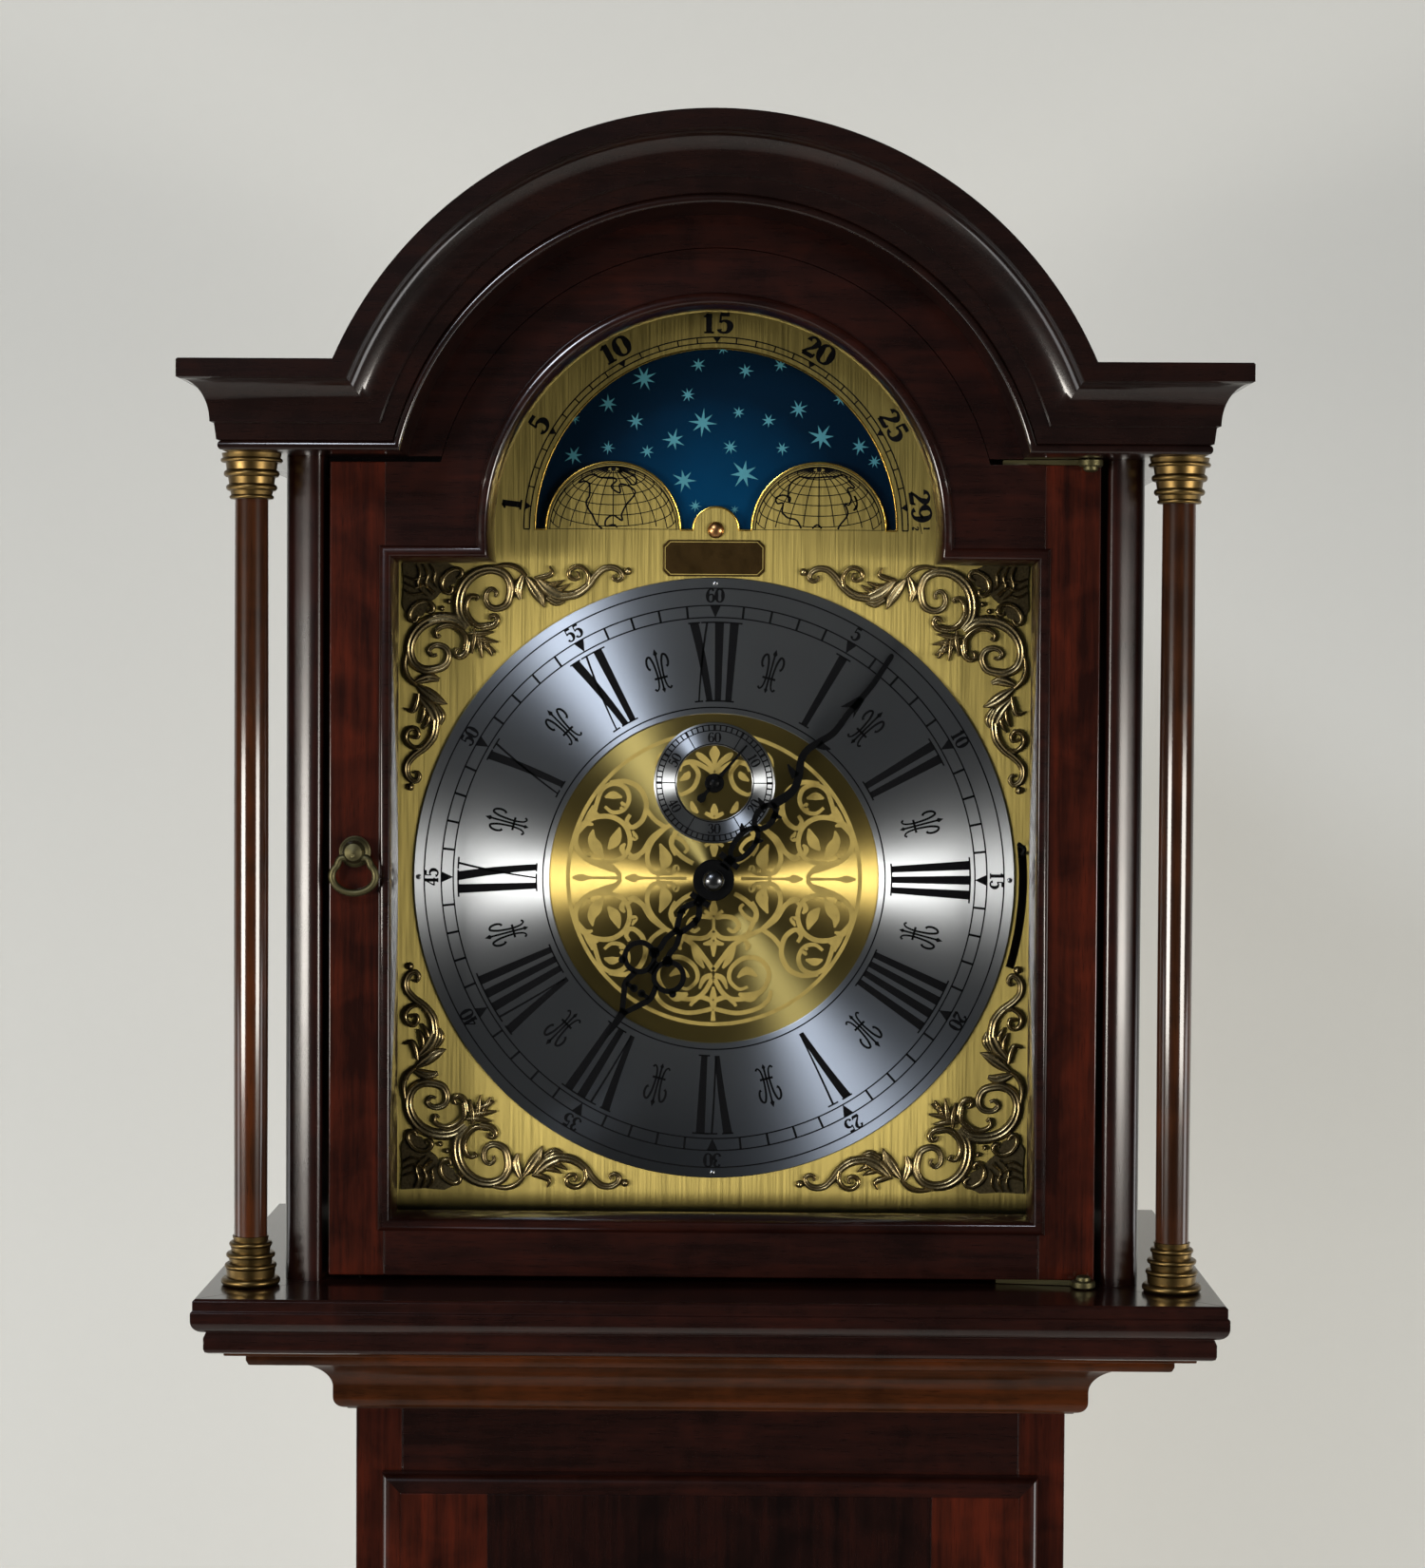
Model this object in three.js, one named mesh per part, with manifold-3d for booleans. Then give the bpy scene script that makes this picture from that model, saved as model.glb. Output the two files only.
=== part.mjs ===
// Grandmother clock with a break-arch hood, moon dial, pendulum and three chain-wound weights.
// Millimetres, +Z up, front of the clock towards -Y, origin on the floor under the middle of the clock.
import * as THREE from "three";
import { mergeVertices } from "three/addons/utils/BufferGeometryUtils.js";
import Module from "manifold-3d";

const wasm = await Module();
wasm.setup();

// Facets of round forms
const ARCH_STEPS = 16; // the hood's arch
const ROUND = 10; // small turned pieces
const SMALL_ROUND = 8; // arbors, pins and pillars

// Clearances
const GLUE = 0.2; // between pieces that are fixed together
const RUN = 0.4; // between pieces that turn or slide
const DOOR_GAP = 1.2; // round the trunk door
const ARCH_GAP = 1; // round the hood door's arch

// Heights above the floor
const PLINTH_H = 90;
const BASE_TOP = 400;
const WAIST_H = 42;
const BOARD_TOP = 1290; // top of the hood's base board
const SEAT_RISE = 55; // top of the seat board above the base board
const DIAL_RISE = 169; // dial centre above the base board
const ARCH_RISE = 317; // centre of the hood's arch above the base board
const CORNICE_RISE = 348.5; // underside of the cornice above the base board

// Depths, measured back from the front edge of the hood's base board
const BACK_Y = 250;
const BACKBOARD_T = 12;
const DOOR_Y = 46;
const TRUNK_Y = 60;
const BASE_Y = 18;
const DIAL_Y = 88;
const FRONT_PLATE_Y = 112;
const BACK_PLATE_Y = 165;
const CHAIN_Y = 139;
const PENDULUM_Y = 192;

// Half widths, which follow from the dial
const DIAL_HALF = 140;
const DIAL_ARCH_R = 102;
const SIGHT_LAP = 1.5; // door opening inside the dial's edge
const ARCH_LAP = 4;
const HOOD_STILE_W = 23.5;
const HOOD_HEAD_W = 21; // door frame over the arched opening
const HOOD_DOOR_GAP = 3;
const HOOD_SIDE_T = 16;
const CHEEK_W = 11.7; // trunk beyond the dial
const SLIDE_GAP = 1.5; // hood base frame round the trunk
const OPENING_HALF = DIAL_HALF - SIGHT_LAP;
const OPENING_ARCH_R = DIAL_ARCH_R - ARCH_LAP;
const HOOD_DOOR_HALF = OPENING_HALF + HOOD_STILE_W;
const HOOD_DOOR_ARCH_R = OPENING_ARCH_R + HOOD_HEAD_W;
const HOOD_HALF = HOOD_DOOR_HALF + HOOD_DOOR_GAP + HOOD_SIDE_T;
const CORNICE_HALF = HOOD_HALF + 22; // at the foot of the cornice
const COLUMN_X = HOOD_HALF + 12.5;
const BOARD_HALF = COLUMN_X + 19.7;
const TRUNK_HALF = DIAL_HALF + CHEEK_W;
const TRUNK_DOOR_HALF = TRUNK_HALF - CHEEK_W;
const BASE_HALF = TRUNK_HALF + 44.3;

// Case boards
const BOARD_T = 14;
const HOOD_BASE_T = 23.4;
const RAIL_W = BOARD_HALF - TRUNK_HALF - SLIDE_GAP; // width of the hood base frame's rails
const FRAME_T = 18;
const BASE_FRONT_T = 16;
const SEAT_T = 20;
const TRUNK_SINK = 60; // how far the trunk reaches down into the base
const PANEL_MARGIN = 48; // round the base's fielded panel
const PANEL_BEVEL = 9;
const PLINTH_T = 14;
const FOOT_W = 70; // bracket feet
const APRON_RISE = 26; // arch between the feet
const APRON_LAP = 14; // front panel starts this far above the arch
const THROAT_OUT = 49.3; // throat moulding's reach at its top
const THROAT_H = 33;
const DIAL_BEHIND = 8; // seat board and cheeks stand this far behind the dial's face
const ROOF_T = 6;
const FRONT_BOARD_T = 16;

// Cornice
const CORNICE_H = 36;
const CORNICE_OUT = 15.4;
const CORNICE_ARCH_R = HOOD_DOOR_ARCH_R + 14; // inner edge of the arch
const CORNICE_DEPTH = 35.3; // from the cornice's foot back to the front board
const ROOF_R = CORNICE_ARCH_R + 27;

// Columns
const COLUMN_Y = 36;
const COLUMN_R = 6.9;
const CAPITAL_H = 19;
const COLUMN_BASE_H = 20.7;

// Hood door
const HOOD_DOOR_T = 16;
const STRAP_GAP = 2.4; // over and under the door, where the hinge straps lie
const OPENING_LOW = 24; // foot of the glazed opening above the base board
const OPENING_SHOULDER = 308.5;
const BEAD_W = 6.7;
const BEAD_PROUD = 3.2;
const GLASS_T = 3;
const GLASS_IN = 5; // glass lapped by the frame
const GLASS_SINK = 1.5; // glass from the frame's back
const PIVOT_X = HOOD_DOOR_HALF - 5; // hinge pins stand just in front of the door's right edge
const PIVOT_Y = 40.6;
const PIVOT_R = 2;
const KNUCKLE_R = 5.1;
const STRAP_L = PIVOT_X - HOOD_DOOR_ARCH_R - 2; // stops short of the arch's foot
const PIN_DEPTH = 7; // hinge pins into the board below and the cornice above

// Trunk door
const TRUNK_DOOR_TOP = 1206;
const TRUNK_DOOR_FOOT = 500;
const LIP_T = 8;
const LIP_W = 8;
const DOOR_BODY_T = 10;

// Ring pull and knob
const PULL_X = 11 - HOOD_DOOR_HALF;
const PULL_RISE = 183;
const PULL_BOSS_R = 5.8;
const PULL_OUT = 9;
const BAIL_W = 18.5;
const BAIL_H = 12;
const BAIL_R = 1.3;
const KNOB_R = 9;
const KNOB_OUT = 22;

// Dial
const DIAL_T = 2;
const DIAL_LOW = 20; // foot of the dial plate above the base board
const DIAL_SHOULDER = 312;
const MOON_RISE = 151; // moon's centre above the dial centre
const APERTURE_R = 78.3;
const HUMP_X = 44.5;
const HUMP_R = 29.2;
const TONGUE_R = 10;
const RING_OUT_R = DIAL_HALF - 9.6;
const RING_IN_R = 71.6;
const RING_T = 1.2;
const SECONDS_RISE = 41.5;
const SPANDREL_T = 2.6;
const SPANDREL_INSET = 3; // from the dial opening's corner
const MOON_DISC_R = 81;
const MOON_DISC_T = 1.2;
const MOON_BEHIND = 1;
const LEVER_R = RING_OUT_R + 3.8;
const LEVER_REST = 85; // degrees clockwise from twelve
const LEVER_TRAVEL = 20;
const SLOT_HALF = 1.9;
const MOON_PIN_R = 2.2;
const HOUR_PIPE_R = 5;

// Hands
const HAND_T = 1.2;
const MINUTE_HAND_L = 124;
const HOUR_HAND_L = 84;
const SECONDS_HAND_L = 21.6;
const MINUTE_ANGLE = 38; // degrees clockwise from twelve
const HOUR_ANGLE = 214;
const SECONDS_ANGLE = 40.4;
const MINUTE_HAND_Y = 74;
const HOUR_HAND_Y = 78;
const SECONDS_HAND_Y = 84;
const HUB_R = 8.9;

// Movement
const PLATE_HALF = 94;
const PLATE_T = 2.5;
const PLATE_RISE = 262; // top of the plates above the base board
const PILLAR_R = 5;
const CHAIN_PITCH = 62; // between the chain wheels
const CHAIN_WHEEL_R = 14; // middle of the chain on its wheel
const CHAIN_WHEEL_RISE = 40; // above the seat board
const CHAIN_R = 2;
const CHAIN_TAIL = 110; // free end below the wheel
const GEAR_MODULE = 1.07;
const CENTRE_TEETH = 48;
const THIRD_TEETH = 45;
const PINION_LEAVES = 6;
const ESCAPE_TEETH = 30;
const ESCAPE_R = 19;
const WHEEL_T = 2;
const ARBOR_R = 2.5;
const PALLET_RISE = 34; // pallet arbor above the escape wheel
const THIRD_ARBOR_R = 1.6;
const ESCAPE_ARBOR_R = 1.2;
const PALLET_ARBOR_R = 2;
const CENTRE_WHEEL_Y = 150;
const THIRD_WHEEL_Y = 126;
const ESCAPE_WHEEL_Y = 140;
const PINION_T = 6;
const PINION_LEAD = 2; // pinion starts this far in front of the wheel it meets
const ANCHOR_T = 4;
const FORK_DROP = 95;
const FORK_H = 8;
const PALLET_REACH = 22;
const COCK_RISE = 8; // cock above the pallet arbor
const COCK_HALF = 11;
const COCK_H = 9;
const PILLAR_IN = 10; // pillars from the plates' edges

// Pendulum, weights and chime rods
const PENDULUM_L = 860;
const BOB_R = 55;
const BOB_T = 22;
const LATH_W = 10;
const LATH_T = 5;
const WEIGHT_R = 26;
const WEIGHT_L = 180;
const WEIGHT_FOOT = 470;
const WEIGHT_NECK = 18;
const ROD_COUNT = 8;
const ROD_R = 2;
const ROD_SHORTEST = 230;
const ROD_STEP = 22;
const ROD_BLOCK_W = 110;
const ROD_BLOCK_H = 26;
const ROD_BLOCK_T = 18;

// Heights that follow from those above
const DIAL_Z = BOARD_TOP + DIAL_RISE;
const MOON_Z = DIAL_Z + MOON_RISE;
const SECONDS_Z = DIAL_Z + SECONDS_RISE;
const ARCH_Z = BOARD_TOP + ARCH_RISE;
const CORNICE_Z = BOARD_TOP + CORNICE_RISE;
const SEAT_Z = BOARD_TOP + SEAT_RISE;
const THROAT_TOP = BOARD_TOP - HOOD_BASE_T - RUN;
const BACKBOARD_Y = BACK_Y - BACKBOARD_T;

// Colours
const MAHOGANY = { color: 0x3a1710, roughness: 0.35, metalness: 0 };
const BRASS = { color: 0xb8963e, roughness: 0.3, metalness: 1 };
const OLD_BRASS = { color: 0x7a6034, roughness: 0.45, metalness: 1 };
const SILVERED = { color: 0xb4b8bc, roughness: 0.3, metalness: 1 };
const BLACK_STEEL = { color: 0x0c0c0e, roughness: 0.4, metalness: 0.3 };
const STEEL = { color: 0x8a8d90, roughness: 0.35, metalness: 1 };
const GLASS = { color: 0xe8f0ee, roughness: 0.05, metalness: 0, transparent: true, opacity: 0.2 };
const NIGHT_BLUE = { color: 0x0d3a66, roughness: 0.5, metalness: 0 };

// A geometry as a solid: shared corners merged, collapsed faces dropped, faces pointing out.
function solidOf(geometry) {
  const bare = geometry.index ? geometry.toNonIndexed() : geometry.clone();
  bare.deleteAttribute("normal");
  bare.deleteAttribute("uv");
  bare.morphAttributes = {};
  const merged = mergeVertices(bare, 1e-4);
  const kept = [];
  const index = merged.index.array;
  for (let i = 0; i < index.length; i += 3) {
    const [a, b, c] = [index[i], index[i + 1], index[i + 2]];
    if (a !== b && b !== c && a !== c) kept.push(a, b, c);
  }
  const vertProperties = new Float32Array(merged.attributes.position.array);
  const made = (order) =>
    new wasm.Manifold(new wasm.Mesh({ numProp: 3, vertProperties, triVerts: new Uint32Array(order) }));
  const first = made(kept);
  if (first.volume() >= 0) return first;
  return made(kept.slice().reverse());
}

// A solid as a geometry that holds only positions.
function geometryOf(solid) {
  const mesh = solid.getMesh();
  const points = new Float32Array(mesh.numVert * 3);
  for (let i = 0; i < mesh.numVert; i++) {
    points.set(mesh.vertProperties.subarray(i * mesh.numProp, i * mesh.numProp + 3), i * 3);
  }
  const geometry = new THREE.BufferGeometry();
  geometry.setAttribute("position", new THREE.BufferAttribute(points, 3));
  geometry.setIndex(new THREE.BufferAttribute(new Uint32Array(mesh.triVerts), 1));
  return geometry;
}

function join(first, ...others) {
  return geometryOf(others.reduce((sum, g) => sum.add(solidOf(g)), solidOf(first)));
}

function cut(first, ...tools) {
  return geometryOf(tools.reduce((rest, g) => rest.subtract(solidOf(g)), solidOf(first)));
}

const clock = new THREE.Group();

// Adds one sub-part to the clock under its name, with its own material.
function piece(name, geometry, finish, parent = clock) {
  const mesh = new THREE.Mesh(geometryOf(solidOf(geometry)), new THREE.MeshStandardMaterial(finish));
  mesh.geometry.computeVertexNormals();
  mesh.name = name;
  parent.add(mesh);
  return mesh;
}

// A block between two corners.
function block(x0, x1, y0, y1, z0, z1) {
  const g = new THREE.BoxGeometry(x1 - x0, y1 - y0, z1 - z0);
  return g.translate((x0 + x1) / 2, (y0 + y1) / 2, (z0 + z1) / 2);
}

// An outline drawn in the front view (x, z), as thick as y0 to y1.
function frontSlab(shape, y0, y1, curveSegments = 24) {
  const g = new THREE.ExtrudeGeometry(shape, { depth: y1 - y0, bevelEnabled: false, curveSegments });
  return g.rotateX(Math.PI / 2).translate(0, y1, 0);
}

// An outline drawn in plan (x, y), as tall as z0 to z1.
function planSlab(shape, z0, z1, curveSegments = 12) {
  const g = new THREE.ExtrudeGeometry(shape, { depth: z1 - z0, bevelEnabled: false, curveSegments });
  return g.translate(0, 0, z0);
}

// A turned piece on an upright axis, its profile given as [radius, height].
function turned(profile, segments = ROUND) {
  const g = new THREE.LatheGeometry(profile.map(([r, z]) => new THREE.Vector2(r, z)), segments);
  return g.rotateX(Math.PI / 2);
}

// A turned piece on an axis from front to back, its profile given as [radius, depth].
function turnedAcross(profile, segments = ROUND) {
  return new THREE.LatheGeometry(profile.map(([r, y]) => new THREE.Vector2(r, y)), segments);
}

// A round bar on an axis from front to back.
function barAcross(radius, y0, y1, x, z, segments = SMALL_ROUND) {
  return turnedAcross([[0, y0], [radius, y0], [radius, y1], [0, y1]], segments).translate(x, 0, z);
}

// A closed outline through corner points.
function outline(points) {
  return new THREE.Shape(points.map(([x, y]) => new THREE.Vector2(x, y)));
}

// A hole through corner points, for an outline.
function holeOf(points) {
  return new THREE.Path(points.map(([x, z]) => new THREE.Vector2(x, z)));
}

// A profile carried through stations; each has a point and the directions of the profile's out and up.
function carried(drawn, stations) {
  const clockwise = THREE.ShapeUtils.area(drawn.map(([o, u]) => new THREE.Vector2(o, u))) < 0;
  const profile = clockwise ? drawn.slice().reverse() : drawn;
  const count = profile.length;
  const points = [];
  for (const { at, out, up } of stations) {
    for (const [o, u] of profile) {
      points.push(at[0] + o * out[0] + u * up[0]);
      points.push(at[1] + o * out[1] + u * up[1]);
      points.push(at[2] + o * out[2] + u * up[2]);
    }
  }
  const faces = [];
  for (let s = 0; s + 1 < stations.length; s++) {
    for (let i = 0; i < count; i++) {
      const a = s * count + i;
      const b = s * count + ((i + 1) % count);
      faces.push(a, b, a + count, b, b + count, a + count);
    }
  }
  const section = profile.map(([o, u]) => new THREE.Vector2(o, u));
  const last = (stations.length - 1) * count;
  for (const [a, b, c] of THREE.ShapeUtils.triangulateShape(section, [])) {
    faces.push(c, b, a);
    faces.push(last + a, last + b, last + c);
  }
  const g = new THREE.BufferGeometry();
  g.setAttribute("position", new THREE.Float32BufferAttribute(points, 3));
  g.setIndex(faces);
  return g;
}

// A moulding mitred round the front and both sides of the case, at a half width and a front depth.
function wrapped(profile, half, frontY, z) {
  const up = [0, 0, 1];
  return carried(profile, [
    { at: [-half, BACK_Y - BACKBOARD_T - GLUE, z], out: [-1, 0, 0], up },
    { at: [-half, frontY, z], out: [-1, -1, 0], up },
    { at: [half, frontY, z], out: [1, -1, 0], up },
    { at: [half, BACK_Y - BACKBOARD_T - GLUE, z], out: [1, 0, 0], up },
  ]);
}

// Points of an arc, angles in degrees from +x towards +z.
function arcPoints(cx, cz, r, from, to, steps) {
  const points = [];
  for (let i = 0; i <= steps; i++) {
    const a = THREE.MathUtils.degToRad(from + ((to - from) * i) / steps);
    points.push([cx + r * Math.cos(a), cz + r * Math.sin(a)]);
  }
  return points;
}

// Angle at which a circle of radius r reaches a height above its centre.
function angleAtHeight(r, height) {
  return THREE.MathUtils.radToDeg(Math.asin(height / r));
}

// Case: base, trunk and backboard

function buildBackboard() {
  const hoodHalf = HOOD_HALF - HOOD_SIDE_T - 1;
  const archR = ROOF_R - ROOF_T - 4;
  const shoulderZ = CORNICE_Z + CORNICE_H - ROOF_T - 4;
  const low = angleAtHeight(archR, shoulderZ - ARCH_Z);
  const shape = outline([
    [-BASE_HALF, 0],
    [BASE_HALF, 0],
    [BASE_HALF, BASE_TOP],
    [TRUNK_HALF, BASE_TOP],
    [TRUNK_HALF, BOARD_TOP + 1],
    [hoodHalf, BOARD_TOP + 1],
    [hoodHalf, shoulderZ],
    ...arcPoints(0, ARCH_Z, archR, low, 180 - low, ARCH_STEPS),
    [-hoodHalf, shoulderZ],
    [-hoodHalf, BOARD_TOP + 1],
    [-TRUNK_HALF, BOARD_TOP + 1],
    [-TRUNK_HALF, BASE_TOP],
    [-BASE_HALF, BASE_TOP],
  ]);
  piece("backboard", frontSlab(shape, BACKBOARD_Y, BACK_Y), MAHOGANY);
}

function buildBase() {
  const inside = BASE_HALF - BOARD_T;
  const behindFront = BASE_Y + BASE_FRONT_T + GLUE;
  for (const [name, x0, x1] of [["left", -BASE_HALF, -inside], ["right", inside, BASE_HALF]]) {
    piece("base_side_" + name, block(x0, x1, behindFront, BACKBOARD_Y - GLUE, 0, BASE_TOP), MAHOGANY);
  }
  // The front carries a fielded panel: a raised field with a bevel all round.
  const field = new THREE.ExtrudeGeometry(
    outline([
      [-BASE_HALF + PANEL_MARGIN, PLINTH_H + PANEL_MARGIN],
      [BASE_HALF - PANEL_MARGIN, PLINTH_H + PANEL_MARGIN],
      [BASE_HALF - PANEL_MARGIN, BASE_TOP - PANEL_MARGIN],
      [-BASE_HALF + PANEL_MARGIN, BASE_TOP - PANEL_MARGIN],
    ]),
    { depth: 1.5, bevelEnabled: true, bevelThickness: 3, bevelSize: PANEL_BEVEL, bevelSegments: 1 },
  );
  field.rotateX(Math.PI / 2).translate(0, BASE_Y + 2, 0);
  const board = block(-BASE_HALF, BASE_HALF, BASE_Y, BASE_Y + BASE_FRONT_T, APRON_RISE + APRON_LAP, BASE_TOP);
  piece("base_front", join(board, field), MAHOGANY);
  // Skirting with an ogee top edge, cut to bracket feet at the front.
  const t = PLINTH_T;
  const skirting = wrapped(
    [
      [GLUE, 0],
      [t, 0],
      [t, PLINTH_H - 20],
      [t - 2, PLINTH_H - 17],
      [t - 3, PLINTH_H - 11],
      [t - 6, PLINTH_H - 7],
      [t - 9, PLINTH_H - 5],
      [t - 10, PLINTH_H],
      [GLUE, PLINTH_H],
    ],
    BASE_HALF,
    BASE_Y,
    0,
  );
  const low = outline([
    [-BASE_HALF + FOOT_W, -1],
    [BASE_HALF - FOOT_W, -1],
    [BASE_HALF - FOOT_W - 8, APRON_RISE * 0.6],
    [BASE_HALF - FOOT_W - 26, APRON_RISE],
    [-BASE_HALF + FOOT_W + 26, APRON_RISE],
    [-BASE_HALF + FOOT_W + 8, APRON_RISE * 0.6],
  ]);
  piece("plinth_moulding", cut(skirting, frontSlab(low, BASE_Y - t - 1, BASE_Y - GLUE / 2)), MAHOGANY);
  // Moulding that steps in from the base to the trunk: a cove between two fillets.
  const out = BASE_HALF - TRUNK_HALF + 4;
  const waist = [
    [GLUE, 0],
    [out, 0],
    [out, 6],
    [out - 3, 10],
    [out - 4, 13],
  ];
  for (let i = 0; i <= 6; i++) {
    const a = (i / 6) * (Math.PI / 2);
    waist.push([out - 8 - (out - 16) * Math.sin(a), WAIST_H - 6 - 23 * Math.cos(a)]);
  }
  waist.push([8, WAIST_H - 2], [5, WAIST_H], [GLUE, WAIST_H]);
  piece("waist_moulding", wrapped(waist, TRUNK_HALF, TRUNK_Y, BASE_TOP + GLUE), MAHOGANY);
}

function buildTrunk() {
  const inside = TRUNK_HALF - BOARD_T;
  const foot = BASE_TOP - TRUNK_SINK;
  const behindFrame = TRUNK_Y + FRAME_T + GLUE;
  const cheekTop = SEAT_Z - SEAT_T - GLUE;
  // The sides rise into the hood as cheeks for the seat board, notched to pass behind the dial.
  const notchBack = DIAL_Y + DIAL_BEHIND;
  const notch = block(-BASE_HALF, BASE_HALF, TRUNK_Y, notchBack, BOARD_TOP + DIAL_LOW - 6, cheekTop + 1);
  for (const [name, x0, x1] of [["left", -TRUNK_HALF, -inside], ["right", inside, TRUNK_HALF]]) {
    const board = block(x0, x1, behindFrame, BACKBOARD_Y - GLUE, foot, cheekTop);
    piece("trunk_side_" + name, cut(board, notch), MAHOGANY);
  }
  const openHalf = TRUNK_DOOR_HALF - LIP_W;
  const frame = cut(
    block(-TRUNK_HALF, TRUNK_HALF, TRUNK_Y, TRUNK_Y + FRAME_T, foot, THROAT_TOP),
    block(
      -openHalf,
      openHalf,
      TRUNK_Y - 1,
      TRUNK_Y + FRAME_T + 1,
      TRUNK_DOOR_FOOT + LIP_W,
      TRUNK_DOOR_TOP - LIP_W,
    ),
  );
  piece("trunk_front_frame", frame, MAHOGANY);
  // Throat moulding under the hood: fillets, a deep cove and a quarter round against the trunk.
  const top = THROAT_OUT;
  const drop = THROAT_H;
  const throat = [
    [GLUE, 0],
    [top, 0],
    [top, -1.5],
    [top - 8, -2.5],
    [top - 8, -5],
    [top - 9, -7],
    [top - 22, -7.3],
  ];
  for (let i = 1; i <= 7; i++) {
    const a = (i / 7) * (Math.PI / 2);
    throat.push([top - 22 - 17 * Math.sin(a), -7.3 - 15.5 * (1 - Math.cos(a))]);
  }
  throat.push([9, -24], [9, -27], [8, -29], [5, -31], [3.5, -drop], [GLUE, -drop]);
  piece("throat_moulding", wrapped(throat, TRUNK_HALF, TRUNK_Y, THROAT_TOP), MAHOGANY);
  const seatLow = SEAT_Z - SEAT_T;
  const seat = block(-TRUNK_HALF, TRUNK_HALF, notchBack, BACKBOARD_Y - GLUE, seatLow, SEAT_Z);
  const slots = [];
  for (const x of chainWheelXs()) {
    for (const side of [-1, 1]) {
      const cx = x + side * CHAIN_WHEEL_R;
      slots.push(block(cx - 6, cx + 6, CHAIN_Y - 7, CHAIN_Y + 7, seatLow - 1, SEAT_Z + 1));
    }
  }
  slots.push(block(-70, 70, PENDULUM_Y - 14, PENDULUM_Y + 14, seatLow - 1, SEAT_Z + 1));
  piece("seat_board", cut(seat, ...slots), MAHOGANY);
}

function chainWheelXs() {
  return [-CHAIN_PITCH, 0, CHAIN_PITCH];
}

function buildTrunkDoor() {
  const body = TRUNK_DOOR_HALF - LIP_W - DOOR_GAP;
  const lipBack = TRUNK_Y - RUN;
  const edge = 4;
  // The lip has a rounded edge and laps the frame; the body behind it fills the opening.
  const lip = new THREE.ExtrudeGeometry(
    outline([
      [-TRUNK_DOOR_HALF + edge, TRUNK_DOOR_FOOT + edge],
      [TRUNK_DOOR_HALF - edge, TRUNK_DOOR_FOOT + edge],
      [TRUNK_DOOR_HALF - edge, TRUNK_DOOR_TOP - edge],
      [-TRUNK_DOOR_HALF + edge, TRUNK_DOOR_TOP - edge],
    ]),
    { depth: LIP_T - edge, bevelEnabled: true, bevelThickness: edge, bevelSize: edge, bevelSegments: 3 },
  );
  lip.rotateX(Math.PI / 2).translate(0, lipBack, 0);
  const trim = block(-BASE_HALF, BASE_HALF, lipBack, lipBack + 2 * edge, BASE_TOP, BOARD_TOP);
  const inner = block(
    -body,
    body,
    lipBack - 1,
    lipBack + DOOR_BODY_T,
    TRUNK_DOOR_FOOT + LIP_W + DOOR_GAP,
    TRUNK_DOOR_TOP - LIP_W - DOOR_GAP,
  );
  piece("trunk_door", join(cut(lip, trim), inner), MAHOGANY);
  const knobZ = (TRUNK_DOOR_TOP + TRUNK_DOOR_FOOT) / 2 + 60;
  const face = lipBack - LIP_T - GLUE;
  const knob = turnedAcross(
    [
      [0, face],
      [KNOB_R * 0.85, face],
      [KNOB_R * 0.8, face - 2],
      [KNOB_R * 0.42, face - 4],
      [KNOB_R * 0.4, face - 8],
      [KNOB_R * 0.9, face - 12],
      [KNOB_R, face - 15],
      [KNOB_R * 0.85, face - 19],
      [KNOB_R * 0.4, face - KNOB_OUT + 0.6],
      [0, face - KNOB_OUT],
    ],
  );
  piece("trunk_door_knob", knob.translate(-TRUNK_DOOR_HALF + 24, 0, knobZ), OLD_BRASS);
}

// Hood

function buildHoodBase() {
  const t = HOOD_BASE_T;
  const profile = [
    [-RAIL_W, -t],
    [-6.4, -t],
    [-4.7, -t + 2],
    [-4.7, -t + 7],
    [-5.6, -t + 8.7],
    [-2.6, -t + 10.2],
    [-0.8, -12.4],
    [0, -9],
    [0, -5.6],
    [-0.8, -4.6],
    [-0.8, -1],
    [-1.8, 0],
    [-RAIL_W, 0],
  ];
  const up = [0, 0, 1];
  const frame = carried(profile, [
    { at: [-BOARD_HALF, BACK_Y, BOARD_TOP], out: [-1, 0, 0], up },
    { at: [-BOARD_HALF, 0, BOARD_TOP], out: [-1, -1, 0], up },
    { at: [BOARD_HALF, 0, BOARD_TOP], out: [1, -1, 0], up },
    { at: [BOARD_HALF, BACK_Y, BOARD_TOP], out: [1, 0, 0], up },
  ]);
  piece("hood_base_frame", cut(frame, pinHole(BOARD_TOP - PIN_DEPTH - RUN, BOARD_TOP + 1)), MAHOGANY);
}

// Hole in which one of the hood door's hinge pins turns.
function pinHole(z0, z1) {
  const r = PIVOT_R + RUN;
  return turned([[0, z0], [r, z0], [r, z1], [0, z1]], SMALL_ROUND).translate(PIVOT_X, PIVOT_Y, 0);
}

function buildHoodSides() {
  const nose = HOOD_SIDE_T / 2;
  for (const [name, side] of [["left", -1], ["right", 1]]) {
    const mid = side * (HOOD_HALF - nose);
    const shape = outline([
      [mid + nose, BACK_Y],
      [mid - nose, BACK_Y],
      ...arcPoints(mid, DOOR_Y - 2 + nose, nose, 180, 360, 12),
    ]);
    piece("hood_side_" + name, planSlab(shape, BOARD_TOP + GLUE, CORNICE_Z - GLUE), MAHOGANY);
  }
}

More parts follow.
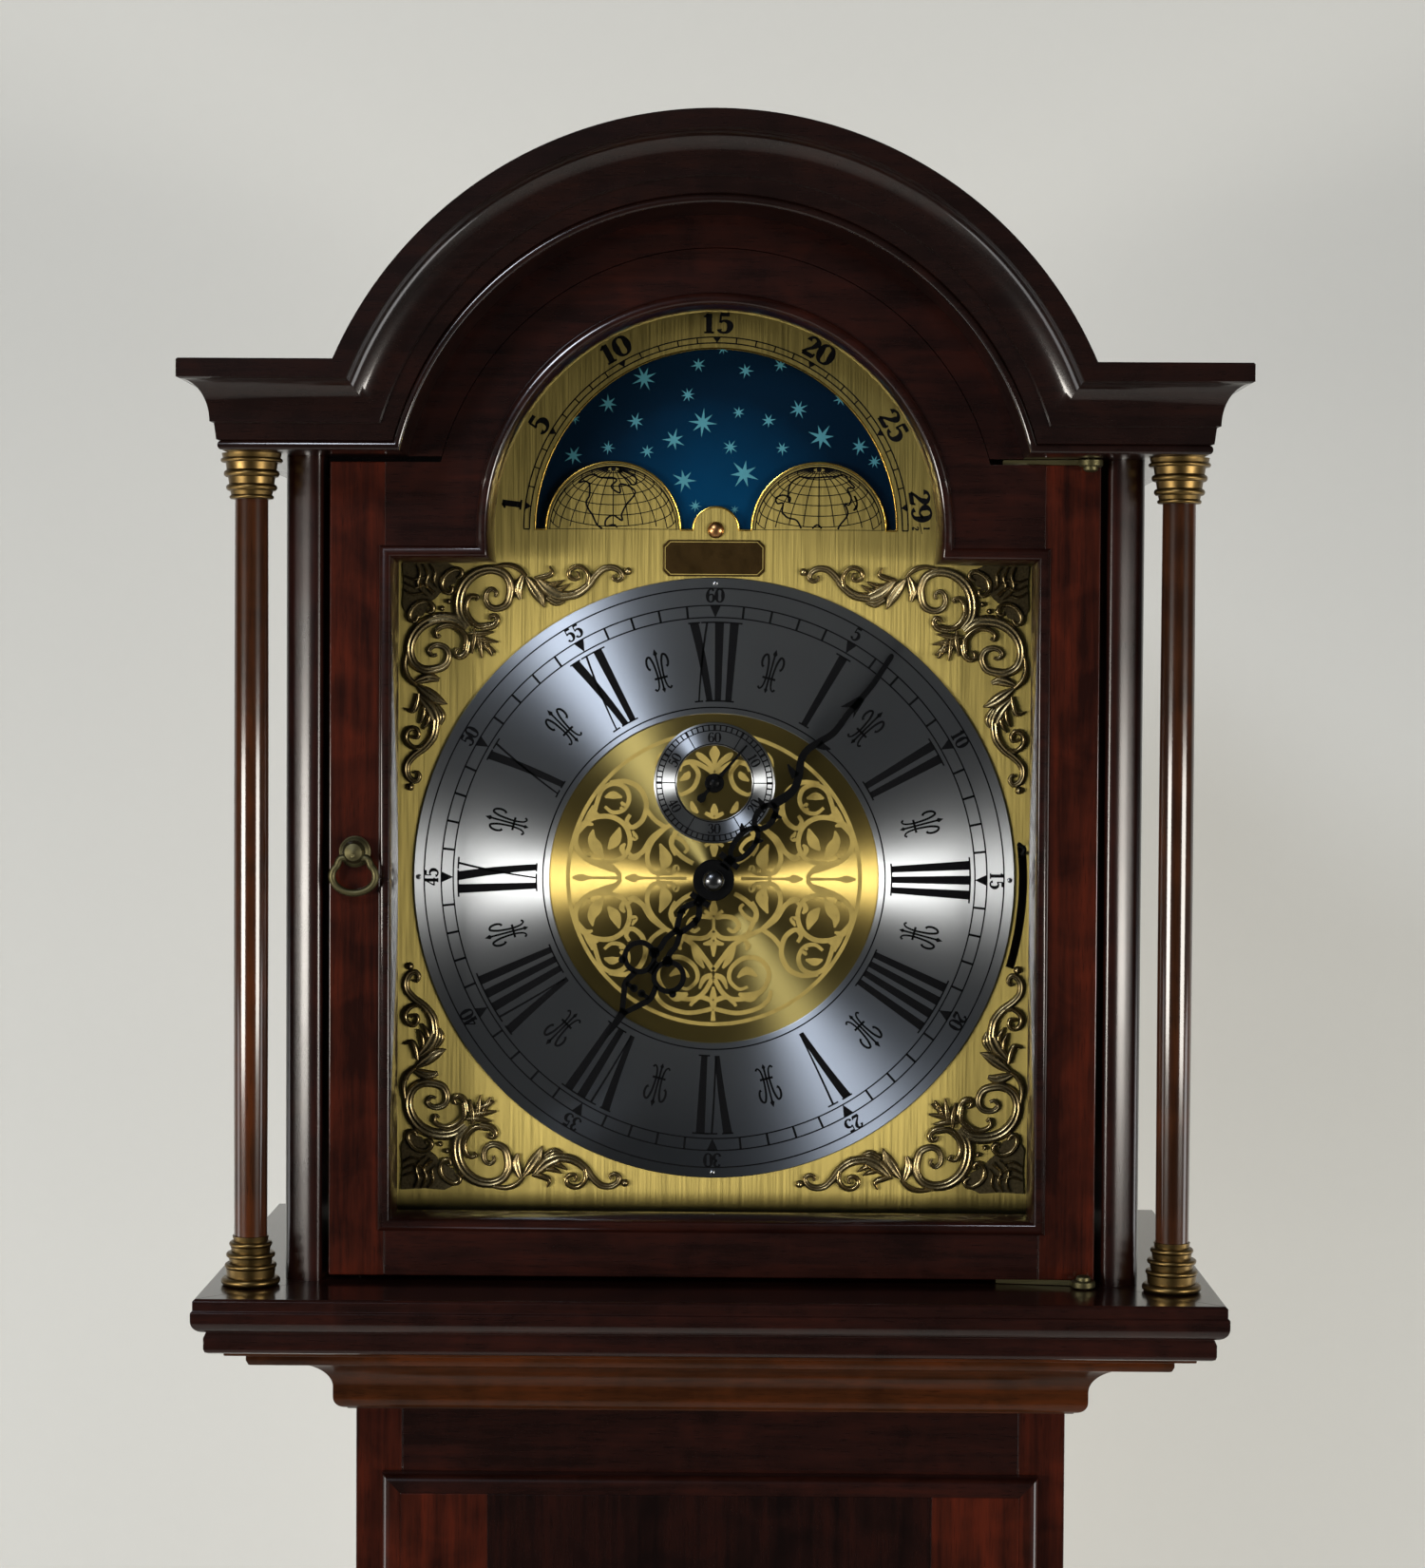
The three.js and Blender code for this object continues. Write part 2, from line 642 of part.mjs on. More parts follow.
// The cornice runs along both sides and over the arch, with true mitres at the corners and arch feet.
function buildCornice() {
  const h = CORNICE_H;
  const profile = [
    [-CORNICE_DEPTH, 0],
    [-0.6, 0],
    [0.6, 0.8],
    [0.8, 2.2],
    [0, 3.6],
    [1.2, 4],
    [2, 10.6],
    [3.6, 11.2],
  ];
  for (let i = 1; i <= 5; i++) {
    const a = (i / 5) * (Math.PI / 2);
    profile.push([3.6 + 10.6 * (1 - Math.cos(a)), 11.2 + 16.6 * Math.sin(a)]);
  }
  profile.push([CORNICE_OUT, 28.4], [CORNICE_OUT, h - 0.8], [CORNICE_OUT - 0.8, h], [-CORNICE_DEPTH, h]);
  const frontY = DOOR_Y - GLUE - CORNICE_DEPTH;
  const innerR = CORNICE_ARCH_R;
  const outerR = innerR + h;
  const innerLow = angleAtHeight(innerR, CORNICE_Z - ARCH_Z);
  const outerLow = angleAtHeight(outerR, CORNICE_Z + h - ARCH_Z);
  const up = [0, 0, 1];
  const left = [];
  left.push({ at: [-CORNICE_HALF, BACK_Y, CORNICE_Z], out: [-1, 0, 0], up });
  left.push({ at: [-CORNICE_HALF, frontY, CORNICE_Z], out: [-1, -1, 0], up });
  const steps = ARCH_STEPS;
  const arch = [];
  for (let i = 0; i <= steps; i++) {
    const t = i / steps;
    const inner = THREE.MathUtils.degToRad(180 - innerLow + (2 * innerLow - 180) * t);
    const outer = THREE.MathUtils.degToRad(180 - outerLow + (2 * outerLow - 180) * t);
    const at = [innerR * Math.cos(inner), frontY, ARCH_Z + innerR * Math.sin(inner)];
    const topX = outerR * Math.cos(outer);
    const topZ = ARCH_Z + outerR * Math.sin(outer);
    arch.push({ at, out: [0, -1, 0], up: [(topX - at[0]) / h, 0, (topZ - at[2]) / h] });
  }
  const right = [];
  right.push({ at: [CORNICE_HALF, frontY, CORNICE_Z], out: [1, -1, 0], up });
  right.push({ at: [CORNICE_HALF, BACK_Y, CORNICE_Z], out: [1, 0, 0], up });
  const cornice = carried(profile, [...left, ...arch, ...right]);
  piece("hood_cornice", cut(cornice, pinHole(CORNICE_Z - 1, CORNICE_Z + PIN_DEPTH + RUN)), MAHOGANY);
}

// A break-arch band: shoulders and an arch of one thickness, used for the roof.
function buildRoofAndFrontBoard() {
  const half = CORNICE_HALF - CORNICE_DEPTH - GLUE;
  const top = CORNICE_Z + CORNICE_H;
  const outerLow = angleAtHeight(ROOF_R, top - ARCH_Z);
  const innerLow = angleAtHeight(ROOF_R - ROOF_T, top - ROOF_T - ARCH_Z);
  const band = outline([
    [-half, top - ROOF_T],
    ...arcPoints(0, ARCH_Z, ROOF_R - ROOF_T, 180 - innerLow, innerLow, ARCH_STEPS),
    [half, top - ROOF_T],
    [half, top],
    ...arcPoints(0, ARCH_Z, ROOF_R, outerLow, 180 - outerLow, ARCH_STEPS),
    [-half, top],
  ]);
  const boardBack = DOOR_Y + FRONT_BOARD_T;
  piece("hood_roof", frontSlab(band, boardBack + GLUE, BACK_Y), MAHOGANY);
  const holeR = HOOD_DOOR_ARCH_R + ARCH_GAP;
  const holeLow = angleAtHeight(holeR, CORNICE_Z - ARCH_Z);
  const board = outline([
    [-half, CORNICE_Z],
    ...arcPoints(0, ARCH_Z, holeR, 180 - holeLow, holeLow, ARCH_STEPS),
    [half, CORNICE_Z],
    [half, top],
    ...arcPoints(0, ARCH_Z, ROOF_R, outerLow, 180 - outerLow, ARCH_STEPS),
    [-half, top],
  ]);
  piece("hood_front_board", frontSlab(board, DOOR_Y, boardBack), MAHOGANY);
}

// Columns: a slim turned shaft between a brass capital and a brass base, each a stack of beads and necks.
function buildColumns() {
  const capTop = CORNICE_Z - GLUE;
  const capLow = capTop - CAPITAL_H;
  const baseLow = BOARD_TOP + GLUE;
  const baseTop = baseLow + COLUMN_BASE_H;
  // Each entry is a bead's radius, the neck's radius above it and the share of the height it takes.
  const beads = (list, z0, height) => {
    const points = [[0, z0]];
    let z = z0;
    for (const [bead, neck, share] of list) {
      const step = height * share;
      points.push([bead - 0.7, z]);
      points.push([bead, z + step * 0.35]);
      points.push([neck, z + step * 0.72]);
      z += step;
    }
    points.push([list[list.length - 1][1], z0 + height], [0, z0 + height]);
    return points;
  };
  const capital = [
    [8.7, 8.6, 0.2],
    [10.3, 9.5, 0.22],
    [11.3, 10.5, 0.24],
    [12.9, 12.4, 0.34],
  ];
  const foot = [
    [12.4, 10.4, 0.34],
    [10.9, 9.2, 0.22],
    [10.3, 8.6, 0.22],
    [9, 8.5, 0.22],
  ];
  for (const [name, side] of [["left", -1], ["right", 1]]) {
    const x = side * COLUMN_X;
    const shaft = turned(
      [
        [0, baseTop + GLUE],
        [COLUMN_R, baseTop + GLUE],
        [COLUMN_R + 0.3, (baseTop + capLow) / 2 - 60],
        [COLUMN_R, capLow - GLUE],
        [0, capLow - GLUE],
      ],
      16,
    );
    piece("column_shaft_" + name, shaft.translate(x, COLUMN_Y, 0), MAHOGANY);
    const cap = turned(beads(capital, capLow, CAPITAL_H));
    piece("column_capital_" + name, cap.translate(x, COLUMN_Y, 0), OLD_BRASS);
    const base = turned(beads(foot, baseLow, COLUMN_BASE_H));
    piece("column_base_" + name, base.translate(x, COLUMN_Y, 0), OLD_BRASS);
  }
}

// Outline of the glazed opening, drawn with an inset that shrinks it: square below, arch above.
function openingOutline(inset) {
  const half = OPENING_HALF - inset;
  const low = BOARD_TOP + OPENING_LOW + inset;
  const shoulder = BOARD_TOP + OPENING_SHOULDER - inset;
  const r = OPENING_ARCH_R - inset;
  const foot = angleAtHeight(r, shoulder - ARCH_Z);
  return [
    [half, low],
    [half, shoulder],
    ...arcPoints(0, ARCH_Z, r, foot, 180 - foot, ARCH_STEPS),
    [-half, shoulder],
    [-half, low],
  ];
}

function buildHoodDoor() {
  const low = BOARD_TOP + STRAP_GAP;
  const top = CORNICE_Z - STRAP_GAP;
  const back = DOOR_Y + HOOD_DOOR_T;
  const archLow = angleAtHeight(HOOD_DOOR_ARCH_R, top - ARCH_Z);
  const shape = outline([
    [HOOD_DOOR_HALF, low],
    [HOOD_DOOR_HALF, top],
    ...arcPoints(0, ARCH_Z, HOOD_DOOR_ARCH_R, archLow, 180 - archLow, ARCH_STEPS),
    [-HOOD_DOOR_HALF, top],
    [-HOOD_DOOR_HALF, low],
  ]);
  shape.holes.push(holeOf(openingOutline(0)));
  const frame = frontSlab(shape, DOOR_Y, back);
  // A half-round bead stands proud all round the opening.
  const inner = openingOutline(0).map(([x, z]) => new THREE.Vector2(x, z));
  const outer = openingOutline(-BEAD_W).map(([x, z]) => new THREE.Vector2(x, z));
  const crown = (share) => outer.map((p, i) => p.clone().lerp(inner[i], share));
  const rings = [
    [outer, DOOR_Y + 1],
    [outer, DOOR_Y - BEAD_PROUD * 0.35],
    [crown(0.25), DOOR_Y - BEAD_PROUD],
    [crown(0.75), DOOR_Y - BEAD_PROUD],
    [inner, DOOR_Y - BEAD_PROUD * 0.35],
    [inner, DOOR_Y + 1],
  ];
  const count = inner.length;
  const points = [];
  for (const [ring, y] of rings) {
    for (const p of ring) points.push(p.x, y, p.y);
  }
  const faces = [];
  for (let r = 0; r < rings.length; r++) {
    const next = (r + 1) % rings.length;
    for (let i = 0; i < count; i++) {
      const j = (i + 1) % count;
      const [a, b, c, d] = [r * count + i, r * count + j, next * count + i, next * count + j];
      faces.push(a, b, c, b, d, c);
    }
  }
  const bead = new THREE.BufferGeometry();
  bead.setAttribute("position", new THREE.Float32BufferAttribute(points, 3));
  bead.setIndex(faces);
  const glassY = back - GLASS_SINK - GLASS_T;
  const rebate = frontSlab(outline(openingOutline(-GLASS_IN)), glassY, back + 1);
  piece("hood_door_frame", cut(join(frame, bead), rebate), MAHOGANY);
  const glass = frontSlab(outline(openingOutline(RUN - GLASS_IN)), glassY + GLUE, back - GLASS_SINK);
  piece("hood_door_glass", glass, GLASS);
  buildHoodDoorHinge("bottom", BOARD_TOP, 1);
  buildHoodDoorHinge("top", CORNICE_Z, -1);
  buildRingPull();
}

// Strap hinge: a strap on the door's edge, a knuckle in front of its face and a pin that turns in the case.
function buildHoodDoorHinge(name, face, way) {
  const at = (rise) => face + way * rise;
  const between = (r, from, to) => {
    const [z0, z1] = [Math.min(at(from), at(to)), Math.max(at(from), at(to))];
    return turned([[0, z0], [r, z0], [r, z1], [0, z1]], ROUND).translate(PIVOT_X, PIVOT_Y, 0);
  };
  const [z0, z1] = [at(RUN), at(STRAP_GAP - GLUE)].sort((p, q) => p - q);
  const strap = planSlab(
    outline([
      [PIVOT_X - STRAP_L, DOOR_Y + 4],
      [PIVOT_X - KNUCKLE_R, DOOR_Y],
      [PIVOT_X - KNUCKLE_R * 0.8, PIVOT_Y],
      [PIVOT_X + KNUCKLE_R * 0.8, PIVOT_Y],
      [PIVOT_X + KNUCKLE_R * 0.8, DOOR_Y + 12],
      [PIVOT_X - STRAP_L, DOOR_Y + 12],
    ]),
    z0,
    z1,
  );
  const knuckle = between(KNUCKLE_R, RUN, STRAP_GAP + 1);
  const pin = between(PIVOT_R, -PIN_DEPTH, STRAP_GAP);
  const head = between(KNUCKLE_R * 0.6, STRAP_GAP, STRAP_GAP + 3.2);
  piece("hood_door_hinge_" + name, join(strap, knuckle, pin, head), OLD_BRASS);
}

// Ring pull: a ribbed boss, and an open oval bail whose ends turn in its sides.
function buildRingPull() {
  const z = BOARD_TOP + PULL_RISE;
  const face = DOOR_Y - GLUE;
  const boss = turnedAcross(
    [
      [0, face],
      [PULL_BOSS_R, face],
      [PULL_BOSS_R, face - 2],
      [PULL_BOSS_R - 1, face - 3],
      [PULL_BOSS_R - 0.6, face - 5],
      [PULL_BOSS_R - 1.8, face - 7.6],
      [0, face - PULL_OUT],
    ],
  ).translate(PULL_X, 0, z);
  const bailY = bailAxisY();
  const bailZ = bailAxisZ();
  const hole = new THREE.CylinderGeometry(BAIL_R + RUN, BAIL_R + RUN, 3 * PULL_BOSS_R, 8);
  hole.rotateZ(Math.PI / 2).translate(PULL_X, bailY, bailZ);
  piece("hood_door_pull_boss", cut(boss, hole), OLD_BRASS);
  const turnR = BAIL_H / 2;
  const ends = 1.6;
  const v = (x, dz) => new THREE.Vector3(PULL_X + x, bailY, bailZ + dz);
  const spine = [v(-ends, 0), v(-PULL_BOSS_R - 0.6, 0)];
  for (const [x, dz] of arcPoints(0, -turnR - 0.6, 1, 150, 390, 12)) {
    const a = (dz + turnR + 0.6) * turnR;
    spine.push(v(x * (BAIL_W / 2), -turnR - 0.6 + a));
  }
  spine.push(v(PULL_BOSS_R + 0.6, 0), v(ends, 0));
  const section = outline(arcPoints(0, 0, BAIL_R, 0, 300, 5));
  const bail = new THREE.ExtrudeGeometry(section, {
    steps: 22,
    extrudePath: new THREE.CatmullRomCurve3(spine, false, "centripetal"),
    bevelEnabled: false,
  });
  piece("hood_door_pull_bail", bail, OLD_BRASS);
}

function bailAxisY() {
  return DOOR_Y - GLUE - 5.2;
}

function bailAxisZ() {
  return BOARD_TOP + PULL_RISE - 2.2;
}

// Dial

// Point at a radius and an angle clockwise from twelve about the dial centre.
function clockPoint(r, degrees) {
  const a = THREE.MathUtils.degToRad(degrees);
  return [r * Math.sin(a), DIAL_Z + r * Math.cos(a)];
}

function buildDialPlate() {
  const low = BOARD_TOP + DIAL_LOW;
  const shoulder = BOARD_TOP + DIAL_SHOULDER;
  const foot = angleAtHeight(DIAL_ARCH_R, shoulder - MOON_Z);
  const shape = outline([
    [DIAL_HALF, low],
    [DIAL_HALF, shoulder],
    ...arcPoints(0, MOON_Z, DIAL_ARCH_R, foot, 180 - foot, ARCH_STEPS),
    [-DIAL_HALF, shoulder],
    [-DIAL_HALF, low],
  ]);
  // The moon's aperture: a half circle above two round-topped humps and a small tongue.
  const aperture = [
    ...arcPoints(0, MOON_Z, APERTURE_R, 0, 180, 24),
    ...arcPoints(-HUMP_X, MOON_Z, HUMP_R, 180, 0, 10),
    ...arcPoints(0, MOON_Z, TONGUE_R, 180, 0, 8),
    ...arcPoints(HUMP_X, MOON_Z, HUMP_R, 180, 0, 10),
  ];
  shape.holes.push(holeOf(aperture));
  // A curved slot for the chime lever.
  const slot = [];
  const slotSteps = 8;
  const slotFrom = LEVER_REST - 1.5;
  const slotTo = LEVER_REST + LEVER_TRAVEL + 1.5;
  for (let i = 0; i <= slotSteps; i++) {
    slot.push(clockPoint(LEVER_R - SLOT_HALF, slotFrom + ((slotTo - slotFrom) * i) / slotSteps));
  }
  for (let i = slotSteps; i >= 0; i--) {
    slot.push(clockPoint(LEVER_R + SLOT_HALF, slotFrom + ((slotTo - slotFrom) * i) / slotSteps));
  }
  shape.holes.push(holeOf(slot));
  const plate = frontSlab(shape, DIAL_Y, DIAL_Y + DIAL_T);
  // Four feet reach back to the movement's front plate.
  const feet = dialFeet().map(([x, z]) => barAcross(3, DIAL_Y + DIAL_T - 0.5, FRONT_PLATE_Y - GLUE, x, z, 8));
  const through = [
    barAcross(HOUR_PIPE_R + 1, DIAL_Y - 1, DIAL_Y + DIAL_T + 1, 0, DIAL_Z, 12),
    barAcross(ESCAPE_ARBOR_R + RUN, DIAL_Y - 1, DIAL_Y + DIAL_T + 1, 0, SECONDS_Z, 8),
    barAcross(MOON_PIN_R + RUN, DIAL_Y - 1, DIAL_Y + DIAL_T + 1, 0, MOON_Z, 10),
  ];
  piece("dial_plate", cut(join(plate, ...feet), ...through), BRASS);
}

function dialFeet() {
  const x = PLATE_HALF - 16;
  return [[-x, SEAT_Z + 26], [x, SEAT_Z + 26], [-x, DIAL_Z + 52], [x, DIAL_Z + 52]];
}

function buildChapterRing() {
  const front = DIAL_Y - GLUE - RING_T;
  const profile = [
    [RING_IN_R, front],
    [RING_OUT_R, front],
    [RING_OUT_R, DIAL_Y - GLUE],
    [RING_IN_R, DIAL_Y - GLUE],
    [RING_IN_R, front],
  ];
  piece("chapter_ring", turnedAcross(profile, 52).translate(0, 0, DIAL_Z), SILVERED);
}

// A bar that follows points in the front view, with a width at each point.
function stroke(points, widths, y0, y1, samples = 4) {
  const curve = new THREE.SplineCurve(points.map(([x, z]) => new THREE.Vector2(x, z)));
  const left = [];
  const right = [];
  for (let i = 0; i <= samples; i++) {
    const t = i / samples;
    const p = curve.getPoint(t);
    const d = curve.getTangent(t);
    const span = t * (widths.length - 1);
    const k = Math.min(Math.floor(span), widths.length - 2);
    const w = (widths[k] + (widths[k + 1] - widths[k]) * (span - k)) / 2;
    left.push([p.x - d.y * w, p.y + d.x * w]);
    right.unshift([p.x + d.y * w, p.y - d.x * w]);
  }
  return frontSlab(outline([...left, ...right]), y0, y1);
}

function disc(x, z, r, y0, y1, segments = 6) {
  return barAcross(r, y0, y1, x, z, segments);
}

function hoop(x, z, rx, rz, width, y0, y1, segments = 10) {
  const round = arcPoints(0, 0, 1, 0, 360 - 360 / segments, segments - 1);
  const shape = outline(round.map(([u, v]) => [x + u * rx, z + v * rz]));
  shape.holes.push(holeOf(round.map(([u, v]) => [x + u * (rx - width), z + v * (rz - width)])));
  return frontSlab(shape, y0, y1);
}

function mirrored(geometry) {
  return geometryOf(solidOf(geometry.clone().scale(-1, 1, 1)));
}

// Corner ornament: leaf block, two C-scrolls and an acanthus arm that ends in a curl.
// Drawn with its corner at the origin, one arm along +x and the same arm mirrored along -z.
function spandrelGeometry() {
  const y0 = DIAL_Y - GLUE - SPANDREL_T;
  const y1 = DIAL_Y - GLUE;
  const flip = (list) => list.map(([x, z]) => [-z, -x]);
  const leaf = outline([
    [0, 0],
    [10, -1.5],
    [19, 0],
    [25, -3],
    [23, -9],
    [17, -12],
    [15, -15],
    [12, -17],
    [9, -23],
    [3, -25],
    [0, -19],
    [1.5, -10],
  ]);
  const palmette = outline([
    [26, -26],
    [33, -25],
    [38, -29],
    [41, -33],
    [40, -37],
    [37, -40],
    [33, -41],
    [29, -38],
    [25, -33],
  ]);
  const arms = [];
  const hookScroll = [[16, -8], [24, -3], [33, -1], [42, -3], [47, -9], [46, -15], [41, -18]];
  const innerScroll = [[25, -8], [23, -15], [25, -22], [30, -28]];
  const acanthus = [[46, -6], [55, -6], [63, -10], [72, -11], [80, -7], [86, -3], [93, -3], [98, -5]];
  const curl = [[70, -10], [68, -6], [70, -2.5], [74, -1.5], [77, -4], [75, -7]];
  const scrolls = [
    [hookScroll, [4, 3.4, 3.2, 3.6, 4, 3.4, 2.6]],
    [innerScroll, [3.2, 3.4, 3.6, 5]],
    [acanthus, [3.6, 7, 9, 6, 4.4, 3.8, 3.2, 2.6]],
    [curl, [2, 2.4, 2.4, 2.2, 2, 1.8]],
  ];
  for (const [points, widths] of scrolls) {
    arms.push(stroke(points, widths, y0, y1, points.length - 2));
    arms.push(stroke(flip(points), widths, y0, y1, points.length - 2));
  }
  return join(frontSlab(leaf, y0, y1), frontSlab(palmette, y0, y1), ...arms);
}

function buildSpandrels() {
  const x = OPENING_HALF - SPANDREL_INSET;
  const top = BOARD_TOP + OPENING_SHOULDER - SPANDREL_INSET;
  const low = 2 * DIAL_Z - top;
  const corner = spandrelGeometry();
  for (const [name, sx, sz, z] of [
    ["top_left", 1, 1, top],
    ["top_right", -1, 1, top],
    ["bottom_left", 1, -1, low],
    ["bottom_right", -1, -1, low],
  ]) {
    const g = geometryOf(solidOf(corner.clone().scale(sx, 1, sz)));
    piece("spandrel_" + name, g.translate(-sx * x, 0, z), OLD_BRASS);
  }
}

// The moon disc turns on a pin whose domed head shows on the dial's tongue.
function buildMoonDisc() {
  const y0 = DIAL_Y + DIAL_T + MOON_BEHIND;
  const y1 = y0 + MOON_DISC_T;
  const head = DIAL_Y - 0.4;
  const pin = turnedAcross(
    [
      [0, head - 2.2],
      [1.8, head - 1.8],
      [3.2, head - 0.9],
      [3.6, head],
      [MOON_PIN_R, head],
      [MOON_PIN_R, y0 + 0.5],
      [0, y0 + 0.5],
    ],
    12,
  );
  const plate = turnedAcross([[0, y0], [MOON_DISC_R, y0], [MOON_DISC_R, y1], [0, y1]], 40);
  piece("moon_disc", join(plate, pin).translate(0, 0, MOON_Z), NIGHT_BLUE);
}

// Chime lever: it swings about the dial centre behind the plate, its pin out through the curved slot.
function buildChimeLever() {
  const y0 = DIAL_Y + DIAL_T + 4;
  const y1 = y0 + 1.6;
  const collar = turnedAcross(
    [[HOUR_PIPE_R + RUN, y0], [11, y0], [11, y1], [HOUR_PIPE_R + RUN, y1], [HOUR_PIPE_R + RUN, y0]],
  ).translate(0, 0, DIAL_Z);
  const [px, pz] = clockPoint(LEVER_R, LEVER_REST);
  const [ax, az] = clockPoint(9, LEVER_REST);
  const arm = stroke([[ax, az], [px, pz]], [7, 4.4], y0, y1, 2);
  const tipY = DIAL_Y - 6;
  const pin = barAcross(1.2, tipY, y0 + 0.8, px, pz, 8);
  const bend = [[px, pz - 1], [px + 0.6, pz + 3], [px - 2.6, pz + 4.6]];
  const tip = stroke(bend, [2, 2, 1.6], tipY, tipY + 1.6, 6);
  piece("chime_lever", join(collar, arm, pin, tip), BLACK_STEEL);
}

// Hands, drawn pointing to twelve with the arbor at the origin and then turned to the hour

function turnedToTime(geometry, degrees, z) {
  return geometry.rotateY(THREE.MathUtils.degToRad(degrees)).translate(0, 0, z);
}

function buildMinuteHand() {
  const y0 = MINUTE_HAND_Y;
  const y1 = y0 + HAND_T;
  const wave = [[0, 42], [2.6, 46], [3.7, 51], [1.4, 58], [-1.8, 64], [-2.2, 71], [0.6, 77], [2.6, 83]];
  wave.push([1.6, 89], [0, 97]);
  const parts = [
    disc(0, 0, HUB_R, y0, y1, 16),
    stroke([[0, 7], [0, 13]], [4, 3.4], y0, y1, 2),
    stroke([[-4.8, 10.8], [4.8, 10.8]], [2, 2], y0, y1, 2),
    hoop(0, 21.5, 4.4, 9.6, 1.8, y0, y1),
    stroke([[-3, 24], [-6, 27.5]], [3, 0.6], y0, y1, 2),
    stroke([[3, 23], [6.6, 26]], [3, 0.6], y0, y1, 2),
    hoop(0, 36.8, 3.4, 6.8, 1.6, y0, y1),
    stroke([[-2, 38], [-4.6, 41.5]], [2.8, 0.6], y0, y1, 2),
    stroke([[2, 38], [6, 40.8]], [2.8, 0.6], y0, y1, 2),
    stroke(wave, [3.4, 3.2, 3, 3, 2.8, 2.8, 2.6, 2.4, 2.2, 2], y0, y1, 14),
    stroke([[0, 57], [-5.4, 59.5]], [3.2, 0.6], y0, y1, 2),
    stroke([[0, 73.5], [4.6, 76]], [3.2, 0.6], y0, y1, 2),
    frontSlab(outline([[-3.6, 95], [-0.9, 97.5], [0.9, 97.5], [3.6, 95], [0.9, 104], [-0.9, 104]]), y0, y1),
    stroke([[0, 96], [0, MINUTE_HAND_L]], [1.9, 0.7], y0, y1, 2),
  ];
  const collar = turnedAcross([[0, y1 - 0.4], [5, y1 - 0.4], [5, HOUR_HAND_Y - RUN], [0, HOUR_HAND_Y - RUN]]);
  const bore = barAcross(ARBOR_R + RUN, y0 - 1, HOUR_HAND_Y, 0, 0);
  piece("minute_hand", turnedToTime(cut(join(collar, ...parts), bore), MINUTE_ANGLE, DIAL_Z), BLACK_STEEL);
}

function buildHourHand() {
  const y0 = HOUR_HAND_Y;
  const y1 = y0 + HAND_T;
  const half = [
    stroke([[0, 10.4], [4.6, 10.4]], [2, 2], y0, y1, 2),
    stroke([[0.4, 12], [3.2, 17], [2.6, 22], [0.4, 28]], [1.8, 2.2, 2, 2], y0, y1),
    stroke([[2.6, 18], [5.2, 20.5]], [2.8, 0.6], y0, y1, 2),
    stroke([[0.2, 26], [2.4, 32], [2.2, 37], [3.4, 41]], [2.2, 2, 2, 2.2], y0, y1),
    hoop(7.4, 46, 7, 7, 1.7, y0, y1),
    disc(3.4, 40.8, 1.9, y0, y1),
    disc(12.6, 50.6, 1.3, y0, y1),
    stroke([[5.4, 52], [6.4, 58], [4, 63], [0.2, 70]], [1.8, 1.9, 1.9, 1.6], y0, y1),
    stroke([[6, 58.2], [1.2, 58.2]], [1.4, 1.4], y0, y1, 2),
    disc(1.9, 58.2, 1.3, y0, y1),
  ];
  const middle = [
    disc(0, 0, HUB_R, y0, y1, 16),
    stroke([[0, 7], [0, 13.5]], [4.4, 3.2], y0, y1, 2),
    stroke([[0, 43], [0, 49]], [2, 2], y0, y1, 2),
    stroke([[0, 68], [0, HOUR_HAND_L]], [3, 0.7], y0, y1, 2),
  ];
  const pipe = turnedAcross(
    [[0, y1 - 0.4], [HOUR_PIPE_R, y1 - 0.4], [HOUR_PIPE_R, FRONT_PLATE_Y - RUN], [0, FRONT_PLATE_Y - RUN]],
  );
  const bore = barAcross(ARBOR_R + RUN, y0 - 1, FRONT_PLATE_Y, 0, 0);
  const hand = cut(join(pipe, ...middle, ...half, ...half.map(mirrored)), bore);
  piece("hour_hand", turnedToTime(hand, HOUR_ANGLE, DIAL_Z), BLACK_STEEL);
}

function buildSecondsHand() {
  const y0 = SECONDS_HAND_Y;
  const y1 = y0 + 0.8;
  const hand = join(
    disc(0, 0, 4.2, y0, y1, 12),
    stroke([[0, 3], [0, SECONDS_HAND_L]], [1.3, 0.5], y0, y1, 2),
    stroke([[0, -3], [0, -7.5]], [1.2, 1.4], y0, y1, 2),
    stroke([[0, -6.5], [0, -8.6], [0, -10.4]], [1.2, 3.4, 1.6], y0, y1, 6),
  );
  const bore = barAcross(ESCAPE_ARBOR_R + RUN, y0 - 1, y1 + 1, 0, 0, 8);
  piece("seconds_hand", turnedToTime(cut(hand, bore), SECONDS_ANGLE, SECONDS_Z), BLACK_STEEL);
}

// Movement

// Places of the going train's arbors about the dial centre, from the wheels' pitch radii.
function trainPlaces() {
  const d1 = (GEAR_MODULE * (CENTRE_TEETH + PINION_LEAVES)) / 2;
  const d2 = (GEAR_MODULE * (THIRD_TEETH + PINION_LEAVES)) / 2;
  const z3 = (d1 * d1 - d2 * d2 + SECONDS_RISE * SECONDS_RISE) / (2 * SECONDS_RISE);
  const x3 = Math.sqrt(d1 * d1 - z3 * z3);
  return { third: [x3, z3], toThird: Math.atan2(z3, x3), toEscape: Math.atan2(SECONDS_RISE - z3, -x3) };
}

// Outline of a toothed wheel with one tooth at the angle given; a tooth is drawn by [height, share of pitch].
function toothedOutline(teeth, at, tooth) {
  const r = (GEAR_MODULE * teeth) / 2;
  const pitch = (2 * Math.PI) / teeth;
  const points = [];
  for (let i = 0; i < teeth; i++) {
    const a = at + i * pitch;
    for (const [height, share] of tooth) {
      const radius = r + height * GEAR_MODULE;
      points.push([radius * Math.cos(a + share * pitch), radius * Math.sin(a + share * pitch)]);
    }
  }
  return outline(points);
}

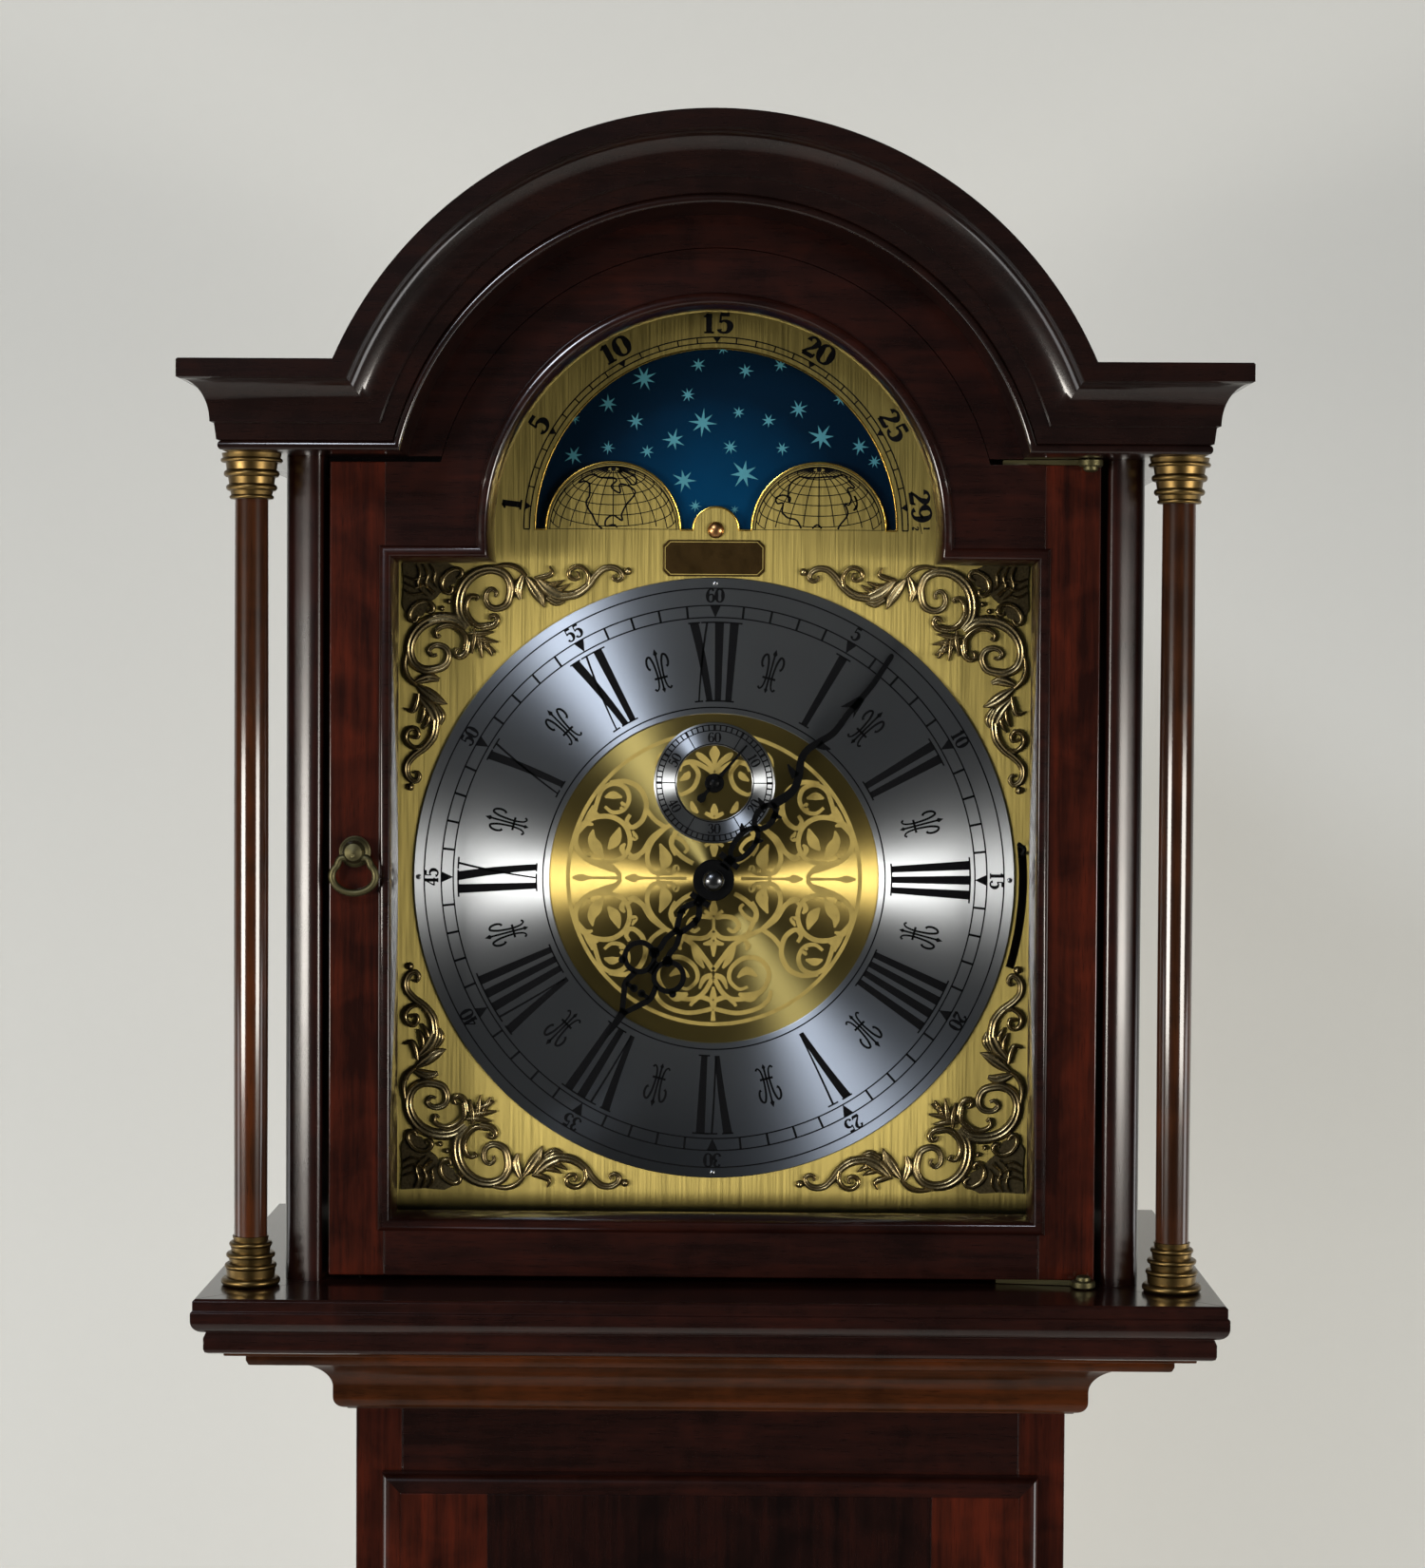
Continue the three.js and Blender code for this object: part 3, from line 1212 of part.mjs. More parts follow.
// Wheels have V-shaped gaps and slim teeth, pinions slim leaves, for a free running mesh.
const WHEEL_TOOTH = [[-1.05, -0.5], [0.85, 0]];
const PINION_LEAF = [[-1.1, -0.16], [0.5, -0.07], [0.5, 0.07], [-1.1, 0.16]];

// Crossings: the windows between a wheel's spokes.
function addCrossings(shape, count, inner, outer) {
  for (let i = 0; i < count; i++) {
    const from = (360 / count) * i + 12;
    const to = (360 / count) * (i + 1) - 12;
    const window = [...arcPoints(0, 0, outer, from, to, 3), ...arcPoints(0, 0, inner, to - 8, from + 8, 1)];
    shape.holes.push(holeOf(window));
  }
  return shape;
}

function wheel(shape, y) {
  return frontSlab(shape, y, y + WHEEL_T);
}

// A pinion set to meet the wheel whose front face is at the depth given.
function pinion(at, wheelY) {
  const y = wheelY - PINION_LEAD;
  return frontSlab(toothedOutline(PINION_LEAVES, at, PINION_LEAF), y, y + PINION_T);
}

function arborProfile(y0, y1, r) {
  return turnedAcross([[0, y0], [r, y0], [r, y1], [0, y1]], 8);
}

function buildMovement() {
  const top = BOARD_TOP + PLATE_RISE;
  const low = SEAT_Z + GLUE;
  const { third, toThird, toEscape } = trainPlaces();
  const palletZ = SECONDS_Z + PALLET_RISE;
  const wheelZ = SEAT_Z + CHAIN_WHEEL_RISE;
  const pivots = [[0, DIAL_Z, ARBOR_R], [third[0], DIAL_Z + third[1], THIRD_ARBOR_R]];
  pivots.push([0, SECONDS_Z, ESCAPE_ARBOR_R], [0, palletZ, PALLET_ARBOR_R]);
  for (const x of chainWheelXs()) pivots.push([x, wheelZ, ARBOR_R]);
  const holes = (y) => pivots.map(([x, z, r]) => barAcross(r + RUN, y - 1, y + PLATE_T + 1, x, z, 8));
  const front = block(-PLATE_HALF, PLATE_HALF, FRONT_PLATE_Y, FRONT_PLATE_Y + PLATE_T, low, top);
  piece("movement_front_plate", cut(front, ...holes(FRONT_PLATE_Y)), BRASS);
  const back = block(-PLATE_HALF, PLATE_HALF, BACK_PLATE_Y, BACK_PLATE_Y + PLATE_T, low, top);
  const pillars = [];
  for (const x of [-PLATE_HALF + PILLAR_IN, PLATE_HALF - PILLAR_IN]) {
    for (const z of [low + PILLAR_IN, top - PILLAR_IN]) {
      pillars.push(barAcross(PILLAR_R, FRONT_PLATE_Y + PLATE_T + GLUE, BACK_PLATE_Y + 1, x, z, 8));
    }
  }
  // The cock stands out behind and holds the pendulum's suspension spring.
  const cockZ = palletZ + COCK_RISE;
  const cock = block(-COCK_HALF, COCK_HALF, BACK_PLATE_Y + 1, PENDULUM_Y + 8, cockZ, cockZ + COCK_H);
  piece("movement_back_plate", join(cut(back, ...holes(BACK_PLATE_Y)), cock, ...pillars), BRASS);
  const pivotFront = FRONT_PLATE_Y + 0.5;
  const pivotBack = BACK_PLATE_Y + PLATE_T - 0.5;
  // Centre arbor: wheel, arbor and the cap nut that holds the minute hand.
  const nut = MINUTE_HAND_Y - RUN;
  const centreArbor = turnedAcross(
    [
      [0, nut - 4.4],
      [2.6, nut - 4],
      [4.2, nut - 2.6],
      [4.6, nut],
      [ARBOR_R, nut],
      [ARBOR_R, pivotBack],
      [0, pivotBack],
    ],
    12,
  );
  const centreRim = toothedOutline(CENTRE_TEETH, toThird, WHEEL_TOOTH);
  const centreWheel = wheel(addCrossings(centreRim, 4, 7, 20), CENTRE_WHEEL_Y);
  piece("centre_wheel", join(centreArbor, centreWheel).translate(0, 0, DIAL_Z), BRASS);
  // Third arbor: its pinion meshes with the centre wheel and its wheel with the escape pinion.
  const half = Math.PI / PINION_LEAVES;
  const thirdPinion = pinion(toThird + Math.PI + half, CENTRE_WHEEL_Y);
  const thirdRim = toothedOutline(THIRD_TEETH, toEscape, WHEEL_TOOTH);
  const thirdWheel = wheel(addCrossings(thirdRim, 4, 7, 19), THIRD_WHEEL_Y);
  const thirdArbor = arborProfile(pivotFront, pivotBack, THIRD_ARBOR_R);
  const thirdSet = join(thirdArbor, thirdPinion, thirdWheel);
  piece("third_wheel", thirdSet.translate(third[0], 0, DIAL_Z + third[1]), BRASS);
  // Escape arbor: saw-toothed wheel, pinion and the long pivot that carries the seconds hand.
  const teeth = [];
  for (let i = 0; i < ESCAPE_TEETH; i++) {
    const a = (360 / ESCAPE_TEETH) * i;
    teeth.push(...arcPoints(0, 0, ESCAPE_R - 3, a, a, 1).slice(0, 1));
    teeth.push(...arcPoints(0, 0, ESCAPE_R, a + 2, a + 2, 1).slice(0, 1));
  }
  const escapeWheel = wheel(addCrossings(outline(teeth), 4, 5, 13), ESCAPE_WHEEL_Y);
  const escapePinion = pinion(toEscape + Math.PI + half, THIRD_WHEEL_Y);
  const escapeArbor = arborProfile(SECONDS_HAND_Y - 0.6, pivotBack, ESCAPE_ARBOR_R);
  piece("escape_wheel", join(escapeArbor, escapeWheel, escapePinion).translate(0, 0, SECONDS_Z), BRASS);
  // Anchor: pallet arms astride the escape wheel, and the crutch whose fork drives the pendulum.
  const crutchY = PENDULUM_Y - 9;
  const prong = LATH_W / 2 + 0.8;
  const fork = prong + 2.4;
  const spread = THREE.MathUtils.degToRad(50);
  const palletX = PALLET_REACH * Math.sin(spread);
  const palletDrop = PALLET_REACH * Math.cos(spread) - PALLET_RISE;
  const y0 = ESCAPE_WHEEL_Y - 1;
  const y1 = y0 + ANCHOR_T;
  const bar = crutchY + 3;
  const anchor = join(
    arborProfile(pivotFront, bar, PALLET_ARBOR_R),
    disc(0, 0, 5, y0, y1, 5),
    stroke([[0, 0], [-9, -3], [-15, -10], [-palletX, palletDrop]], [6, 5, 4, 2.4], y0, y1, 5),
    stroke([[0, 0], [9, -3], [15, -10], [palletX, palletDrop]], [6, 5, 4, 2.4], y0, y1, 5),
    disc(0, 0, 5, crutchY, bar, 10),
    block(-2, 2, crutchY, bar, -FORK_DROP, 0),
    block(-fork, fork, crutchY, bar, -FORK_DROP - FORK_H, -FORK_DROP),
    block(-fork, -prong, crutchY, PENDULUM_Y + 6, -FORK_DROP - FORK_H, -FORK_DROP),
    block(prong, fork, crutchY, PENDULUM_Y + 6, -FORK_DROP - FORK_H, -FORK_DROP),
  );
  piece("anchor_and_crutch", anchor.translate(0, 0, palletZ), STEEL);
  buildPendulum(palletZ);
  buildChains(wheelZ, pivotFront, pivotBack);
}

function buildPendulum(pivotZ) {
  const spring = block(-4, 4, PENDULUM_Y - 0.3, PENDULUM_Y + 0.3, pivotZ - 22, pivotZ + COCK_RISE - 0.4);
  const bobZ = pivotZ - PENDULUM_L;
  const nutTop = bobZ - BOB_R - 0.4;
  const lath = block(
    -LATH_W / 2,
    LATH_W / 2,
    PENDULUM_Y - LATH_T / 2,
    PENDULUM_Y + LATH_T / 2,
    nutTop - 3,
    pivotZ - 20,
  );
  const nutProfile = [[0, -26], [2, -25], [2, -8], [9, -7], [9, 0], [0, 0]];
  const nut = turned(nutProfile.map(([r, drop]) => [r, nutTop + drop]));
  piece("pendulum_rod", join(spring, lath, nut.translate(0, PENDULUM_Y, 0)), MAHOGANY);
  const t = BOB_T / 2;
  const lens = turnedAcross(
    [
      [0, -t],
      [BOB_R * 0.5, -t * 0.9],
      [BOB_R * 0.82, -t * 0.6],
      [BOB_R, -1.5],
      [BOB_R, 1.5],
      [BOB_R * 0.82, t * 0.6],
      [BOB_R * 0.5, t * 0.9],
      [0, t],
    ],
    24,
  ).translate(0, PENDULUM_Y, bobZ);
  const slotX = LATH_W / 2 + 0.3;
  const slotY = LATH_T / 2 + 0.3;
  const slotZ = BOB_R + 5;
  const slot = block(-slotX, slotX, PENDULUM_Y - slotY, PENDULUM_Y + slotY, bobZ - slotZ, bobZ + slotZ);
  piece("pendulum_bob", cut(lens, slot), BRASS);
}

// Each chain hangs over its wheel: the weight on one side, a short free end on the other.
function buildChains(wheelZ, pivotFront, pivotBack) {
  const names = ["left", "middle", "right"];
  const grooveR = CHAIN_WHEEL_R - CHAIN_R - 0.3;
  const flangeR = CHAIN_WHEEL_R + 4;
  const half = CHAIN_R + RUN;
  chainWheelXs().forEach((x, i) => {
    const spool = turnedAcross(
      [
        [0, pivotFront],
        [ARBOR_R, pivotFront],
        [ARBOR_R, CHAIN_Y - half - 2.5],
        [flangeR, CHAIN_Y - half - 2.5],
        [flangeR, CHAIN_Y - half],
        [grooveR, CHAIN_Y - half],
        [grooveR, CHAIN_Y + half],
        [flangeR, CHAIN_Y + half],
        [flangeR, CHAIN_Y + half + 2.5],
        [ARBOR_R, CHAIN_Y + half + 2.5],
        [ARBOR_R, pivotBack],
        [0, pivotBack],
      ],
    );
    // Ratchet behind the spool, so the wheel runs free while its weight is wound.
    const saw = [];
    const clicks = 10;
    for (let k = 0; k < clicks; k++) {
      const a = (360 / clicks) * k;
      saw.push(...arcPoints(0, 0, flangeR - 5, a, a, 1).slice(0, 1));
      saw.push(...arcPoints(0, 0, flangeR - 1, a + 2, a + 2, 1).slice(0, 1));
    }
    const ratchet = frontSlab(outline(saw), CHAIN_Y + half + 4, CHAIN_Y + half + 6);
    piece("chain_wheel_" + names[i], join(spool, ratchet).translate(x, 0, wheelZ), BRASS);
    const hang = x - CHAIN_WHEEL_R;
    const weightTop = WEIGHT_FOOT + WEIGHT_L + WEIGHT_NECK;
    const weight = turned(
      [
        [0, WEIGHT_FOOT],
        [WEIGHT_R - 8, WEIGHT_FOOT],
        [WEIGHT_R, WEIGHT_FOOT + 9],
        [WEIGHT_R, WEIGHT_FOOT + WEIGHT_L - 9],
        [WEIGHT_R - 8, WEIGHT_FOOT + WEIGHT_L],
        [5, WEIGHT_FOOT + WEIGHT_L + 1.5],
        [3.4, WEIGHT_FOOT + WEIGHT_L + 6],
        [4.4, weightTop - 3],
        [0, weightTop],
      ],
      16,
    );
    piece("weight_" + names[i], weight.translate(hang, CHAIN_Y, 0), BRASS);
    const across = [0, 1, 0];
    const stations = [{ at: [hang, CHAIN_Y, weightTop + 0.3], out: [-1, 0, 0], up: across }];
    for (const [dx, dz] of arcPoints(0, 0, 1, 180, 0, 10)) {
      const at = [x + CHAIN_WHEEL_R * dx, CHAIN_Y, wheelZ + CHAIN_WHEEL_R * dz];
      stations.push({ at, out: [dx, 0, dz], up: across });
    }
    stations.push({ at: [x + CHAIN_WHEEL_R, CHAIN_Y, wheelZ - CHAIN_TAIL], out: [1, 0, 0], up: across });
    piece("chain_" + names[i], carried(arcPoints(0, 0, CHAIN_R, 0, 300, 5), stations), STEEL);
  });
}

// Chime rods hang from an iron block on the backboard, each longer than the last.
function buildChimeRods() {
  const blockTop = SEAT_Z - SEAT_T - 30;
  const blockLow = blockTop - ROD_BLOCK_H;
  const y1 = BACKBOARD_Y - GLUE;
  const y0 = y1 - ROD_BLOCK_T;
  const rods = [];
  const pitch = ROD_BLOCK_W / ROD_COUNT;
  for (let i = 0; i < ROD_COUNT; i++) {
    const x = -ROD_BLOCK_W / 2 + pitch * (i + 0.5);
    const low = blockLow - ROD_SHORTEST - ROD_STEP * i;
    const rod = turned(
      [[0, low], [ROD_R, low], [ROD_R, blockLow - 8], [ROD_R * 0.6, blockLow + 4], [0, blockLow + 4]],
      6,
    );
    rods.push(rod.translate(x, (y0 + y1) / 2 - 3, 0));
  }
  const iron = block(-ROD_BLOCK_W / 2, ROD_BLOCK_W / 2, y0, y1, blockLow, blockTop);
  piece("chime_rods", join(iron, ...rods), STEEL);
}

buildBackboard();
buildBase();
buildTrunk();
buildTrunkDoor();
buildHoodBase();
buildHoodSides();
buildCornice();
buildRoofAndFrontBoard();
buildColumns();
buildHoodDoor();
buildDialPlate();
buildChapterRing();
buildSpandrels();
buildMoonDisc();
buildChimeLever();
buildMinuteHand();
buildHourHand();
buildSecondsHand();
buildMovement();
buildChimeRods();

// The origin goes to the floor, midway between the cornice's front and the back.
const frontMost = DOOR_Y - GLUE - CORNICE_DEPTH - CORNICE_OUT;
clock.position.set(0, -(frontMost + BACK_Y) / 2, 0);

export default clock;
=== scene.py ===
"""Looks of a grandmother clock: polished mahogany case, brass moon dial behind glass, chains and weights."""

import math

import bmesh
import bpy
from bpy.props import FloatProperty, FloatVectorProperty, PointerProperty
from mathutils import Matrix, Vector
from mathutils.geometry import tessellate_polygon


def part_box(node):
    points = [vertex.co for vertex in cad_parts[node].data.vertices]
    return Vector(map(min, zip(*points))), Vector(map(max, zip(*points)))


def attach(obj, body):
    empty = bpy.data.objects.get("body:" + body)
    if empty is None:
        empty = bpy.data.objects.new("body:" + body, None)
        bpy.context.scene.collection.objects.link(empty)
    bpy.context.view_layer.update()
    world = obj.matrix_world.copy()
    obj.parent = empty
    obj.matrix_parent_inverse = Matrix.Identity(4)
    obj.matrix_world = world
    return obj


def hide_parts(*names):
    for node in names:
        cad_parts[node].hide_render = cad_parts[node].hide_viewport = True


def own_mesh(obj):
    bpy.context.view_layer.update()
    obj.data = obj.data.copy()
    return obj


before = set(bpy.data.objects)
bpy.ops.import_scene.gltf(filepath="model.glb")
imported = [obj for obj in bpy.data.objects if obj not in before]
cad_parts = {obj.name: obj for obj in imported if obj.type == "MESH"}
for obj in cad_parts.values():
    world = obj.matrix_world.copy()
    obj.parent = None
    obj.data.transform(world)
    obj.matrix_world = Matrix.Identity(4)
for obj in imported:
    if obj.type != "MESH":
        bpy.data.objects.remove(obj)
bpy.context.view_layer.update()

bl_info = {
    "name": "Grandmother clock",
    "version": (1, 0, 0),
    "blender": (4, 5, 0),
    "location": "View3D > Sidebar > Clock",
    "description": "Builds the visible pieces of a grandmother clock around its solid model",
    "category": "Object",
}

# Places of the solid model in millimetres, read from its boxes or, where no box shows them, written out.
# Depth runs back from the hood board's front edge.
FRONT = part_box("hood_base_frame")[0].y * 1000
BOARD_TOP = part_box("hood_base_frame")[1].z * 1000
BOARD_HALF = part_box("hood_base_frame")[1].x * 1000
DIAL_Z = (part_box("chapter_ring")[0].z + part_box("chapter_ring")[1].z) * 500
MOON_Z = (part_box("moon_disc")[0].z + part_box("moon_disc")[1].z) * 500
CORNICE_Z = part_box("hood_cornice")[0].z * 1000
ARCH_Z = BOARD_TOP + 317
BACK_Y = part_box("hood_base_frame")[1].y * 1000 - FRONT
DOOR_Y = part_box("hood_door_frame")[0].y * 1000 - FRONT + 3.2
DIAL_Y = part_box("dial_plate")[0].y * 1000 - FRONT
SECONDS_Z = DIAL_Z + 41.5
OPENING_HALF = 138.5
OPENING_FOOT = BOARD_TOP + 24
PIVOT_X = 157
PIVOT_Y = 40.6
MINUTE_ANGLE = 38
HOUR_ANGLE = 214
SECONDS_ANGLE = 40.4
WHEEL_Z = 1385
CHAIN_Y = 139
CHAIN_WHEEL = 14
CHAIN_TAIL = 110
TRUNK_HALF = 151.7
TRUNK_Y = 60
TRUNK_PIVOT = (141.5, 59.6)
CORNICE_HEIGHT = 36
# Pieces that meet stand this far apart, and engraved lines this far in front of their metal.
CLEAR = 0.02
ENGRAVED = 0.04
# Turned shapes close this far from their axis.
AXIS = 0.01
# Strokes that cross are set at their own depths, one step apart.
LAYER = 0.004
SIDES = ((-1, "left"), (1, "right"))


def linear(code):
    """An sRGB hex colour as linear red, green, blue and alpha."""
    parts = [int(code[i : i + 2], 16) / 255 for i in (1, 3, 5)]
    return tuple(p / 12.92 if p <= 0.04045 else ((p + 0.055) / 1.055) ** 2.4 for p in parts) + (1.0,)


def tint(name, description, code):
    """A colour property that starts at an sRGB hex colour."""
    return FloatVectorProperty(
        name=name, description=description, default=linear(code), size=4, min=0, max=1, subtype="COLOR"
    )


def length(name, description, millimetres):
    """A length property that starts at a size in millimetres."""
    return FloatProperty(
        name=name, description=description, default=millimetres / 1000, min=0, unit="LENGTH", precision=4
    )


class ClockCase(bpy.types.PropertyGroup):
    """Wood colours and small sizes of the case."""

    stile: tint("Stiles", "Redder, upright mahogany of the door stiles", "#2c0e06")
    rail: tint("Rails", "Dark mahogany of the rails and the hood", "#1a0906")
    cornice: tint("Cornice", "Near-black mahogany of the cornice", "#130806")
    cove: tint("Cove", "Browner mahogany of the throat cove", "#2f1708")
    carcass: tint("Carcass", "Unpolished wood inside the case", "#6b4429")
    polish: FloatProperty(
        name="Polish", description="Roughness of the French polish", default=0.1, min=0, max=1
    )
    edge: length("Eased edge", "Width of the softened edges of the boards", 0.5)


class ClockDial(bpy.types.PropertyGroup):
    """Radii, lengths and colours of the dial."""

    ring_outer: length("Ring edge", "Outer radius of the chapter ring", 130.4)
    ring_inner: length("Ring hole", "Inner radius of the chapter ring", 71.6)
    track_outer: length("Track outer line", "Outer line of the minute track", 118.4)
    track_inner: length("Track inner line", "Inner line of the minute track", 113.2)
    numeral_outer: length("Numeral head", "Outer radius of the hour numerals", 111.1)
    numeral_inner: length("Numeral foot", "Inner radius of the hour numerals", 77.1)
    figure_height: length("Minute figures", "Height of the minute figures", 5.9)
    aperture: length("Moon opening", "Radius of the moon opening", 78.3)
    hump: length("Hump", "Radius of the two globes", 29.2)
    hump_x: length("Hump place", "Globes from the middle line", 44.5)
    brass: tint("Brass", "Satin brass of the dial plate", "#b3a25e")
    gold: tint("Gilding", "Spun gilt centre", "#a39052")
    silver: tint("Silver", "Silvered chapter ring", "#a9aeb3")
    wax: tint("Wax", "Black wax in the engraving", "#040406")
    night: tint("Night", "Lacquer of the moon disc", "#011526")
    star: tint("Stars", "Painted stars", "#427f8b")


class ClockMetal(bpy.types.PropertyGroup):
    """Colours of the fittings and the movement."""

    cast: tint("Cast brass", "Crests of the cast corner pieces", "#a4936a")
    patina: tint("Patina", "Dark hollows of the cast corner pieces", "#191309")
    aged: tint("Aged brass", "Column caps, hinges and ring pull", "#5f4d2d")
    hands: tint("Hands", "Black oxide of the hands", "#050506")
    steel: tint("Steel", "Bright steel of the chains and arbors", "#9a9da0")
    copper: tint("Copper", "Rivet under the moon", "#b08052")
    chain_link: length("Chain link", "Pitch of the driving chains", 8)
    stage_wall: tint("Wall", "Wall behind the clock", "#bbbcb8")
    stage_floor: tint("Floor", "Floor under the clock", "#d6d4cf")


def case_values():
    return bpy.context.scene.clock_case


def dial_values():
    return bpy.context.scene.clock_dial


def metal_values():
    return bpy.context.scene.clock_metal


def mm(value):
    """A length property in millimetres."""
    return value * 1000


def at(x, depth, z):
    """A point in metres from millimetres across, back from the board's front edge, and up."""
    return Vector((x, FRONT + depth, z)) * 0.001


# Shapes


def quarter(cx, cz, rx, rz, start, end, steps=12):
    """Points on part of an ellipse, in degrees counted from three o'clock up to twelve."""
    turns = [math.radians(start + (end - start) * i / steps) for i in range(steps + 1)]
    return [(cx + rx * math.cos(t), cz + rz * math.sin(t)) for t in turns]


def arc(cx, cz, radius, start, end, steps):
    """Points on part of a circle."""
    return quarter(cx, cz, radius, radius, start, end, steps)


def circle(cx, cz, radius, count):
    """Points all round a circle."""
    return arc(cx, cz, radius, 0, 360 - 360 / count, count - 1)


def clock_point(radius, degrees, cz=0.0):
    """A point at a radius and an angle clockwise from twelve."""
    turn = math.radians(degrees)
    return radius * math.sin(turn), cz + radius * math.cos(turn)


def foot_angle(radius, height):
    """Angle in degrees where a circle reaches a height above its centre."""
    return math.degrees(math.asin(height / radius))


def eased(points, steps=6):
    """A smooth curve through points that may carry further values, such as a width."""
    ends = [points[0], *points, points[-1]]
    made = []
    for a, b, c, d in zip(ends, ends[1:], ends[2:], ends[3:]):
        for i in range(steps):
            t = i / steps
            point = []
            for p, q, r, s in zip(a, b, c, d):
                bend, twist = 2 * p - 5 * q + 4 * r - s, 3 * q - p - 3 * r + s
                point.append(0.5 * (2 * q + (r - p) * t + bend * t * t + twist * t**3))
            made.append(tuple(point))
    return made + [tuple(points[-1])]


def sides_of(points):
    """Left and right edges of a flat stroke whose points carry their width."""
    left, right = [], []
    last = len(points) - 1
    for i, (x, z, width) in enumerate(points):
        before, after = points[max(i - 1, 0)], points[min(i + 1, last)]
        dx, dz = after[0] - before[0], after[1] - before[1]
        reach = math.hypot(dx, dz) or 1.0
        nx, nz = -dz / reach * width / 2, dx / reach * width / 2
        left.append((x + nx, z + nz))
        right.append((x - nx, z - nz))
    return left, right


class Shape:
    """Corners and faces gathered for one mesh. Each method adds to the shape and returns it."""

    def __init__(self):
        self.verts = []
        self.faces = []

    def add(self, verts, faces):
        first = len(self.verts)
        self.verts.extend(verts)
        self.faces.extend([tuple(first + i for i in face) for face in faces])
        return self

    def grid(self, rows, closed=False, caps=False):
        """Skin over rows of points; closed joins each row's ends, caps fills the first and last row."""
        width = len(rows[0])
        faces = []
        for r in range(len(rows) - 1):
            for i in range(width if closed else width - 1):
                j = (i + 1) % width
                faces.append((r * width + i, r * width + j, (r + 1) * width + j, (r + 1) * width + i))
        if caps:
            faces.append(tuple(range(width)))
            faces.append(tuple((len(rows) - 1) * width + i for i in range(width)))
        return self.add([p for row in rows for p in row], faces)

    def stroke(self, points, depth, place=None):
        """A flat stroke of varying width at one depth."""
        left, right = sides_of(points)
        if place:
            left, right = [place(*p) for p in left], [place(*p) for p in right]
        return self.grid([[(x, depth, z) for x, z in edge] for edge in (left, right)])

    def flat(self, loops, depth):
        """A flat area with holes at one depth."""
        corners = [[Vector((x, z, 0)) for x, z in loop] for loop in loops]
        return self.add([(x, depth, z) for loop in loops for x, z in loop], tessellate_polygon(corners))

    def slab(self, loops, front, back):
        """A flat area with holes given a thickness."""
        self.flat(loops, front)
        self.flat(loops, back)
        for loop in loops:
            ring = [*loop, loop[0]]
            self.grid([[(x, depth, z) for x, z in ring] for depth in (front, back)])
        return self

    def lathe(self, profile, cx, cy, segments=64):
        """A turned shape about an upright line, from pairs of radius and height."""
        turns = [2 * math.pi * i / segments for i in range(segments)]
        rows = [[(cx + r * math.cos(t), cy + r * math.sin(t), z) for t in turns] for r, z in profile]
        return self.grid(rows, closed=True, caps=True)

    def turned(self, profile, cx, cz, segments=64):
        """A turned shape about a line that runs back, from pairs of radius and depth."""
        turns = [2 * math.pi * i / segments for i in range(segments)]
        rows = [[(cx + r * math.cos(t), depth, cz + r * math.sin(t)) for t in turns] for r, depth in profile]
        return self.grid(rows, closed=True, caps=True)

    def hoop(self, profile, cz, count):
        """A ring about the dial's middle line, from pairs of radius and depth."""
        rows = [[(x, depth, z) for x, z in circle(0, cz, radius, count)] for radius, depth in profile]
        return self.grid(rows, closed=True)

    def tube(self, path, radius, sides=10, closed=False):
        """A round wire along a path of points."""
        points = [Vector(p) for p in path]
        count = len(points)
        normal = None
        rows = []
        for i, point in enumerate(points):
            before = points[i - 1] if closed else points[max(i - 1, 0)]
            after = points[(i + 1) % count] if closed else points[min(i + 1, count - 1)]
            along = (after - before).normalized()
            normal = normal or along.orthogonal()
            normal = (normal - along * normal.dot(along)).normalized()
            across = along.cross(normal)
            turns = [2 * math.pi * k / sides for k in range(sides)]
            rows.append(
                [tuple(point + (normal * math.cos(t) + across * math.sin(t)) * radius) for t in turns]
            )
        if closed:
            rows.append(rows[0])
        return self.grid(rows, closed=True, caps=not closed)

    def carried(self, profile, stations):
        """A moulding: a profile of out and up pairs, set at stations of point, out way and up way."""
        rows = []
        for point, out, up in stations:
            rows.append([tuple(p + o * a + u * b for p, o, u in zip(point, out, up)) for a, b in profile])
        return self.grid(rows, closed=True, caps=True)

    def upright(self, plan, levels):
        """A plan of across and depth pairs carried up from one level to another."""
        return self.carried(plan, [((0, 0, z), (1, 0, 0), (0, 1, 0)) for z in levels])

    def dome(self, points, depth, height, across=7, wall=0.0, channel=0.0):
        """A raised stroke with a rounded crest, its edges upright and its middle hollowed if asked."""
        left, right = sides_of(points)
        widest = max(p[2] for p in points)
        rows = []
        for (lx, lz), (rx, rz), (_, _, width) in zip(left, right, points):
            rise = height * math.sqrt(max(width, 0.01) / widest)
            row = [(lx, depth, lz)] if wall else []
            for k in range(across):
                t = k / (across - 1)
                hollow = 1 - channel * math.exp(-(((t - 0.5) / 0.14) ** 2))
                lift = wall + rise * math.sin(math.pi * t) ** 0.7 * hollow
                row.append((lx + (rx - lx) * t, depth - lift, lz + (rz - lz) * t))
            rows.append(row + [(rx, depth, rz)] if wall else row)
        return self.grid(rows)


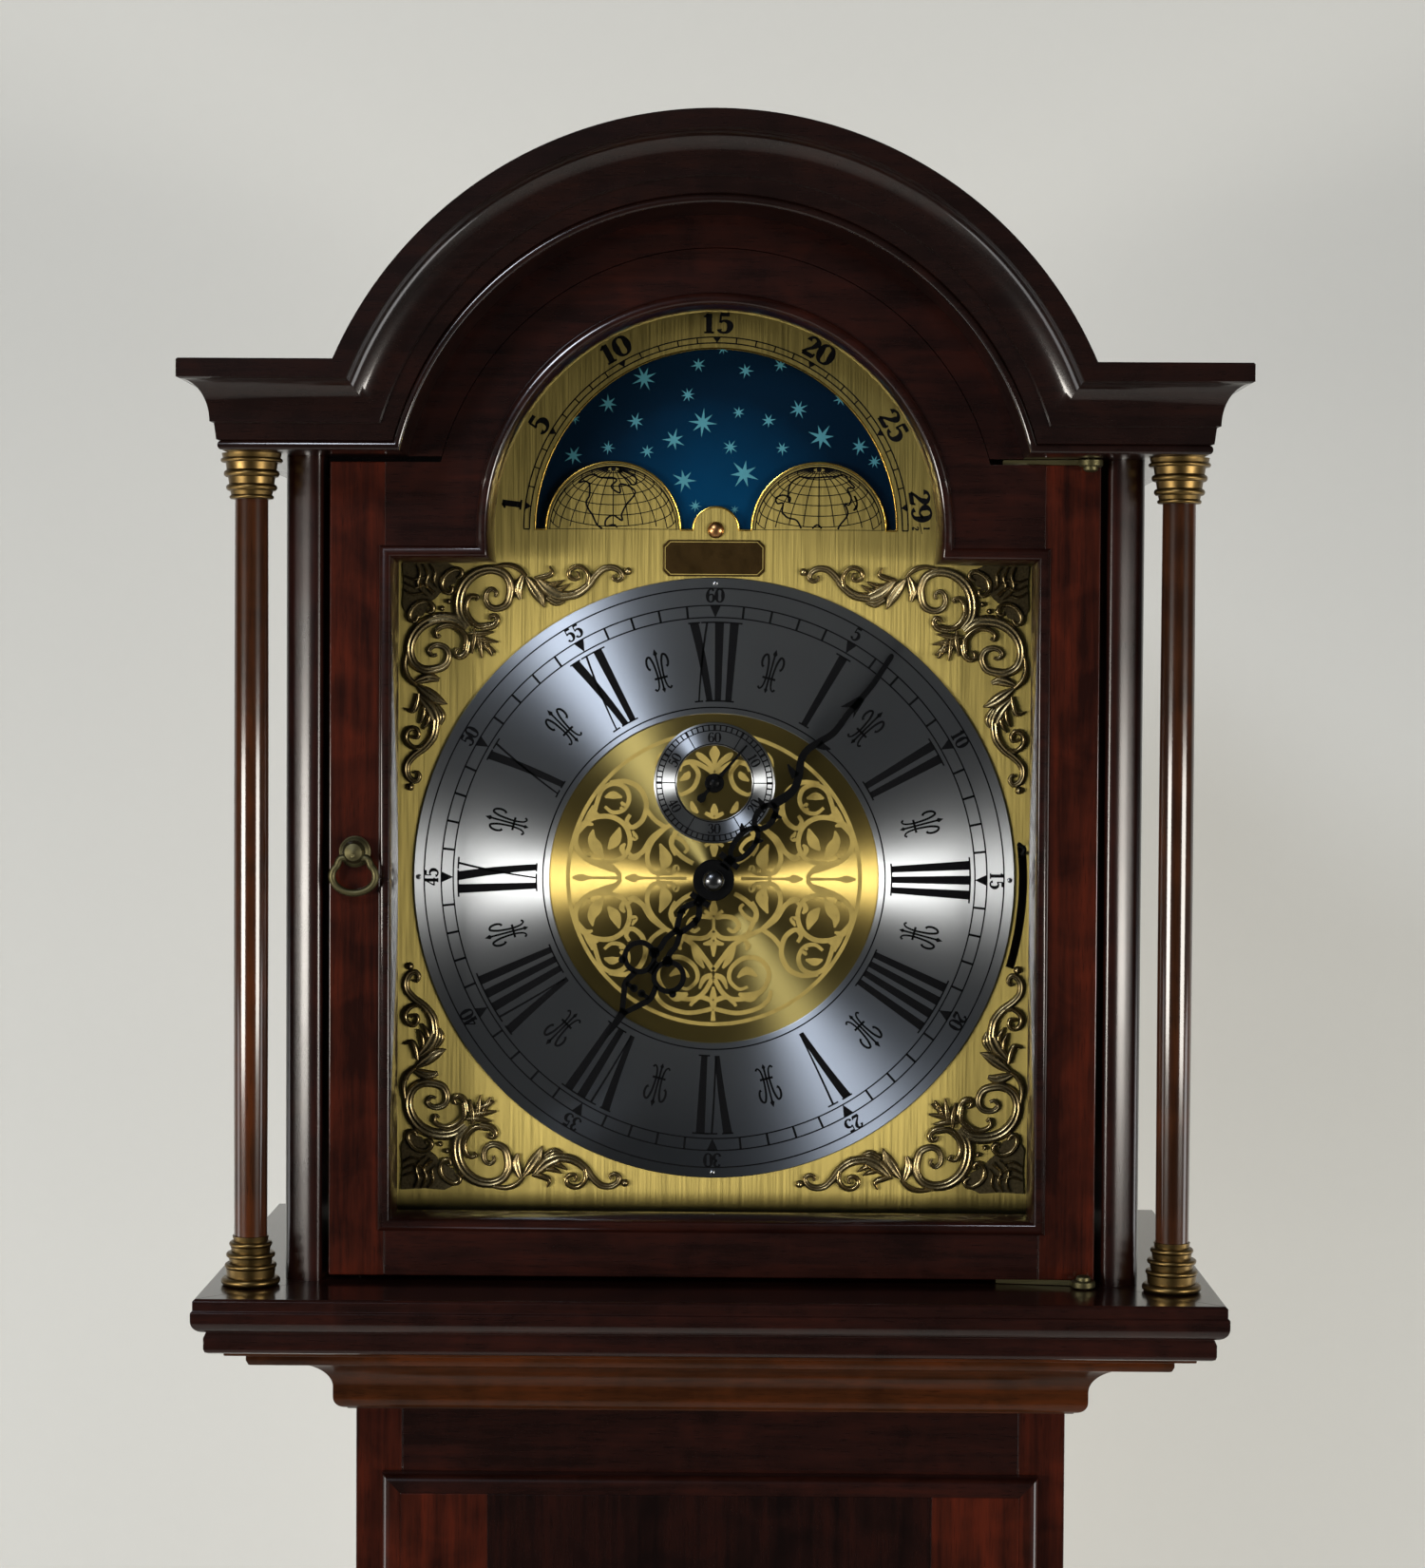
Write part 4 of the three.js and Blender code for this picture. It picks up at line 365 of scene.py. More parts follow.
def finish_piece(name, shape, finish, body, stands_for=(), crease=32.0, bevel=0.0):
    """Turns a shape into a mesh piece that rides on a body of the solid model."""
    mesh = bpy.data.meshes.new(name)
    mesh.from_pydata([at(*v) for v in shape.verts], [], shape.faces)
    build = bmesh.new()
    build.from_mesh(mesh)
    bmesh.ops.remove_doubles(build, verts=build.verts, dist=1e-6)
    bmesh.ops.recalc_face_normals(build, faces=build.faces)
    for face in build.faces:
        face.smooth = True
    for edge in build.edges:
        edge.smooth = len(edge.link_faces) == 2 and edge.calc_face_angle(4.0) < math.radians(crease)
    build.to_mesh(mesh)
    build.free()
    mesh.materials.append(finishes()[finish])
    piece = bpy.data.objects.new(name, mesh)
    bpy.context.scene.collection.objects.link(piece)
    if bevel:
        rounding = piece.modifiers.new("eased edges", "BEVEL")
        rounding.width = bevel
        rounding.segments = 3
        rounding.limit_method = "ANGLE"
        rounding.angle_limit = math.radians(40)
        rounding.harden_normals = True
    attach(piece, body)
    if stands_for:
        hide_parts(*stands_for)
    return piece


def dress(finish, *nodes):
    """Gives nodes of the solid model a finish."""
    for node in nodes:
        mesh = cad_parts[node].data
        mesh.materials.clear()
        mesh.materials.append(finishes()[finish])


# Materials


def feed(node, inputs):
    """Fills a node's inputs: a node or a socket is linked, anything else is a value."""
    for key, value in inputs.items():
        if isinstance(value, bpy.types.Node):
            value = next(socket for socket in value.outputs if socket.enabled)
        if isinstance(value, bpy.types.NodeSocket):
            node.id_data.links.new(value, node.inputs[key])
        else:
            node.inputs[key].default_value = value


def add(tree, kind, inputs=None, **settings):
    """Adds a shader node with its settings and links."""
    node = tree.nodes.new(kind)
    for key, value in settings.items():
        setattr(node, key, value)
    feed(node, inputs or {})
    return node


def surface(name):
    """A new material, its node tree and the object's own coordinates, in metres."""
    made = bpy.data.materials.new(name)
    made.use_nodes = True
    return made, made.node_tree, add(made.node_tree, "ShaderNodeTexCoord").outputs["Object"]


def painted(made, **inputs):
    """Fills a material's shader; an underscore stands for a space in a socket's name."""
    shader = made.node_tree.nodes["Principled BSDF"]
    feed(shader, {key.replace("_", " "): value for key, value in inputs.items()})
    return made


def shade(colour, factor):
    """A colour made lighter or darker."""
    return tuple(min(1.0, c * factor) for c in colour[:3]) + (1.0,)


def mahogany(name, colour, grain, polish, contrast=1.0, coat=0.7):
    """Mahogany under French polish. Broad ribbon figure and fine dark pores run along the grain, under a hard
    thin gloss that gives the eye deep colour with sharp window-like highlights."""
    made, tree, place = surface(name)
    along = {"X": (0.07, 1.0, 1.0), "Z": (1.0, 1.0, 0.05), "Y": (1.0, 0.06, 1.0)}[grain]
    stretch = add(tree, "ShaderNodeVectorMath", {0: place, 1: along}, operation="MULTIPLY")
    # Ribbon figure about 14 mm wide, then streaks about 2.5 mm wide.
    ribbon = add(tree, "ShaderNodeTexNoise", {"Vector": stretch, "Scale": 70, "Detail": 3, "Distortion": 0.9})
    streak = add(tree, "ShaderNodeTexNoise", {"Vector": stretch, "Scale": 400, "Detail": 4, "Roughness": 0.6})
    figure = add(tree, "ShaderNodeMix", {"Factor": 0.42, "A": ribbon, "B": streak})
    # Mottle about 25 mm across, where the grain dips under the surface.
    mottle = add(tree, "ShaderNodeTexNoise", {"Vector": place, "Scale": 40, "Detail": 3, "Distortion": 0.8})
    figure = add(tree, "ShaderNodeMix", {"Factor": 0.34, "A": figure, "B": mottle})
    ramp = add(tree, "ShaderNodeValToRGB", {"Fac": figure})
    dark, light = ramp.color_ramp.elements
    dark.position, dark.color = 0.4, shade(colour, 1 - 0.5 * contrast)
    red, green, blue = shade(colour, 1 + 0.75 * contrast)[:3]
    light.position, light.color = 0.62, (red, green * 0.85, blue * 0.75, 1.0)
    ramp.color_ramp.elements.new(0.5).color = colour
    # Pores are short dark dashes about 0.4 mm wide.
    pore = add(tree, "ShaderNodeTexNoise", {"Vector": stretch, "Scale": 2200, "Detail": 1})
    dash = add(tree, "ShaderNodeMapRange", {"Value": pore, "From Min": 0.6, "From Max": 0.72, "To Max": 0.55})
    wood = add(tree, "ShaderNodeMix", {"Factor": dash, "A": ramp, "B": shade(colour, 0.25)}, data_type="RGBA")
    # Wax and handling leave the gloss slightly uneven over hand-sized areas.
    worn = add(tree, "ShaderNodeTexNoise", {"Vector": place, "Scale": 22, "Detail": 2})
    gloss = {
        "Value": worn, "From Min": 0.3, "From Max": 0.7, "To Min": polish * 0.88, "To Max": polish * 1.15
    }
    relief = add(tree, "ShaderNodeBump", {"Strength": 0.06, "Distance": 0.0002, "Height": streak})
    painted(made, Roughness=0.28, Coat_Weight=coat, Coat_Roughness=polish, Specular_IOR_Level=0.08)
    return painted(
        made, Base_Color=wood, Coat_Roughness=add(tree, "ShaderNodeMapRange", gloss), Normal=relief
    )


def from_axis(tree, place, height):
    """Distance from the dial's axis at a height, in metres, for turned and spun marks."""
    offset = add(tree, "ShaderNodeVectorMath", {0: place, 1: (0, 0, height / 1000)}, operation="SUBTRACT")
    flat = add(tree, "ShaderNodeVectorMath", {0: offset, 1: (1, 0, 1)}, operation="MULTIPLY")
    return add(tree, "ShaderNodeVectorMath", {0: flat}, operation="LENGTH")


def spun_metal(name, colour, roughness, height):
    """Metal spun on a lathe and lacquered. Hair-fine circles spread each light into a bright fan
    either side of the centre, as on a record."""
    made, tree, place = surface(name)
    tangent = add(tree, "ShaderNodeTangent", direction_type="RADIAL", axis="Y")
    # Turning marks 0.25 mm apart.
    marks = add(
        tree,
        "ShaderNodeTexNoise",
        {"W": from_axis(tree, place, height), "Scale": 4000},
        noise_dimensions="1D",
    )
    spread = add(
        tree, "ShaderNodeMapRange", {"Value": marks, "To Min": roughness * 0.75, "To Max": roughness * 1.3}
    )
    relief = add(tree, "ShaderNodeBump", {"Strength": 0.05, "Distance": 0.00005, "Height": marks})
    painted(
        made, Base_Color=colour, Metallic=1.0, Anisotropic=1.0, Anisotropic_Rotation=0.25, Tangent=tangent
    )
    return painted(made, Roughness=spread, Normal=relief)


def satin_brass(name, colour, roughness=0.36):
    """Brass sheet drawn upright over emery and lacquered. Fine lines along the stroke break the sheen
    into soft upright streaks."""
    made, tree, place = surface(name)
    # The sheen spreads across the drawn lines.
    tangent = add(tree, "ShaderNodeTangent", direction_type="RADIAL", axis="Z")
    drawn = add(tree, "ShaderNodeVectorMath", {0: place, 1: (1.0, 1.0, 0.012)}, operation="MULTIPLY")
    # Scratches 0.4 mm apart, coarser than emery's so that they show.
    lines = add(tree, "ShaderNodeTexNoise", {"Vector": drawn, "Scale": 2500, "Detail": 3})
    cloud = add(tree, "ShaderNodeTexNoise", {"Vector": place, "Scale": 18, "Detail": 3})
    tone = add(
        tree,
        "ShaderNodeMix",
        {"Factor": cloud, "A": shade(colour, 0.9), "B": shade(colour, 1.06)},
        data_type="RGBA",
    )
    spread = {
        "Value": lines, "From Min": 0.3, "From Max": 0.7, "To Min": roughness * 0.8,
        "To Max": roughness * 1.25,
    }
    relief = add(tree, "ShaderNodeBump", {"Strength": 0.045, "Distance": 0.0001, "Height": lines})
    painted(made, Metallic=1.0, Anisotropic=0.85, Tangent=tangent)
    return painted(made, Base_Color=tone, Roughness=add(tree, "ShaderNodeMapRange", spread), Normal=relief)


def cast_brass(name, crest, hollow, front, back):
    """Sand-cast brass, toned dark and rubbed bright. Crests shine where the cloth reached, and the
    hollows keep a brown-black tone that draws the carving."""
    made, tree, place = surface(name)
    depth = add(tree, "ShaderNodeSeparateXYZ", {"Vector": place}).outputs["Y"]
    # Sand grit about 1 mm across.
    grit = add(tree, "ShaderNodeTexNoise", {"Vector": place, "Scale": 900, "Detail": 3})
    reach = {"Value": depth, "From Min": (FRONT + back) / 1000, "From Max": (FRONT + front) / 1000}
    rubbed = add(tree, "ShaderNodeMapRange", reach)
    uneven = add(tree, "ShaderNodeMath", {0: grit, 1: 0.5, 2: rubbed}, operation="MULTIPLY_ADD")
    bright = add(tree, "ShaderNodeMapRange", {"Value": uneven, "From Min": 0.45, "From Max": 1.15})
    tone = add(tree, "ShaderNodeMix", {"Factor": bright, "A": hollow, "B": crest}, data_type="RGBA")
    dull = add(tree, "ShaderNodeMapRange", {"Value": bright, "To Min": 0.6, "To Max": 0.26})
    relief = add(tree, "ShaderNodeBump", {"Strength": 0.25, "Distance": 0.0002, "Height": grit})
    return painted(made, Metallic=1.0, Base_Color=tone, Roughness=dull, Normal=relief)


def worn_metal(name, colour, roughness, blotch=0.35):
    """Handled metal left to dull. Small clouds of tarnish vary both colour and shine."""
    made, tree, place = surface(name)
    # Clouds of tarnish about 6 mm across over a fine tooth.
    cloud = add(tree, "ShaderNodeTexNoise", {"Vector": place, "Scale": 160, "Detail": 5, "Roughness": 0.65})
    tones = {"Factor": cloud, "A": shade(colour, 1 - blotch), "B": shade(colour, 1 + blotch)}
    spread = add(
        tree, "ShaderNodeMapRange", {"Value": cloud, "To Min": roughness * 1.4, "To Max": roughness * 0.6}
    )
    return painted(
        made, Metallic=1.0, Base_Color=add(tree, "ShaderNodeMix", tones, data_type="RGBA"), Roughness=spread
    )


def enamel(name, colour, roughness, uneven=0.2, gleam=0.5):
    """Paint, lacquer or wax filling. Slight unevenness of tone keeps a flat colour from looking printed."""
    made, tree, place = surface(name)
    # Clouds about 8 mm across.
    cloud = add(tree, "ShaderNodeTexNoise", {"Vector": place, "Scale": 120, "Detail": 4})
    tones = {"Factor": cloud, "A": shade(colour, 1 - uneven), "B": shade(colour, 1 + uneven)}
    tone = add(tree, "ShaderNodeMix", tones, data_type="RGBA")
    return painted(made, Base_Color=tone, Roughness=roughness, Specular_IOR_Level=gleam)


def night_lacquer(name, colour, glow, height):
    """Blue lacquer sprayed over brass, lighter towards the disc's foot, where it gives a misty horizon."""
    made, tree, place = surface(name)
    reach = from_axis(tree, place, height)
    # Clouds about 17 mm across.
    cloud = add(tree, "ShaderNodeTexNoise", {"Vector": place, "Scale": 60, "Detail": 4})
    mist = add(tree, "ShaderNodeMath", {0: cloud, 1: 0.012, 2: reach}, operation="MULTIPLY_ADD")
    share = add(tree, "ShaderNodeMapRange", {"Value": mist, "From Min": 0.065, "From Max": 0.022})
    tone = add(tree, "ShaderNodeMix", {"Factor": share, "A": colour, "B": glow}, data_type="RGBA")
    return painted(made, Base_Color=tone, Roughness=0.4, Specular_IOR_Level=0.03)


def window_glass(name):
    """Thin drawn glass. Nearly clear, with a faint green body and a soft surface reflection."""
    made, tree, place = surface(name)
    # Drawn glass is never quite flat: swells about 60 mm apart.
    swell = add(tree, "ShaderNodeTexNoise", {"Vector": place, "Scale": 16, "Detail": 1})
    relief = add(tree, "ShaderNodeBump", {"Strength": 0.04, "Distance": 0.001, "Height": swell})
    return painted(made, Base_Color=linear("#0a0d0c"), Roughness=0.03, Alpha=0.05, Normal=relief)


def woods():
    """The mahogany of the case by part and by grain."""
    values = case_values()
    stile, rail, cornice, cove, polish = values.stile, values.rail, values.cornice, values.cove, values.polish
    ebonised = {"contrast": 0.7}
    soft = {"coat": 0.25}
    return {
        "stile": mahogany("mahogany stile, French polished", stile, "Z", polish, 1.3),
        "shaft": mahogany("brown mahogany shaft, French polished", cove, "Z", polish),
        "cheek": mahogany("mahogany cheek, wax polished", rail, "Z", 0.2),
        "rail": mahogany("mahogany rail, French polished", rail, "X", polish),
        "upright": mahogany("dark mahogany upright, French polished", rail, "Z", polish),
        "rail side": mahogany("mahogany side rail, French polished", rail, "Y", polish),
        "cornice": mahogany("ebonised mahogany cornice, French polished", cornice, "X", polish, **ebonised),
        "cornice side": mahogany(
            "ebonised mahogany return, French polished", cornice, "Y", polish, **ebonised
        ),
        "cove": mahogany("brown mahogany cove, French polished", cove, "X", polish, **soft),
        "cove side": mahogany("brown mahogany cove return, French polished", cove, "Y", polish, **soft),
        "panel": mahogany("mahogany panel, French polished", shade(rail, 0.6), "Z", polish, 1.2),
        "carcass": mahogany("secondary timber, planed", values.carcass, "Z", 0.5),
    }


FINISH = {}


def finishes():
    """All materials by short name, made on first use."""
    if FINISH:
        return FINISH
    dial, metal = dial_values(), metal_values()
    made = {
        "dial": satin_brass("brass dial plate, drawn satin", dial.brass),
        "ring": spun_metal("silvered brass chapter ring, spun", dial.silver, 0.36, DIAL_Z),
        "seconds": spun_metal("silvered brass seconds ring, spun", dial.silver, 0.36, SECONDS_Z),
        "gold": spun_metal("gilt brass centre, spun bright", dial.gold, 0.36, DIAL_Z),
        "matte gold": worn_metal("gilt brass, matted by punch", shade(dial.gold, 1.5), 0.5, 0.12),
        "wax": enamel("black engraver's wax", dial.wax, 0.5, gleam=0.1),
        "night": night_lacquer("blue lacquer over brass", dial.night, linear("#02304f"), MOON_Z),
        "star": enamel("pale blue star paint", dial.star, 0.45, gleam=0.2),
        "moon": enamel("ivory moon paint", linear("#d9cfa8"), 0.4),
        "plate": worn_metal("bronzed brass nameplate", linear("#46351c"), 0.42, 0.2),
        "cast": cast_brass("cast brass, toned and relieved", metal.cast, metal.patina, DIAL_Y - 2.6, DIAL_Y),
        "aged": worn_metal("aged brass, unlacquered", metal.aged, 0.38),
        "bronze": worn_metal("oxidised bronze ring pull", linear("#4d4933"), 0.5),
        "hands": enamel("blackened steel hands", metal.hands, 0.4, gleam=0.08),
        "steel": worn_metal("bright steel", metal.steel, 0.28, 0.15),
        "nut": worn_metal("oil-blacked steel cap nut", shade(metal.steel, 0.3), 0.25, 0.1),
        "copper": worn_metal("copper rivet", metal.copper, 0.3, 0.15),
        "brass": worn_metal("polished brass movement", linear("#c8a54e"), 0.24, 0.1),
        "glass": window_glass("drawn window glass"),
    }
    FINISH.update(woods() | made)
    return FINISH


# Case


def wrap(name, profile, half, front, z, wood, body, node):
    """A moulding round the front and both sides with mitred corners: three lengths of one profile."""
    up = (0, 0, 1)
    corners = {
        "left": ((-half, BACK_Y, z), (-1, 0, 0), (-half, front, z), (-1, -1, 0)),
        "front": ((-half, front, z), (-1, -1, 0), (half, front, z), (1, -1, 0)),
        "right": ((half, front, z), (1, -1, 0), (half, BACK_Y, z), (1, 0, 0)),
    }
    for part, (start, start_out, end, end_out) in corners.items():
        shape = Shape().carried(profile, [(start, start_out, up), (end, end_out, up)])
        finish, stands = (wood, (node,)) if part == "front" else (wood + " side", ())
        finish_piece(f"{name}_{part}", shape, finish, body, stands, bevel=case_values().edge)


def board(name, x0, x1, z0, z1, front, back, finish, body, stands_for=()):
    """A flat board seen from the front, with eased edges."""
    shape = Shape().slab([[(x0, z0), (x1, z0), (x1, z1), (x0, z1)]], front, back)
    finish_piece(name, shape, finish, body, stands_for, bevel=case_values().edge)


class CLOCK_OT_hood(bpy.types.Operator):
    """Builds the hood: base board, sides, arched cornice and the board behind it."""

    bl_idname = "clock.hood"
    bl_label = "Hood"

    def execute(self, context):
        drop = 23.4
        base = [
            (-60, -drop), (-6.4, -drop), (-5.2, -drop + 0.6), (-4.7, -drop + 2), (-4.7, -drop + 6.6),
            (-5.6, -drop + 8.7), *quarter(-5.6, -9, 5.6, 5.4, -90, 0), (0, -5.6), (-0.8, -5), (-0.8, -1),
            (-1.8, 0), (-60, 0),
        ]
        wrap("hood_board", base, BOARD_HALF, 0, BOARD_TOP, "rail", "hood", "hood_base_frame")
        for side, name in SIDES:
            middle = side * 173
            # The front edge is rounded and splayed outward.
            edge = [
                (8, 3), (7.9, 0.6), (7.2, -1.2), (5.6, -1.9), (3.4, -1.9), (1, -1.35), (-2, -0.35), (-5, 0.75)
            ]
            edge = eased([*edge, (-6.8, 2.2), (-7.8, 4.6), (-8, 8)], 4)
            plan = [(middle - side * u, DOOR_Y + depth) for u, depth in edge]
            plan = [(middle - side * 8, BACK_Y), *plan, (middle + side * 8, BACK_Y)]
            shape = Shape().upright(plan, (BOARD_TOP + CLEAR, CORNICE_Z - CLEAR))
            finish_piece(f"hood_cheek_{name}", shape, "cheek", "hood", (f"hood_side_{name}",))
        # A strip behind the door's shoulder keeps light out of the hood.
        low, high = CORNICE_Z - 8.5, CORNICE_Z + 1.5
        board("hood_dust_strip", -164.8, -108, low, high, 62.6, 67, "upright", "hood")
        self.cornice()
        self.arch_board()
        dress("upright", "hood_roof")
        return {"FINISHED"}

    def cornice(self):
        """Crown moulding: bead, flat, big cove and top fillet, along the sides and over the arch."""
        height, depth, half, inner = CORNICE_HEIGHT, 35.3, 203, 133
        profile = [
            (-depth, 0), (-0.6, 0), *quarter(-0.6, 1.8, 1.4, 1.8, -90, 80, 8), (0.1, 3.7), (1.2, 4),
            (2, 10.6), (3.6, 11.2), *quarter(14.2, 11.2, -10.6, 16.6, 4, 90, 16), (15.4, 28.4),
            (15.4, height - 0.6), (14.8, height), (-depth, height),
        ]
        front = DOOR_Y - CLEAR - depth
        outer = inner + height
        low = foot_angle(inner, CORNICE_Z - ARCH_Z)
        high = foot_angle(outer, CORNICE_Z + height - ARCH_Z)
        up = (0, 0, 1)
        steps = 96
        arch = [((-half, front, CORNICE_Z), (-1, -1, 0), up)]
        for i in range(steps + 1):
            share = i / steps
            foot = math.radians(180 - low + (2 * low - 180) * share)
            top = math.radians(180 - high + (2 * high - 180) * share)
            point = (inner * math.cos(foot), front, ARCH_Z + inner * math.sin(foot))
            rise_x = (outer * math.cos(top) - point[0]) / height
            rise_z = (ARCH_Z + outer * math.sin(top) - point[2]) / height
            arch.append((point, (0, -1, 0), (rise_x, 0, rise_z)))
        arch.append(((half, front, CORNICE_Z), (1, -1, 0), up))
        shape = Shape().carried(profile, arch)
        finish_piece("cornice_front", shape, "cornice", "hood", ("hood_cornice",), crease=28)
        for side, name in SIDES:
            ends = [
                ((side * half, front, CORNICE_Z), (side, -1, 0), up),
                ((side * half, BACK_Y, CORNICE_Z), (side, 0, 0), up),
            ]
            shape = Shape().carried(profile, ends)
            finish_piece(f"cornice_{name}", shape, "cornice side", "hood", crease=28)

    def arch_board(self):
        """Board that closes the hood's front between the cornice and the door."""
        half, radius, hole = 167.68, 160, 119.3
        low = foot_angle(hole, CORNICE_Z - ARCH_Z)
        high = foot_angle(radius, CORNICE_Z + CORNICE_HEIGHT - ARCH_Z)
        loop = [
            (-half, CORNICE_Z), *arc(0, ARCH_Z, hole, 180 - low, low, 72), (half, CORNICE_Z),
            (half, CORNICE_Z + CORNICE_HEIGHT), *arc(0, ARCH_Z, radius, high, 180 - high, 72),
            (-half, CORNICE_Z + CORNICE_HEIGHT),
        ]
        shape = Shape().slab([loop], DOOR_Y, DOOR_Y + 16)
        finish_piece("arch_board", shape, "rail", "hood", ("hood_front_board",))


class CLOCK_OT_columns(bpy.types.Operator):
    """Builds the two free columns with brass caps and bases."""

    bl_idname = "clock.columns"
    bl_label = "Columns"

    def execute(self, context):
        caps = [(9.2, 8.7, 0.18), (10.6, 9.6, 0.3), (11.6, 10.6, 0.32), (12.9, 12.2, 0.2)]
        feet = [(12.4, 10.2, 0.34), (10.9, 9, 0.22), (10.3, 8.2, 0.22), (9, 7.4, 0.22)]
        for side, name in SIDES:
            x, depth = side * 193.5, 36
            low, high = BOARD_TOP + 20.8, CORNICE_Z - 19.1
            bulge = [(6.9 + 0.3 * math.sin(math.pi * i / 24), low + (high - low) * i / 24) for i in range(25)]
            shape = Shape().lathe([(AXIS, low), *bulge, (AXIS, high)], x, depth)
            node = (f"column_shaft_{name}",)
            finish_piece(f"shaft_{name}", shape, "shaft", "hood", node)
            for kind, beads, foot, height in (
                ("capital", caps, CORNICE_Z - 19.02, 19),
                ("base", feet, BOARD_TOP + CLEAR, 20.7),
            ):
                shape = Shape().lathe(self.turning(beads, foot, height), x, depth)
                finish_piece(f"{kind}_{name}", shape, "aged", "hood", (f"column_{kind}_{name}",))
        return {"FINISHED"}

    def turning(self, beads, foot, height):
        """Rounded beads with cut necks between, from bead radius, neck radius and share of the height."""
        points = [(AXIS, foot)]
        z = foot
        for bead, neck, share in beads:
            step = height * share
            r = step * 0.25
            points += quarter(bead - r, z + r, r, r, -90, 90, 10)
            points += [(neck - 0.2, z + 2 * r + 0.1), (neck + 0.2, z + step)]
            z += step
        return points + [(AXIS, foot + height)]


def opening(inset, steps=72):
    """Outline of the glazed opening, shrunk by an inset: square below, arched above."""
    half, low = OPENING_HALF - inset, OPENING_FOOT + inset
    shoulder, radius = BOARD_TOP + 308.5 - inset, 98 - inset
    foot = foot_angle(radius, shoulder - ARCH_Z)
    crown = arc(0, ARCH_Z, radius, foot, 180 - foot, steps)
    return [(half, low), (half, shoulder), *crown, (-half, shoulder), (-half, low)]


